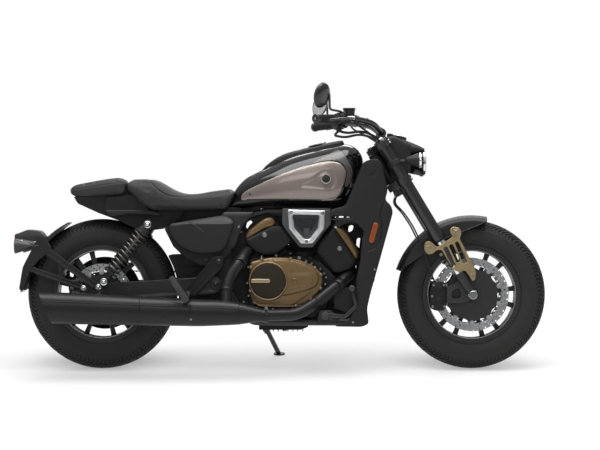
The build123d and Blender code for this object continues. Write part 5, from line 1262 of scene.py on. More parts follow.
for side in (-1, 1):
    y = side * FORK_HALF
    foot_low = fork_place(0, y, 0)
    tubes += [lathe([(276, 0), (276, 24), (278, 26.6), (284, 28), (540, 28), (548, 28), (592, 27.4), (600, 26),
                     (612, 25.2), (730, 25.2), (738, 27), (764, 27), (770, 25), (776, 22), (776, 0)], foot_low,
                    FORK_WAY, 56),
              lathe([(772, 0), (772, 17), (780, 16), (782, 14), (782, 0)], foot_low, FORK_WAY, 6, 2),
              lathe([(268, 0), (268, 22.5), (277, 23.5), (277, 0)], foot_low, FORK_WAY, 48, 3)]
    feet += [lathe(drum(90, 275, 20.5), foot_low, FORK_WAY, 56, 1),
             lathe([(60, 0), (60, 22), (84, 24), (104, 24.5), (110, 23.5), (111, 21.5), (111, 0)], foot_low,
                   FORK_WAY, 48)]
    foot_rim = [tuple(fork_place(f, 0, h)[[0, 2]]) for f, h
                in [(-20, 98), (20, 98), (18, 60), (16, 24), (18, -4), (11, -20), (0, -24), (-11, -20),
                    (-18, -4), (-16, 24), (-18, 60)]]
    feet.append(sculpted(foot_rim, lambda x, z, d: 119 + 9 * np.clip(d / 16, 0, 1) ** 0.6, 80, cut=12, edge=4,
                         spacing=6, side=side))
    ear = [(1483, 284), (1483, 350), (1535, 382), (1585, 370), (1595, 300), (1545, 284)]
    feet += [sculpted(ear, level(96), 80,
                      holes=[[(1508, 306), (1508, 338), (1536, 350), (1548, 320), (1536, 304)]], cut=8, edge=3,
                      spacing=9, side=side),
             lathe([(-2, 0), (-2, 18), (6, 18), (8, 16), (8, 10.5), (6, 10), (6, 0)],
                   (FRONT_AXLE[0], side * 128, FRONT_AXLE[1]), (0, side, 0), 40, 2)]
    for ahead, height in [(-17, 8), (17, 8)]:
        feet.append(bolt(fork_place(ahead, side * 127, height), (0, side, 0), 5, 6, 2))
    brackets.append(sculpted(BRACKET, bracket_face, 108, holes=WINDOWS, cut=7, edge=3, spacing=5, side=side))
    for spot in (REAR_EYE, TOP_EYE):
        brackets.append(lathe(drum(76, 125, 15), (spot[0], 0, spot[1]), (0, side, 0), 32))
    for spot in (REAR_EYE, TOP_EYE, LOW_EYE):
        brackets += [lathe([(-3, 0), (-3, 12.5), (1.5, 12.5), (2.5, 11), (2.5, 0)],
                           (spot[0], side * 124, spot[1]), (0, side, 0), 32),
                     bolt((spot[0], side * 126, spot[1]), (0, side, 0), 6.2, 4.5, 1)]
    brackets.append(lathe([(150, 0), (150, 21.2), (154, 22.6), (236, 22.6), (240, 21.2), (240, 0)], foot_low,
                          FORK_WAY, 48, 2))
    for height in (172, 218):
        brackets += [lathe(drum(-14, 14, 7), fork_place(-27, side * 105, height), (0, 1, 0), 24),
                     bolt(fork_place(-27, side * 119, height), (0, side, 0), 5, 5, 1)]
piece("fork_outer_tubes", tubes, [fork_black, chrome, bare_steel, rubber], "steering", ["fork_tubes"])
piece("fork_sliders_and_feet", feet, [foot_grey, chrome, bare_steel], "steering", ["fork_legs"],
      sharp=34)

cast_bronze = coated("bracket_pale_bronze", (30, 3), (132, 114, 83), (166, 148, 114), (0.38, 0.16), 0.08,
                     (1.0, 3), True, Metallic=0.65)
piece("mudguard_bracket_pair", brackets, [cast_bronze, bare_steel, fork_black], "steering",
      ["mudguard_brackets"], sharp=34)

dress(fork_black, "fork_yokes")
dress(chrome, "front_axle")
yoke_trim = [lathe([(-4, 0), (-4, 21), (6, 21), (9, 18), (9, 9), (7, 8.6), (7, 0)], fork_place(-45, 0, 762),
                   FORK_WAY, 6, 1)]
for side in (-1, 1):
    for low in (740, 752, 560, 580):
        yoke_trim.append(bolt(fork_place(31, side * 122, low + 4), (cos(RAKE), 0, sin(RAKE)), 4.6, 5, 1))
    yoke_trim.append(bolt((1205, side * 52, 1036), (0, 0, 1), 5, 5, 1))
    for x, z in [(1274, 776), (1300, 792), (1308, 764)]:
        yoke_trim.append(bolt((x, side * 62, z), (0, side, 0), 5, 3.5, 1))
piece("yoke_screws", yoke_trim, [fork_black, bare_steel], "steering")

# ---------------------------------------------------------------- front brake calipers
# Black four-piston calipers, one a side behind the axle, each two cast halves over the disc's edge, held
# together by bridge screws and bolted to the fork foot's ear.
CALIPER = [(1413, 262), (1409, 300), (1411, 342), (1424, 372), (1448, 378), (1478, 374), (1484, 350),
           (1484, 276), (1474, 254), (1440, 250)]
INNER_HALF = [(1424, 268), (1421, 300), (1422, 340), (1430, 366), (1480, 370), (1482, 276), (1472, 258),
              (1440, 256)]
calipers = []


def caliper_face(x, z, d):
    """Two round piston housings, raised above a flat back, and a rib along the middle."""
    pots = np.maximum(np.exp(-(((x - 1452) ** 2 + (z - 288) ** 2) / 19 ** 2) ** 3),
                      np.exp(-(((x - 1452) ** 2 + (z - 340) ** 2) / 19 ** 2) ** 3))
    return 93 + 4 * np.clip(d / 8, 0, 1) + 5.0 * pots


for side in (-1, 1):
    calipers += [sculpted(CALIPER, caliper_face, 69, cut=12, edge=5, spacing=4.6, side=side),
                 sculpted(INNER_HALF, level(56.6), 38, cut=8, edge=2, spacing=14, side=side),
                 sculpted([(1415, 285), (1413, 350), (1428, 350), (1430, 285)], level(70), 52, cut=4, edge=1,
                          spacing=10, side=side)]
    for z in (288, 340):
        calipers.append(lathe([(-1, 0), (-1, 15), (1.2, 14.5), (1.8, 12), (1.8, 0)], (1452, side * 101.5, z),
                              (0, side, 0), 36))
    for x, z in [(1424, 270), (1421, 314), (1428, 362), (1474, 270), (1472, 362)]:
        calipers.append(bolt((x, side * 95, z), (0, side, 0), 5.4, 5, 1))
    calipers.append(lathe([(-8, 0), (-8, 4), (6, 3.4), (10, 2.4), (10, 0)], (1440, side * 88, 380),
                          (-0.3, 0, 1), 16, 1))
piece("front_caliper_pair", calipers, [engine_black, bare_steel], "steering", ["front_calipers"])

# ---------------------------------------------------------------- front mudguard
# Short moulded mudguard in satin black, turned down at its sides and deepest where the brackets hold it.
def walled(outer, inner, finish=0):
    """Closed shell between two like grids: both faces, and a strip round their four edges."""
    rows, columns = outer.shape[:2]
    points, faces = skin(outer)
    inner_points, inner_faces = skin(inner)
    index = np.arange(rows * columns).reshape(rows, columns)
    loop = np.concatenate([index[0], index[1:, -1], index[-1, -2::-1], index[-2:0:-1, 0]])
    strip = np.stack([loop, np.roll(loop, -1), np.roll(loop, -1) + rows * columns, loop + rows * columns], -1)
    inner_faces = [[corner + rows * columns for corner in face] for face in inner_faces]
    return np.concatenate([points, inner_points]), faces + inner_faces + strip.tolist(), finish


# columns: angle above +X round the front axle, radius of the side's lower edge
SKIRT = [(79.0, 322), (83, 306), (92, 284), (99, 274), (112, 268), (130, 268), (143, 278), (154, 303),
         (161.4, 326)]
arch_angle = np.linspace(79.0, 161.4, 56)
skirt = smooth(SKIRT, arch_angle)[:, 0]
share = np.linspace(-1, 1, 45)


def arch(half, crown, lower):
    """Rows of the mudguard's section: straight sides up to a shoulder, then half an ellipse over the tyre."""
    over = np.clip(share / 0.62, -1, 1) * pi / 2
    radius = 314 + (crown - 314) * np.cos(over)
    down = np.clip((np.abs(share) - 0.62) / 0.38, 0, 1)
    radius = radius[None] + (lower[:, None] - 314) * down[None]
    y = half * np.sin(over)[None] * (1 + 0 * radius)
    return np.stack([FRONT_AXLE[0] + radius * np.cos(np.radians(arch_angle))[:, None], y,
                     FRONT_AXLE[1] + radius * np.sin(np.radians(arch_angle))[:, None]], -1)


guard = [walled(arch(77.0, 342.2, skirt), arch(73.6, 338.6, skirt + 0.2))]
for end in (0, -1):
    rim_row = arch(76.0, 341.0, skirt)[end]
    guard.append(ribbon(rim_row, 2.4, 10, False))
for column, side in ((0, -1), (-1, 1)):
    guard.append(ribbon(arch(76.6, 341.0, skirt)[:, column], 2.4, 10, False))
    for spot in (REAR_EYE, TOP_EYE):
        guard.append(lathe([(-4, 0), (-4, 17), (1, 17), (2, 15), (2, 0)], (spot[0], side * 76.5, spot[1]),
                           (0, side, 0), 28))
piece("front_mudguard_shell", guard, [satin_plastic], "steering", ["front_mudguard"], sharp=50)

# ---------------------------------------------------------------- handlebar and controls
# Swept-back tubular bar in black, with ribbed rubber grips, switch pods, levers, and the front brake's
# fluid cup. Wiring and hoses run along the bar under rubber ties.
BAR_ROUTE = [(1205, -70, 1016), (1165, -150, 1056), (1085, -225, 1072)]
GRIP_OUTER = np.array([925.0, -420.0, 1062.0])
bar_way = (GRIP_OUTER - BAR_ROUTE[-1]) / np.linalg.norm(GRIP_OUTER - BAR_ROUTE[-1])
grip_inner = GRIP_OUTER - bar_way * 136
ahead_way = np.array([0.82, -0.57, 0.0])

grip_rubber = coated("grip_rubber", (20, 3), (20, 20, 20), (34, 34, 34), (0.62, 0.14), 0.08, (0.8, 2),
                     Specular_IOR_Level=0.3)


def mirrored(shells):
    """The same shells on the other side of the centre plane."""
    return [(np.asarray(shell[0]) * (1, -1, 1), *shell[1:]) for shell in shells]


right_bar = [ribbon(softened([(1205, 0, 1016)] + BAR_ROUTE + [tuple(GRIP_OUTER)], 48, 14, closed=False), 12.5,
                    32, False)]
grip = [(0, 0), (0, 16), (3, 19)]
for groove in range(13):
    start = 8 + groove * 9.4
    grip += [(start, 17.4), (start + 0.8, 16.4), (start + 2.4, 16.4), (start + 3.2, 17.4), (start + 6, 17.7)]
grip += [(132, 19.5), (136, 18), (136, 0)]
right_bar += [lathe(grip, grip_inner, bar_way, 48, 1),
              lathe([(-2, 0), (-2, 18), (0, 20.5), (9, 20.5), (13, 17), (14, 12), (14, 0)], GRIP_OUTER, bar_way,
                    40),
              bolt(GRIP_OUTER + bar_way * 13, bar_way, 5, 3, 2)]
piece("handlebar_and_grips", right_bar + mirrored(right_bar), [fork_black, grip_rubber, bare_steel], "steering",
      ["handlebar"], sharp=34)

up_way = np.array([0.0, 0.0, 1.0])
control = [lathe([(0, 0), (0, 20), (3, 24), (20, 25), (26, 25), (43, 23.5), (46, 19), (46, 0)],
                 grip_inner - bar_way * 46, bar_way, 40)]
control.append(lathe([(0, 0), (0, 17), (3, 19.5), (21, 19.5), (24, 17), (24, 0)], grip_inner - bar_way * 74,
                     bar_way, 40))
for spot, way, radius, height in [(30, (-0.7, 0, 0.72), 7, 30), (15, (-0.8, 0, 0.6), 5.5, 29),
                                  (38, (-0.9, 0, 0.2), 6, 28)]:
    control.append(lathe([(18, 0), (18, radius), (height - 1.5, radius), (height, radius - 1.5), (height, 0)],
                         grip_inner - bar_way * spot, way, 24, 1))
lever_root = grip_inner - bar_way * 62 + ahead_way * 42
lever_bend = lever_root + bar_way * 50 + ahead_way * 16
lever_tip = GRIP_OUTER + ahead_way * 62 - up_way * 8
lever_line = softened([grip_inner - bar_way * 62 + ahead_way * 8, lever_root, lever_bend, lever_tip], 40, 10,
                      closed=False)
lever_size = 6.0 - 1.6 * np.sin(np.linspace(0, pi, len(lever_line)))
lever_size[-3:] = (6.0, 7.0, 5.5)
control += [ribbon(lever_line, lever_size, 18, False, 2),
            lathe([(-12, 0), (-12, 9), (10, 9), (12, 7.5), (12, 0)], lever_root, (0, 0, 1), 28),
            bolt(lever_root + up_way * 11, up_way, 6, 4, 3)]
cup_centre = grip_inner - bar_way * 58 + ahead_way * 16 + up_way * 27
cup = [lathe([(-15, 0), (-15, 20), (-12, 23), (9, 25), (10, 27), (15, 27), (16, 25), (16, 0)], cup_centre,
             up_way, 44)]
for turn in np.radians([45, 135, 225, 315]):
    cup.append(bolt(cup_centre + 21 * np.array([cos(turn), sin(turn), 0]) + up_way * 15, up_way, 3, 2.6, 3))
cup.append(lathe([(-5, 0), (-5, 7), (3, 7), (4, 5), (4, 0)], cup_centre + np.array([-20, -14, -4]),
                 (-0.8, -0.6, 0), 24, 3))
ring_turn = np.linspace(0, 2 * pi, 28, endpoint=False)[:, None]
for tie in ((1140, -176, 1060), (1100, -212, 1068)):
    control.append(ribbon(np.array(tie)
                          + 14.5 * (np.cos(ring_turn) * np.array([0.66, 0.75, 0]) + np.sin(ring_turn) * up_way),
                          1.8, 8, True, 1))
control.append(lathe([(-18, 0), (-18, 6), (-14, 8.5), (14, 8.5), (18, 6), (18, 0)],
                     cup_centre + np.array([8, -16, -26]), (0.97, -0.2, -0.12), 28, 3))
loom = softened([grip_inner - bar_way * 40 - up_way * 22, (1004, -292, 1020), (1052, -240, 1008),
                 (1124, -160, 1022), (1196, -84, 990), (1250, -56, 930), (1256, -30, 880)], 60, 10,
                closed=False)
control.append(ribbon(loom, 5.5, 16, False, 1))
hose_line = softened([grip_inner - bar_way * 62 + ahead_way * 30, (1090, -262, 1046), (1150, -170, 1012),
                      (1222, -96, 960), (1262, -70, 860), (1284, -58, 780)], 60, 10, closed=False)
control.append(ribbon(hose_line, 4.0, 14, False, 1))
piece("bar_controls", control + mirrored(control) + cup, [satin_plastic, grip_rubber, fork_black, bare_steel],
      "steering", ["hand_controls"], sharp=34)

# ---------------------------------------------------------------- mirrors
# Round mirrors on bent black stems from the lever clamps: a domed shell, a bead, and a glass that faces
# back and inwards.
MIRROR_CENTRE = np.array([944.0, -410.0, 1160.0])
MIRROR_NORMAL = np.array([-0.80, 0.56, 0.20]) / np.linalg.norm([-0.80, 0.56, 0.20])
mirror_glass = coated("mirror_glass", (60, 2), (196, 200, 203), (216, 220, 222), (0.03, 0.02), Metallic=0.45)
back = MIRROR_CENTRE - MIRROR_NORMAL * 18
stem_foot = grip_inner - bar_way * 62 + up_way * 14
stem = softened([stem_foot, stem_foot + np.array([-30, -46, 14]), (978, -388, 1102), (976, -398, 1172),
                 back + MIRROR_NORMAL * 4], 16, 9, closed=False)
mirror = [lathe([(-19, 0), (-19, 14), (-17, 30), (-12, 44), (-5, 52), (0, 54), (2, 53.4), (2, 51), (0, 50.5),
                 (0, 0)], MIRROR_CENTRE, MIRROR_NORMAL, 64),
          lathe([(-1, 0), (-1, 50.4), (0.8, 50), (1.2, 0)], MIRROR_CENTRE, MIRROR_NORMAL, 64, 1),
          ribbon(stem, 5.0, 20, False),
          lathe([(-2, 0), (-2, 10), (8, 10), (10, 8), (10, 0)], stem_foot, up_way, 6)]
piece("mirror_pair", mirror + mirrored(mirror), [fork_black, mirror_glass], "steering", ["mirrors"],
      sharp=34)

# ---------------------------------------------------------------- headlight and instrument
# Pressed steel bowl in gloss black on a bar between the fork tubes, with a chromed rim. A small cowl over
# it holds one round instrument.
HEADLIGHT_Z = 889.0
BOWL_BACK = 1271.8
bowl = [lathe([(0, 0), (0, 14), (4, 22), (16, 33), (34, 41), (56, 46.5), (80, 51), (100, 55.5), (104, 57),
               (104, 0)], (BOWL_BACK, 0, HEADLIGHT_Z), (1, 0, 0), 72),
        lathe([(100, 0), (100, 57.5), (104, 60), (115, 60), (116, 59), (116, 0)], (BOWL_BACK, 0, HEADLIGHT_Z),
              (1, 0, 0), 72),
        lathe([(115, 0), (115, 59.4), (121, 59.4), (124, 58), (124.5, 55), (122, 53.4), (117, 53), (117, 0)],
              (BOWL_BACK, 0, HEADLIGHT_Z), (1, 0, 0), 72, 1)]
bar_x, bar_z = 1263.8, 889.0
bowl.append(lathe(drum(-77.5, 77.5, 9), (bar_x, 0, bar_z), (0, 1, 0), 28, 2))
COWL = [(1262, 976), (1268, 996), (1290, 994), (1322, 982), (1366, 964), (1392, 950), (1394, 940), (1384, 934),
        (1346, 930), (1300, 926), (1272, 948)]
BACKING = [(1236, 904), (1218, 952), (1220, 1000), (1262, 1004), (1296, 988), (1330, 968), (1336, 900),
           (1330, 850), (1322, 800), (1318, 770), (1296, 752), (1268, 737), (1256, 770), (1244, 830)]
for side in (-1, 1):
    bowl += [sculpted(COWL, lambda x, z, d: 38 + 12 * np.clip(d / 22, 0, 1) ** 0.7, 0, cut=10, edge=9,
                      spacing=6, side=side, finish=2),
             sculpted(BACKING, raised(50, 5, 0, 12), 0, cut=10, edge=4, spacing=8, side=side, finish=2)]
dial_way = np.array([sin(radians(14)), 0, cos(radians(14))])
dial_place = np.array([1272.0, 0, 996.0])
bowl += [lathe([(-14, 0), (-14, 34), (-8, 42), (6, 44), (10, 43.5), (12, 41), (12, 38.5), (9, 37.5), (9, 0)],
               dial_place, dial_way, 64, 2),
         lathe([(7, 0), (7, 37.4), (9.6, 37), (10.6, 30), (11, 0)], dial_place, dial_way, 56, 3)]
round_turn = np.linspace(0, 2 * pi, 64, endpoint=False)[:, None]
bowl.append(ribbon(dial_place + dial_way * 11.6
                   + 40 * (np.cos(round_turn) * np.array([dial_way[2], 0, -dial_way[0]])
                           + np.sin(round_turn) * np.array([0, 1, 0])), 1.6, 8, True, 1))
dial_glass = coated("dial_glass_dark", (40, 2), (9, 10, 12), (18, 20, 23), (0.08, 0.05), Coat_Weight=1.0,
                    Coat_Roughness=0.02)
piece("headlight_bowl", bowl, [gloss_black, chrome, satin_plastic, dial_glass], "steering", ["headlight_shell"],
      sharp=34)

# ---------------------------------------------------------------- front lamps
# The headlamp's clear lens over a bright reflector, and two bullet indicators with smoked lenses and chromed
# rings, on black stalks from clamps round the fork tubes.
def faceted(name, scale, dark, light, rough, bump=0.0, **sockets):
    """A finish moulded in small cells, from a darker and smoother middle to a lighter and rougher edge."""
    made = Finish(name, **sockets)
    cell = made.node("ShaderNodeTexVoronoi", {}, {"Vector": made.place(), "Scale": scale})
    made.colour(made.mix(cell, tone(*dark), tone(*light)))
    made.rough(rough[0] + rough[1] * cell)
    if bump:
        made.bump(cell, bump)
    return made


reflector = faceted("reflector_bright", 90.0, (196, 200, 205), (232, 235, 238), (0.10, 0.10), 0.6, Metallic=1.0)
clear_lens = Finish("lens_clear", Roughness=0.02, Transmission_Weight=0.92, IOR=1.49)
optic = clear_lens.noise(50, 2)
clear_lens.colour(clear_lens.mix(optic, tone(226, 230, 234), tone(244, 247, 250)))
clear_lens.bump(optic, 0.05)
smoked_lens = coated("lens_smoked_amber", (12, 2), (70, 42, 20), (98, 60, 28), (0.12, 0.08), 0.08,
                     Coat_Weight=1.0, Coat_Roughness=0.05, Transmission_Weight=0.25, IOR=1.49)
lamp_parts = [lathe([(118, 0), (118, 52), (121, 52.6), (122, 51), (117.5, 48), (112, 30), (110, 14), (110, 0)],
                    (BOWL_BACK, 0, HEADLIGHT_Z), (1, 0, 0), 64, 1),
              lathe([(122.5, 0), (122.5, 52.6), (125, 52), (127.5, 44), (129, 26), (129.4, 0)],
                    (BOWL_BACK, 0, HEADLIGHT_Z), (1, 0, 0), 64, 0),
              ribbon(np.hstack([np.full((64, 1), BOWL_BACK + 119.5), 44 * np.cos(round_turn),
                                HEADLIGHT_Z + 44 * np.sin(round_turn)]), 2.6, 10, True, 1),
              lathe([(112, 0), (112, 20), (120, 19), (122, 16), (122.4, 0)], (BOWL_BACK, 0, HEADLIGHT_Z),
                    (1, 0, 0), 48, 1)]


def bullet(centre, way):
    """Bullet-shaped lamp along X: a pointed shell that swells to its ring, and a domed lens."""
    return [lathe([(-33, 0), (-32, 4), (-26, 9.5), (-14, 15.5), (0, 20.5), (14, 26.5), (30, 30.8), (32, 30.8),
                   (32, 0)], centre, (way, 0, 0), 52, 2),
            lathe([(29, 0), (29, 31.0), (31, 31.8), (36, 31.8), (38, 30.4), (38, 28.6), (33, 28.2), (33, 0)],
                  centre, (way, 0, 0), 52, 3),
            lathe([(31, 0), (31, 28), (36, 27), (38.6, 20), (39.4, 0)], centre, (way, 0, 0), 52, 4)]


for side in (-1, 1):
    lamp_parts += bullet((1334, side * 154, 897), 1)
    stalk = softened([(1264, side * 104, 892), (1312, side * 108, 895), (1340, side * 140, 897)], 14, 6,
                     closed=False)
    lamp_parts += [ribbon(stalk, 7.6, 20, False, 2),
                   lathe([(0, 0), (0, 30), (2, 31.5), (20, 31.5), (22, 30), (22, 0)],
                         fork_place(0, side * 105, 647), FORK_WAY, 40, 2)]
piece("headlamp_and_indicators", lamp_parts, [clear_lens, reflector, satin_plastic, chrome, smoked_lens],
      "steering", ["front_lamps"], sharp=34)

# ---------------------------------------------------------------- side covers
# Moulded plastic covers in satin dark grey, clipped over the battery box on either side. The upper cover has a
# bevelled edge and a swept crease, and laps over a plain filler ahead of it and a black box below.
def bar_outline(start, end, width):
    """Corners (x, z) of a straight bar between two places."""
    way = np.array(end, float) - np.array(start, float)
    across_way = np.array([-way[1], way[0]]) / np.hypot(*way) * width / 2
    return [tuple(np.array(spot) + sign * across_way) for spot, sign in
            [(start, -1), (end, -1), (end, 1), (start, 1)]]


panel_grey = coated("moulding_dark_grey", (85, 3), (20, 20, 20), (28, 28, 28), (0.42, 0.14), 0.07, (0.9, 2),
                    True, soften=1.2, Specular_IOR_Level=0.35)

# Plain black plastic. It is also the colour of the flat black sheets of painted shade between the larger
# pieces.
black_and_shade_fill = coated("black_plastic_and_shade_fill", (30, 3), (11, 11, 12), (21, 21, 22), (0.5, 0.25), 0.15, (3, 2),
                    Specular_IOR_Level=0.3)

COVER = [(292, 612), (300, 626), (515, 661), (553, 653), (572, 632), (553, 571), (531, 517), (499, 500),
         (406, 497), (341, 528), (308, 566), (292, 600)]
FILLER = [(500, 640), (524, 672), (534, 676), (662, 676), (636, 650), (607, 615), (591, 571), (580, 528),
          (552, 500), (520, 500), (540, 560)]
LOW_BOX = [(274, 604), (312, 528), (352, 490), (425, 448), (486, 440), (560, 500), (540, 560), (300, 622)]
CREASE = [(384, 628), (394, 625), (404, 618), (442, 586)]
# height where the cover's top facet starts to lean inwards
FACET_FOOT = 624.0


def cover_face(x, z, d):
    """A bevel round a nearly flat face whose top leans inwards above its foot, and a ridge along the crease."""
    ridge = 2.6 * np.exp(-(line_distance(x, z, CREASE) / 3.4) ** 2)
    top = 21 * np.clip((z - FACET_FOOT) / 34, 0, 1)
    return 149 + 6 * np.clip(d / 13, 0, 1) + ridge - top


covers = []
for side in (-1, 1):
    covers += [sculpted(COVER, cover_face, 84, cut=22, edge=3, spacing=6, side=side, steps=6, lines=[CREASE]),
               sculpted(FILLER, raised(121, 6.5, 0, 9), 84, cut=14, edge=2, spacing=9, side=side, finish=1),
               sculpted(LOW_BOX, level(138), 84, cut=8, edge=2, spacing=10, side=side, finish=3),
               bolt((592, side * 127, 612), (0, side, 0), 4.5, 4, 2),
               lathe([(-2, 0), (-2, 7.5), (1.2, 7.5), (2, 6.5), (2, 0)], (452, side * 138, 470), (0, side, 0),
                     24, 1)]
covers.append(block([(352, 440), (352, 640), (470, 640), (440, 440)], -84, 84, 2, 8, 3))
piece("side_cover_pair", covers, [panel_grey, satin_plastic, bare_steel, black_and_shade_fill], "chassis",
      ["side_covers"], sharp=30)

# ---------------------------------------------------------------- radiator shrouds
# Matte dark grey mouldings, screwed to the radiator's sides. Each has a split line along its raised front
# edge, three slanted slots in the arm under the tank, an orange side reflector and a screw in a recess.
SHROUD = [(1131, 892), (1160, 902), (1186, 902), (1202, 884), (1229, 769), (1217, 727), (1242, 705),
          (1251, 675), (1195, 471), (1153, 321), (1140, 262), (1148, 198), (1118, 185), (999, 187), (1067, 215),
          (1093, 300), (1093, 385), (1110, 462), (1118, 556), (1127, 599), (1089, 633), (982, 642), (982, 684),
          (1046, 701), (1076, 769), (1118, 876)]
SPLIT = [(1208, 712), (1201, 690), (1196, 663), (1204, 620), (1202, 590), (1195, 556), (1174, 522), (1144, 510)]
SLOTS = [[(986, 647), (990, 659), (1012, 659), (1010, 647)],
         [(1018, 647), (1021, 659), (1048, 659), (1042, 647)],
         [(1052, 648), (1054, 657), (1074, 655), (1070, 648)]]
SCREW_PLACE = (1165.0, 840.0)


def shroud_face(x, z, d):
    """Crowned a little from its edge, raised 2 mm ahead of the split, with a groove along the split."""
    reach = line_distance(x, z, SPLIT)
    edge_x = np.interp(z, [510, 522, 556, 590, 620, 663, 690, 712],
                       [1144, 1174, 1195, 1202, 1204, 1196, 1201, 1208])
    ahead = np.clip((x - edge_x) / 6, 0, 1) * ((z > 500) & (z < 716))
    dent = 3.4 * np.exp(-(((x - SCREW_PLACE[0]) ** 2 + (z - SCREW_PLACE[1]) ** 2) / 13 ** 2) ** 2)
    return 161.5 + 3.6 * (1 - np.exp(-d / 16)) + 1.2 * ahead - 2.2 * np.exp(-(reach / 2.2) ** 2) - dent


amber = faceted("reflector_orange", 330.0, (122, 50, 0), (148, 66, 0), (0.18, 0.2), 0.3, Coat_Weight=0.5,
                Coat_Roughness=0.05, Specular_IOR_Level=0.5)

shrouds = []
for side in (-1, 1):
    shrouds += [sculpted(SHROUD, shroud_face, 156.8, SLOTS, cut=14, edge=3, spacing=6.5, side=side, steps=5,
                         lines=[SPLIT]),
                sculpted(bar_outline((1156, 545), (1179, 629), 23), level(170), 163, cut=10, edge=2, spacing=6,
                         side=side, finish=1, steps=6),
                lathe([(-2, 0), (-2, 12.5), (0.6, 12.5), (0.6, 10), (-0.5, 9.5), (-0.5, 0)],
                      (SCREW_PLACE[0], side * 162.6, SCREW_PLACE[1]), (0, side, 0), 32, 3),
                bolt((SCREW_PLACE[0], side * 161.4, SCREW_PLACE[1]), (0, side, 0), 5.5, 3.6, 3),
                pipe([(1168, side * 58, 752), (1168, side * 157, 752)], 7, 1, 3, 20, 3),
                bolt((1172, side * 164.6, 430), (0, side, 0), 4.5, 3, 2),
                bolt((1080, side * 164.6, 205), (0, side, 0), 4.5, 3, 2)]
piece("radiator_shroud_pair", shrouds, [panel_grey, amber, bare_steel, satin_plastic], "chassis",
      ["radiator_shrouds"], sharp=32)

# ---------------------------------------------------------------- radiator
# A brazed aluminium core painted black, flat tubes with folded fins between, and moulded end tanks. Two
# rubber hoses with worm-drive clips carry the coolant to the front head and the water pump.
core_black = Finish("radiator_core_black", Metallic=0.4, Specular_IOR_Level=0.5)
fins = core_black.node("ShaderNodeTexWave", {"wave_type": "BANDS", "bands_direction": "Y"},
                       {"Vector": core_black.place(), "Scale": 160.0}, output="Fac")
core_black.colour(core_black.mix(fins, tone(20, 20, 21), tone(52, 52, 54)))
core_black.rough(0.45 + 0.2 * fins)
core_black.bump(fins, 0.8)

CORE_FOOT = np.array([1158.0, 378.0])
core_up = np.array([46.0, 268.0]) / np.hypot(46, 268)
core_ahead = np.array([core_up[1], -core_up[0]])
CORE_HEIGHT, CORE_HALF_DEPTH = 271.0, 13.0


def core_place(up, ahead):
    """(x, z) at a height up the radiator and a distance ahead of its middle."""
    return tuple(CORE_FOOT + core_up * up + core_ahead * ahead)


def core_slab(low, high, depth):
    """Outline of a stretch of the radiator, as deep as given each way from its middle."""
    return [core_place(low, -depth), core_place(low, depth), core_place(high, depth), core_place(high, -depth)]


radiator = [block(core_slab(14, 257, 9), -142, 142, 0.5, 1, 0)]
for row in range(25):
    height = 20 + row * 9.6
    radiator.append(block(core_slab(height, height + 2.4, 10.6), -141, 141, 0.4, 0.5, 1))
for low, high in [(0, 15), (256, 271)]:
    radiator.append(block(core_slab(low, high, 12), -144, 144, 1.5, 3, 1))
for side in (-1, 1):
    inner_y, outer_y = sorted((side * 140, side * 156.6))
    radiator.append(block(core_slab(0, CORE_HEIGHT, CORE_HALF_DEPTH), inner_y, outer_y, 3, 6, 2))
HOSES = [[(1190, -118, 612), (1140, -118, 640), (1040, -112, 640), (1000, -84, 606)],
         [(1166, -70, 420), (1120, -70, 392), (1108, -84, 330), (1010, -84, 300)]]
for route in HOSES:
    radiator.append(pipe(route, 13, 30, 3, 24, 8))
    for start, way in [(route[0], np.subtract(route[1], route[0])),
                       (route[-1], np.subtract(route[-2], route[-1]))]:
        middle = np.array(start, float) + way / np.linalg.norm(way) * 16
        radiator += [lathe(drum(-5, 5, 14.2), middle, way, 32, 4),
                     lathe(drum(-7, 7, 3), middle + (0, 0, 16.5), (0, 1, 0), 12, 4)]
piece("radiator_core_and_hoses", radiator, [core_black, engine_black, satin_plastic, rubber, bare_steel],
      "chassis", ["radiator"], sharp=34)

# ---------------------------------------------------------------- trays, ducts and painted shade
# Plain black plastic and castings that show between the larger pieces, laid as flat black plates that are
# partly those parts and partly painted shade where the gaps between the pieces fall dark: a tray with the loom
# under the tank, whose black also paints the tank's shadow on what lies below it, the throttle bodies' manifold
# in the V, a cover round the swingarm pivot, the battery tray ahead of the rear tyre, a box under the seat, and
# the fan cowl behind the radiator, open where it clears the front head.
# The tray under the tank fills the dark band below it, so its black is partly painted shadow of the tank.
TANK_SHADOW_TRAY = [(566, 704), (640, 693), (735, 689), (752, 666), (860, 662), (1000, 666), (1086, 706), (1070, 716),
        (566, 716)]
MANIFOLD = [(735, 690), (1010, 690), (1004, 640), (962, 560), (940, 505), (812, 500), (800, 560), (772, 600),
            (748, 634), (736, 655)]
UPPER_MOUNT = [(586, 712), (745, 712), (748, 648), (706, 646), (628, 584), (600, 584), (586, 604)]
MOUNT_HOLES = [[(668, 660), (672, 680), (690, 696), (712, 697), (718, 684), (700, 676), (682, 658)],
               [(725, 686), (738, 682), (738, 671), (727, 675)],
               [(619, 612), (623, 630), (640, 642), (650, 632), (636, 618), (626, 602)]]
PIVOT_COVER = [(452, 258), (640, 252), (640, 440), (690, 470), (704, 530), (640, 536), (618, 562), (616, 600),
               (566, 606), (500, 560), (462, 480), (440, 380)]
LINER = [(284, 492), (474, 500), (474, 262), (331, 262), (332, 300), (331, 340), (322, 400), (307, 446)]
SEAT_BOX = [(198, 634), (186, 700), (604, 696), (604, 640), (560, 610), (330, 598), (268, 612)]
TAIL_NECK = [(96, 734), (104, 778), (134, 776), (166, 746), (214, 700), (214, 676), (150, 690)]
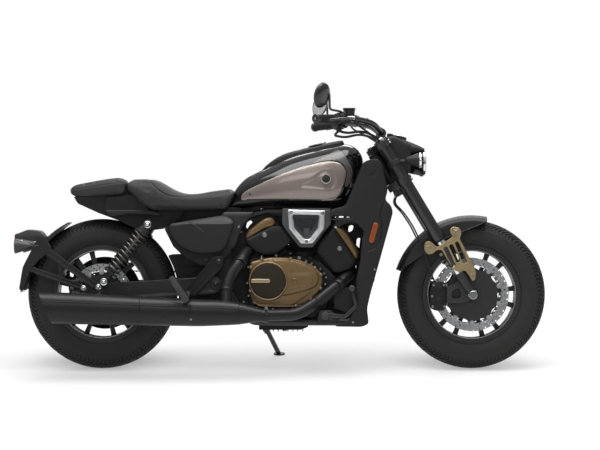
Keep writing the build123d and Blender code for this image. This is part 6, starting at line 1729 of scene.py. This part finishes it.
FAN_COWL = [(984, 652), (1060, 652), (1128, 640), (1128, 400), (1112, 330), (1120, 262), (1060, 222),
            (880, 216), (880, 262), (930, 300), (980, 370), (985, 430), (1040, 470), (1050, 520), (1040, 560),
            (984, 588)]
COWL_HOLES = [[(1062, 588), (1064, 618), (1088, 620), (1082, 594)],
              [(1096, 528), (1100, 566), (1126, 560), (1124, 516)],
              [(1072, 412), (1074, 444), (1100, 446), (1096, 412)]]


def plate(outline, y, holes=(), cut=8.0, finish=0):
    """A flat moulding on any outline, as thick as from -y to y."""
    return sculpted(outline, level(y), -y, holes, cut=cut, edge=2, spacing=26, finish=finish)


# Each plate is a flat black sheet where the gaps between the pieces fall in shade: partly a real part, partly
# painted shade.
parts_and_shade_fill = [plate(TANK_SHADOW_TRAY, 60), plate(MANIFOLD, 52), plate(PIVOT_COVER, 80, cut=16), plate(LINER, 76, cut=14),
        plate(SEAT_BOX, 78, cut=12), plate(FAN_COWL, 44, COWL_HOLES, 12),
        plate(UPPER_MOUNT, 66, MOUNT_HOLES, 4), plate(TAIL_NECK, 78, cut=8)]
for x in np.arange(780, 990, 24):
    parts_and_shade_fill.append(block([(x, 652), (x, 668), (x + 5, 668), (x + 5, 652)], -56, 56, 0.8, 1))
parts_and_shade_fill += [pipe([(700, -64, 678), (780, -70, 662), (900, -72, 668), (1010, -66, 676), (1100, -52, 720)], 7.5, 40,
              1, 16, 6),
         pipe([(1000, -58, 640), (1040, -62, 640), (1100, -60, 634), (1128, -56, 600)], 9, 30, 1, 16, 6)]
for z in (300, 330, 360, 390, 420):
    parts_and_shade_fill.append(ribbon([(476, -80.5, z), (540, -81.5, z + 4), (600, -80.5, z + 8)], 2.4, 8, False))
for x, z in [(486, 290), (612, 290), (600, 590)]:
    parts_and_shade_fill.append(bolt((x, -80, z), (0, -1, 0), 4.5, 4, 2))
for side in (-1, 1):
    for x, z in [(800, 560), (930, 566)]:
        parts_and_shade_fill.append(lathe([(0, 0), (0, 21), (26, 21), (30, 18), (30, 0)], (x, side * 50, z), (0, side, 0), 32))
piece("trays_ducts_and_shade_fill", parts_and_shade_fill, [black_and_shade_fill, rubber, bare_steel], "chassis", sharp=34)

# ---------------------------------------------------------------- tail
# A black moulded tray under the seat cowl that is open over the tyre, with a dark grey side panel whose lower
# part is folded out along a crease.
dress(black_and_shade_fill, "tail_body")
TAIL_SIDE = [(12, 690), (24, 740), (133, 748), (196, 690), (262, 666), (252, 660), (125, 668), (38, 656)]
FOLD = [(12, 690), (150, 690), (262, 666)]
tail = []
for side in (-1, 1):
    tail.append(sculpted(TAIL_SIDE,
                         lambda x, z, d: 96 + 12 * np.clip((693 - z) / 13, 0, 1) + 1.2 * np.clip(d / 6, 0, 1),
                         92.2, cut=9, edge=2, spacing=6, side=side, lines=[FOLD]))
piece("tail_side_panels", tail, [panel_grey], "chassis", sharp=24)

# ---------------------------------------------------------------- seat
# A foam saddle in matte charcoal vinyl, raised to a bolster behind the rider. Its top panel is sewn to its
# side panels in one seam a side, with a row of stitches below it, and piping runs round its foot.
vinyl = Finish("vinyl_charcoal", Specular_IOR_Level=0.3)
leather = vinyl.node("ShaderNodeTexVoronoi", {"feature": "DISTANCE_TO_EDGE"},
                     {"Vector": vinyl.place(), "Scale": 640.0}, output="Distance")
wear = vinyl.noise(95, 3)
vinyl.colour(vinyl.mix(wear, tone(40, 40, 41), tone(54, 54, 55)))
vinyl.rough(0.52 + 0.12 * wear)
vinyl.bump(vinyl.ramp(leather, 0.0, 0.25), 0.16)
thread = coated("stitch_thread", (0.7, 2), (60, 60, 61), (92, 92, 93), (0.7, 0.1), 0.1, Specular_IOR_Level=0.2)

VOXEL, PRESSURE, CLOTH_FRAMES = 0.005, 4.0, 20


def baked_mesh(made):
    """Gives a piece the mesh that its modifiers make, and takes the modifiers off."""
    graph = bpy.context.evaluated_depsgraph_get()
    mesh = bpy.data.meshes.new_from_object(made.evaluated_get(graph))
    made.modifiers.clear()
    made.data = mesh
    mesh.shade_smooth()


def corners_of(mesh):
    """The places of a mesh's corners, one row each, in metres."""
    places = np.empty(len(mesh.vertices) * 3, np.float32)
    mesh.vertices.foreach_get("co", places)
    return places.reshape(-1, 3).astype(float)


def upright(places):
    """Leaned places in metres back in the machine's own upright millimetres."""
    return (places - ground_origin) @ lean_axes.T * 1000


def stuffed(made, most):
    """Swells a closed cover over its foam: cloth under pressure, no point moved by more than `most` mm."""
    voxels = made.modifiers.new("voxels", "REMESH")
    voxels.mode, voxels.voxel_size = "VOXEL", VOXEL
    baked_mesh(made)
    start = corners_of(made.data)
    cloth = made.modifiers.new("cloth", "CLOTH")
    cloth.settings.use_pressure = True
    cloth.settings.uniform_pressure_force = PRESSURE
    cloth.settings.effector_weights.gravity = 0
    for step in range(1, CLOTH_FRAMES + 1):
        bpy.context.scene.frame_set(step)
    baked_mesh(made)
    bpy.context.scene.frame_set(1)
    moved = corners_of(made.data) - start
    travel = np.linalg.norm(moved, axis=1, keepdims=True)
    settled = start + moved * np.minimum(1, most / 1000 / np.maximum(travel, 1e-9))
    made.data.vertices.foreach_set("co", settled.ravel())
    finer = made.modifiers.new("finer", "SUBSURF")
    finer.levels = finer.render_levels = 1
    baked_mesh(made)


def sew(made, lines, width, depth, reach):
    """Presses a channel into both sides along lines of (x, z), where the side stands beyond reach(x)."""
    mesh = made.data
    places = corners_of(mesh)
    flat = upright(places)
    normals = np.empty(len(mesh.vertices) * 3, np.float32)
    mesh.vertices.foreach_get("normal", normals)
    dip = np.zeros(len(flat))
    for line in lines:
        near = np.exp(-(line_distance(flat[:, 0], flat[:, 2], line) / width) ** 2)
        dip = np.maximum(dip, near * (np.abs(flat[:, 1]) > reach(flat[:, 0])))
    places -= normals.reshape(-1, 3) * (depth / 1000 * dip)[:, None]
    mesh.vertices.foreach_set("co", places.ravel())
    mesh.update()


def on_side(made, line, side, lift=0.0):
    """Points of a line of (x, z) laid on a piece's side, each where a ray from outside meets it."""
    tree = BVHTree.FromPolygons([tuple(place) for place in upright(corners_of(made.data))],
                                [tuple(face.vertices) for face in made.data.polygons])
    spots = []
    for x, z in line:
        hit = tree.ray_cast(Vector((x, side * 400, z)), Vector((0, -side, 0)))[0]
        if hit:
            spots.append((hit[0], hit[1] + side * lift, hit[2]))
    return np.array(spots)


def spaced(line, gap):
    """A line of (x, z) points resampled at even gaps."""
    line = np.asarray(line, float)
    along = np.concatenate([[0], np.cumsum(np.linalg.norm(np.diff(line, axis=0), axis=1))])
    at = np.linspace(0, along[-1], int(along[-1] / gap) + 2)
    return np.column_stack([np.interp(at, along, line[:, axis]) for axis in (0, 1)])


def stitches(made, line, drop, gap=7.0):
    """A row of short thread beads on both sides, a little below a line of (x, z)."""
    beads = []
    for side in (-1, 1):
        spots = on_side(made, spaced(np.asarray(line) - (0, drop), gap), side, 0.2)
        for a, b in zip(spots[:-1], spots[1:]):
            beads.append(ribbon(np.linspace(a + 0.14 * (b - a), a + 0.72 * (b - a), 3), 0.75, 6, False, 0))
    return beads


# columns: x, low z, high z, half width, all 3 mm inside the finished cover
SEAT = [(109, 781, 801, 84), (112, 776, 807, 104), (124, 766, 810, 118), (150, 741, 811, 129),
        (204, 693, 811, 140), (240, 689, 806, 147), (262, 689, 795, 150), (300, 689, 772, 152),
        (340, 689, 755, 152), (377, 689, 748, 147), (420, 689, 750, 138), (470, 689, 759, 124),
        (515, 689, 768, 112), (538, 689, 772, 104), (544, 692, 769, 96)]
NOSE_START, NOSE_END, NOSE_LEAN = 470.0, 540.0, 0.42
SEAM = [(206, 818), (214, 802), (232, 784), (251, 767), (272, 753), (295, 744), (344, 738), (411, 743),
        (477, 757), (566, 778)]
points, faces, number = hull(SEAT, 0.42, 4.2, 8.0, stations=90, around=96)
share = np.clip((points[:, 0] - NOSE_START) / (NOSE_END - NOSE_START), 0, 1)
points[:, 0] += (points[:, 2] - SEAT[-1][1]) * NOSE_LEAN * share
saddle = piece("saddle", [(points, faces, number)], [vinyl], "chassis", ["seat"])
stuffed(saddle, 6)
seat_x, seat_half = np.array(SEAT)[:, 0], np.array(SEAT)[:, 3]
sew(saddle, [SEAM], 3.2, 2.6, lambda x: np.where(x < 246, 0, 0.62 * np.interp(x, seat_x, seat_half)))
foot_line = [(216, 693), (300, 693), (400, 693), (500, 693), (544, 694)]
trim = stitches(saddle, SEAM[3:], 6)
for side in (-1, 1):
    trim.append(ribbon(on_side(saddle, spaced(foot_line, 12), side, 0.4), 2.2, 10, False, 1))
piece("saddle_stitching", trim, [thread, vinyl], "chassis", sharp=60)

# ---------------------------------------------------------------- seat cowl
# A slim padded hump in the same vinyl behind the saddle, pulled over a moulded base and piped round its foot.
# columns: x, low z, high z, half width, all 2 mm inside the finished cover
COWL = [(-141, 764, 771, 48), (-137, 755, 778, 64), (-126, 747, 785, 76), (-110, 741, 790, 84),
        (-60, 741, 800, 99), (0, 745, 811, 109), (60, 749, 819, 113), (88, 752, 820, 112), (100, 754, 815, 108),
        (106, 758, 806, 102)]
cowl = piece("cowl_pad", [hull(COWL, 0.4, 4.2, 8.0, stations=70, around=88)], [vinyl], "chassis", ["seat_cowl"])
stuffed(cowl, 4)
COWL_SEAM = [(-128, 772), (-60, 782), (20, 794), (88, 803)]
cowl_x, cowl_half = np.array(COWL)[:, 0], np.array(COWL)[:, 3]
sew(cowl, [COWL_SEAM], 2.6, 1.8, lambda x: 0.7 * np.interp(x, cowl_x, cowl_half))
trim = stitches(cowl, COWL_SEAM, 5)
for side in (-1, 1):
    trim.append(ribbon(on_side(cowl, spaced([(-112, 747), (-60, 746), (0, 749), (60, 753), (92, 757)], 12),
                               side, 0.4), 2.0, 10, False, 1))
piece("cowl_stitching", trim, [thread, vinyl], "chassis", sharp=60)

# ---------------------------------------------------------------- swingarm
# A fabricated steel arm either side of the tyre, in satin black, with a pressed channel along each, a cross
# tube ahead of the tyre and a bushed pivot. Acorn nuts hold the shocks and the mudguard stays.
frame_black = coated("frame_satin_black", (60, 3), (14, 14, 15), (23, 23, 24), (0.40, 0.14), 0.06, (1.3, 3),
                     True, soften=1.5, Specular_IOR_Level=0.4, Coat_Weight=0.25, Coat_Roughness=0.3)
dress(frame_black, "frame_spine", "frame_cradle", "side_stand")
dress(bare_steel, "rear_axle")

ARM = [(20, 288), (-40, 284), (-92, 330), (-86, 366), (-20, 372), (168, 380), (300, 388), (500, 402),
       (530, 367), (494, 328), (200, 308)]
PIVOT, CROSS_TUBE, SHOCK_FOOT = (494.0, 367.0), (408.0, 362.0), (18.0, 378.0)


def acorn(x, y, z, side, radius, finish):
    """Domed nut on a washer, facing out from one side."""
    return [lathe([(-1, 0), (-1, radius * 1.35), (1.4, radius * 1.35), (1.8, radius * 1.2), (1.8, 0)],
                  (x, y, z), (0, side, 0), 32, finish),
            lathe(drum(1, radius * 0.7, radius), (x, y, z), (0, side, 0), 36, finish, flats=1.0),
            lathe([(radius * 0.6, 0), (radius * 0.6, radius * 0.84), (radius * 0.95, radius * 0.74),
                   (radius * 1.25, radius * 0.42), (radius * 1.35, 0)], (x, y, z), (0, side, 0), 28, finish)]


swing = [pipe([(CROSS_TUBE[0], -118, CROSS_TUBE[1]), (CROSS_TUBE[0], 118, CROSS_TUBE[1])], 27, 1, 0, 40, 3)]
for side in (-1, 1):
    swing += [sculpted(ARM, raised(146.2, -2.6, 7, 4), 118, cut=16, edge=3, spacing=7, side=side),
              lathe([(84, 0), (84, 24), (144, 24), (148, 22), (149, 16), (149, 0)], (PIVOT[0], 0, PIVOT[1]),
                    (0, side, 0), 44)]
    swing += acorn(PIVOT[0], side * 149, PIVOT[1], side, 11, 0)
    swing += acorn(0, side * 147, REAR_AXLE_Z, side, 15, 0)
    for x, z in [(-6, 355), (-70, 350)]:
        swing += acorn(x, side * 157, z, side, 9, 2)
    swing.append(lathe(drum(116, 184, 11), (SHOCK_FOOT[0], 0, SHOCK_FOOT[1]), (0, side, 0), 28, 1))
piece("swingarm_pair", swing, [frame_black, bare_steel, chrome], "chassis", ["swingarm"],
      sharp=32)

# ---------------------------------------------------------------- rear shock absorbers
# Twin coil-over dampers: a satin body, a bright rod, and a plated spring of ten turns between two collars.
SHOCK_TOP, SHOCK_Y = (204.0, 622.0), 162.0
SHOCK_LENGTH = float(np.hypot(SHOCK_TOP[0] - SHOCK_FOOT[0], SHOCK_TOP[1] - SHOCK_FOOT[1]))
SPRING_LOW, SPRING_HIGH, SPRING_RADIUS, WIRE_RADIUS, SPRING_TURNS = 52.0, SHOCK_LENGTH - 46.0, 28.5, 4.4, 10.0
shock_way = np.array([SHOCK_TOP[0] - SHOCK_FOOT[0], 0.0, SHOCK_TOP[1] - SHOCK_FOOT[1]]) / SHOCK_LENGTH
shock_side = np.cross(shock_way, (0.0, 1.0, 0.0))
shocks = []
for side in (-1, 1):
    foot = np.array([SHOCK_FOOT[0], side * SHOCK_Y, SHOCK_FOOT[1]])
    shocks += [lathe([(12, 0), (12, 12), (20, 15), (44, 15), (46, 33), (52, 33), (52, 15), (150, 15), (152, 13),
                      (152, 0)], foot, shock_way, 44),
               lathe(drum(150, SHOCK_LENGTH - 40, 8), foot, shock_way, 28, 2),
               lathe([(SHOCK_LENGTH - 60, 0), (SHOCK_LENGTH - 60, 18), (SHOCK_LENGTH - 46, 20),
                      (SHOCK_LENGTH - 46, 34), (SHOCK_LENGTH - 40, 34), (SHOCK_LENGTH - 38, 25),
                      (SHOCK_LENGTH - 16, 22), (SHOCK_LENGTH - 14, 0)], foot, shock_way, 44)]
    for along in (0, SHOCK_LENGTH):
        eye = foot + shock_way * along
        shocks.append(lathe([(-14, 0), (-14, 18), (-12, 20), (12, 20), (14, 18), (14, 0)], eye, (0, 1, 0), 40))
        shocks += acorn(eye[0], eye[1] + side * 14, eye[2], side, 11, 1)
    turn = np.linspace(0, 2 * pi * SPRING_TURNS, int(SPRING_TURNS * 26))
    share = np.linspace(0, 1, len(turn))
    climb = SPRING_LOW + WIRE_RADIUS + (SPRING_HIGH - SPRING_LOW - 2 * WIRE_RADIUS) * share
    coil = (foot + climb[:, None] * shock_way
            + SPRING_RADIUS
            * (np.cos(turn)[:, None] * shock_side + np.sin(turn)[:, None] * np.array([0, 1.0, 0])))
    shocks.append(ribbon(coil, WIRE_RADIUS, 12, False, 2))
spring_steel = coated("spring_plated", (12, 2), (84, 82, 79), (118, 116, 112), (0.26, 0.12), Metallic=1.0)
piece("shock_absorber_pair", shocks, [frame_black, chrome, spring_steel], "chassis", ["shock_absorbers"],
      sharp=36)

# ---------------------------------------------------------------- rear caliper
# A two-piston caliper and its torque bracket on the right, cast and painted black, clamped over the disc.
REAR_CALIPER = [(-140, 336), (-140, 384), (-92, 386), (-82, 338)]
rear_brake = [sculpted(REAR_CALIPER, raised(96, 4, 0, 6), 71.2, cut=9, edge=4, spacing=6),
              block([(-136, 340), (-136, 380), (-94, 382), (-86, 342)], -54.4, -36, 2, 6),
              block([(-140, 340), (-140, 380), (-128, 380), (-128, 340)], -71.4, -54.2, 1, 3),
              block([(-112, 342), (-112, 368), (-68, 368), (-68, 344)], -118, -99, 2, 6)]
for x, z in [(-124, 350), (-124, 371)]:
    rear_brake.append(lathe([(0, 0), (0, 9), (1.6, 8.6), (2, 7), (2, 0)], (x, -100, z), (0, -1, 0), 28, 1))
rear_brake.append(bolt((-100, -100, 360), (0, -1, 0), 5, 4, 1))
piece("rear_brake_caliper", rear_brake, [engine_black, bare_steel], "chassis", ["rear_caliper"])

# ---------------------------------------------------------------- mudguard and plate holder
# The rear mudguard is a short moulded blade that hangs behind the tyre from two cast stays a side, bolted to
# the swingarm. It carries a blank plate, the tail lamp and the rear indicators.
BLADE_INNER, BLADE_OUTER, BLADE_HALF = 332.4, 340.4, 81.5
blade_angle = np.radians(np.linspace(115, 177, 48))[:, None]
blade_share = np.linspace(-1, 1, 29)[None]
edge_lift = 18 * np.abs(blade_share) ** 8 * np.clip((blade_angle - radians(115)) / radians(14), 0, 1)


def blade(radius, drop):
    """Rows of the mudguard's section: flat across, with its edges turned in towards the tyre."""
    reach = radius - edge_lift * drop
    return np.stack([reach * np.cos(blade_angle), BLADE_HALF * blade_share + 0 * reach * blade_angle,
                     REAR_AXLE_Z + reach * np.sin(blade_angle)], -1)


holder = [walled(blade(BLADE_OUTER, 1.0), blade(BLADE_INNER + 4.6, 0.9))]
for start, end, width in [((-225, 508), (-18, 358), 29), ((-318, 441), (-72, 352), 23),
                          ((-172, 466), (-164, 384), 17)]:
    for side in (-1, 1):
        holder.append(sculpted(bar_outline(start, end, width), raised(155.6, -2.0, 4, 3), 146,
                               cut=7, edge=2, spacing=5, side=side))
STAY = [(-232, 492), (-205, 522), (-240, 578), (-268, 562), (-330, 440), (-346, 345), (-330, 336), (-300, 420),
        (-262, 470)]
for side in (-1, 1):
    holder.append(sculpted(STAY, level(155.6), 146, cut=10, edge=2.4, spacing=8, side=side))
    for x, z in [(-288, 448), (-312, 404)]:
        holder += acorn(x, side * 155, z, side, 5, 0)
CROSS = [(-240, 574), (-268, 562), (-318, 440), (-298, 436), (-262, 500)]
holder += [sculpted(CROSS, level(146), -146, cut=8, edge=2, spacing=16),
           block(bar_outline((-321, 456), (-347, 330), 3), -94, 94, 0.6, 1, 2),
           block([(-300, 430), (-319, 432), (-335, 362), (-324, 360)], -30, 30, 1, 4)]
for y in (-70, 70):
    holder.append(lathe([(0, 0), (0, 5), (2, 4.4), (2.6, 0)], (-326.4, y, 446), (-0.98, 0, 0.2), 20, 1))
plate_white = coated("blank_plate", (45, 3), (205, 206, 206), (224, 225, 225), (0.34, 0.12), 0.05, (6, 2),
                     Metallic=0.1, Coat_Weight=0.3, Coat_Roughness=0.2)
piece("mudguard_and_plate_holder", holder, [panel_grey, bare_steel, plate_white], "chassis", ["plate_holder"],
      sharp=32)

# ---------------------------------------------------------------- rear lamps
# One tail lamp in a grey housing with a dark red lens, and two bullet indicators on rubber stalks.
TAIL_LAMP = [(-246, 572), (-268, 596), (-318, 601), (-372, 580), (-374, 560), (-290, 548), (-262, 556)]
LENS = [(-352, 588), (-376, 580), (-379, 558), (-356, 553)]
red_lens = faceted("lens_deep_red", 260.0, (88, 14, 14), (132, 26, 24), (0.12, 0.2), Coat_Weight=1.0,
                   Coat_Roughness=0.04, Transmission_Weight=0.3, IOR=1.49)
lamp_grey = coated("lamp_housing_grey", (40, 3), (44, 44, 45), (60, 60, 61), (0.36, 0.14), 0.05, (1.0, 2),
                   soften=1.2, Specular_IOR_Level=0.45)
rear_light = [block(TAIL_LAMP, -61, 61, 6, 9), block(LENS, -55, 55, 4, 6, 1)]
for side in (-1, 1):
    rear_light += [(shell[0], shell[1], {2: 0, 3: 0, 4: 4}[shell[2]]) for shell
                   in bullet((-326, side * 152, 530), -1)]
    stalk = np.linspace((-262, side * 150, 528), (-324, side * 152, 530), 5)
    rear_light.append(ribbon(stalk, np.array([8.5, 7.4, 7.0, 7.4, 9.0]), 20, False, 2))
piece("tail_lamp_and_indicators", rear_light, [lamp_grey, red_lens, satin_plastic, chrome, smoked_lens],
      "chassis", ["rear_lamps"], sharp=36)

# ---------------------------------------------------------------- foot controls
# Forward-set rider's pegs with ribbed rubber, a brake pedal on the right and a gear lever on the left, and
# folding pillion pegs on hangers. All are cast and painted black, with textured grey pads.
peg_grey = faceted("peg_textured_grey", 420.0, (34, 34, 35), (74, 74, 75), (0.5, 0.15), 0.5, Metallic=0.3)
PEG_BRACKET = [(925, 190), (1015, 190), (1015, 232), (985, 256), (935, 256)]
HANGER = [(488, 486), (532, 486), (524, 440), (404, 316), (366, 316), (366, 346)]
pegs = []
for side in (-1, 1):
    pegs.append(sculpted(PEG_BRACKET, level(125), 92, cut=10, edge=3, spacing=10, side=side))
    pegs += acorn(986, side * 125, 222, side, 8, 0)
    peg_profile = [(0, 0), (0, 12)]
    for rib in range(13):
        start = 14 + rib * 12.8
        peg_profile += [(start, 12), (start + 1, 15.4), (start + 8.6, 15.4), (start + 9.6, 12)]
    peg_profile += [(182, 12), (182, 16), (187, 16), (188, 14), (188, 0)]
    pegs.append(lathe(peg_profile, (960, side * 118, 238), (0, side, 0), 40, 2))
    for start, end, width in [((960, 238), (1046, 230), 17), ((1040, 226), (1098, 280), 15),
                              ((1094, 272), (1074, 352), 14)]:
        low_y, high_y = sorted((side * 176, side * 188))
        pegs.append(block(bar_outline(start, end, width), low_y, high_y, 2.5, 6))
    toe = [(0, 0), (0, 11), (14, 11)]
    for rib in range(5):
        start = 16 + rib * 11
        toe += [(start, 10), (start + 1, 12.4), (start + 7, 12.4), (start + 8, 10)]
    toe += [(72, 11), (74, 9), (74, 0)]
    pegs += [lathe(toe, (1074, side * 176, 352), (0, side, 0), 32, 2),
             sculpted(HANGER, raised(164.6, -2.2, 6, 3), 156, cut=14, edge=2.5, spacing=7, side=side, finish=3),
             lathe(drum(118, 160, 10), (508, 0, 466), (0, side, 0), 28)]
    pegs += acorn(508, side * 164.6, 466, side, 8, 0)
    pegs.append(lathe([(156, 0), (156, 9), (270, 9), (272, 7), (272, 0)], (383, 0, 330), (0, side, 0), 28, 3))
    low_y, high_y = sorted((side * 264, side * 281))
    pegs.append(block(bar_outline((386, 340), (373, 306), 19), low_y, high_y, 3, 7))
    low_y, high_y = sorted((side * 282, side * 303))
    pegs.append(block(bar_outline((379, 296), (309, 402), 26), low_y, high_y, 4, 10, 2))
piece("foot_control_set", pegs, [fork_black, bare_steel, peg_grey, black_and_shade_fill], "chassis", ["foot_pegs"],
      sharp=34)

# ---------------------------------------------------------------- drive belt
# A toothed rubber belt on the left, from the gearbox pulley back to the pulley on the wheel.
REAR_PULLEY, FRONT_PULLEY = (0.0, REAR_AXLE_Z, 92.3), (640.0, 372.0, 36.0)
BELT_LOW, BELT_HIGH, BELT_BACK, TOOTH, TEETH = 89.0, 109.0, 7.0, 3.2, 121
gap = np.hypot(FRONT_PULLEY[0], FRONT_PULLEY[1] - REAR_PULLEY[1])
tilt = np.arctan2(FRONT_PULLEY[1] - REAR_PULLEY[1], FRONT_PULLEY[0])
swing_angle = np.arccos((REAR_PULLEY[2] - FRONT_PULLEY[2]) / gap)
loop = []
for (x, z, radius), first, last, count in [(REAR_PULLEY, swing_angle, 2 * pi - swing_angle, 160),
                                           (FRONT_PULLEY, -swing_angle, swing_angle, 60)]:
    for turn in tilt + np.linspace(first, last, count):
        loop.append((x + radius * cos(turn), z + radius * sin(turn)))
loop = np.array(loop + loop[:1])
belt_along = np.concatenate([[0], np.cumsum(np.linalg.norm(np.diff(loop, axis=0), axis=1))])
belt_at = np.linspace(0, belt_along[-1], TEETH * 6, endpoint=False)
belt_line = np.column_stack([np.interp(belt_at, belt_along, loop[:, axis]) for axis in (0, 1)])
belt_way = np.roll(belt_line, -1, 0) - np.roll(belt_line, 1, 0)
belt_way /= np.linalg.norm(belt_way, axis=1, keepdims=True)
belt_out = np.column_stack([belt_way[:, 1], -belt_way[:, 0]])
depth_in = np.where(np.arange(len(belt_line)) % 6 < 3, 0.0, TOOTH)[:, None]
back_line, tooth_line = belt_line + belt_out * BELT_BACK, belt_line + belt_out * (depth_in + 0.2)
section = [(back_line, BELT_LOW), (back_line, BELT_HIGH), (tooth_line, BELT_HIGH), (tooth_line, BELT_LOW)]
belt_grid = np.stack([np.column_stack([line[:, 0], 0 * line[:, 0] + y, line[:, 1]]) for line, y in section], 1)
piece("toothed_belt", [(*skin(belt_grid, True, True), 0)], [rubber], "chassis", ["drive_belt"],
      sharp=30)

# ---------------------------------------------------------------- belt guard
# A flat moulded black guard between the belt's large pulley and the left arm, on tabs screwed to the arm. It
# stands clear of the belt, and shows through the spokes from the right.
GUARD_INNER, GUARD_OUTER = 108.0, 158.0
guard_rows = []
for angle in np.radians(np.linspace(12, 300, 88)):
    way = np.array([cos(angle), 0.0, sin(angle)])
    guard_rows.append([np.array([0, y, REAR_AXLE_Z]) + way * radius for radius, y
                       in [(GUARD_INNER, 112.2), (GUARD_INNER + 0.6, 115), (GUARD_OUTER - 0.6, 115),
                           (GUARD_OUTER, 112.2), (GUARD_OUTER - 0.6, 111.6), (GUARD_INNER + 0.6, 111.6)]])
guard_shell = [beam(guard_rows, 0)]
for x, z in [(118, 372), (-96, 356)]:
    guard_shell.append(block(bar_outline((x - 14, z), (x + 14, z), 22), 112, 118.5, 1, 4))
piece("belt_guard", guard_shell, [black_and_shade_fill], "chassis", sharp=34)
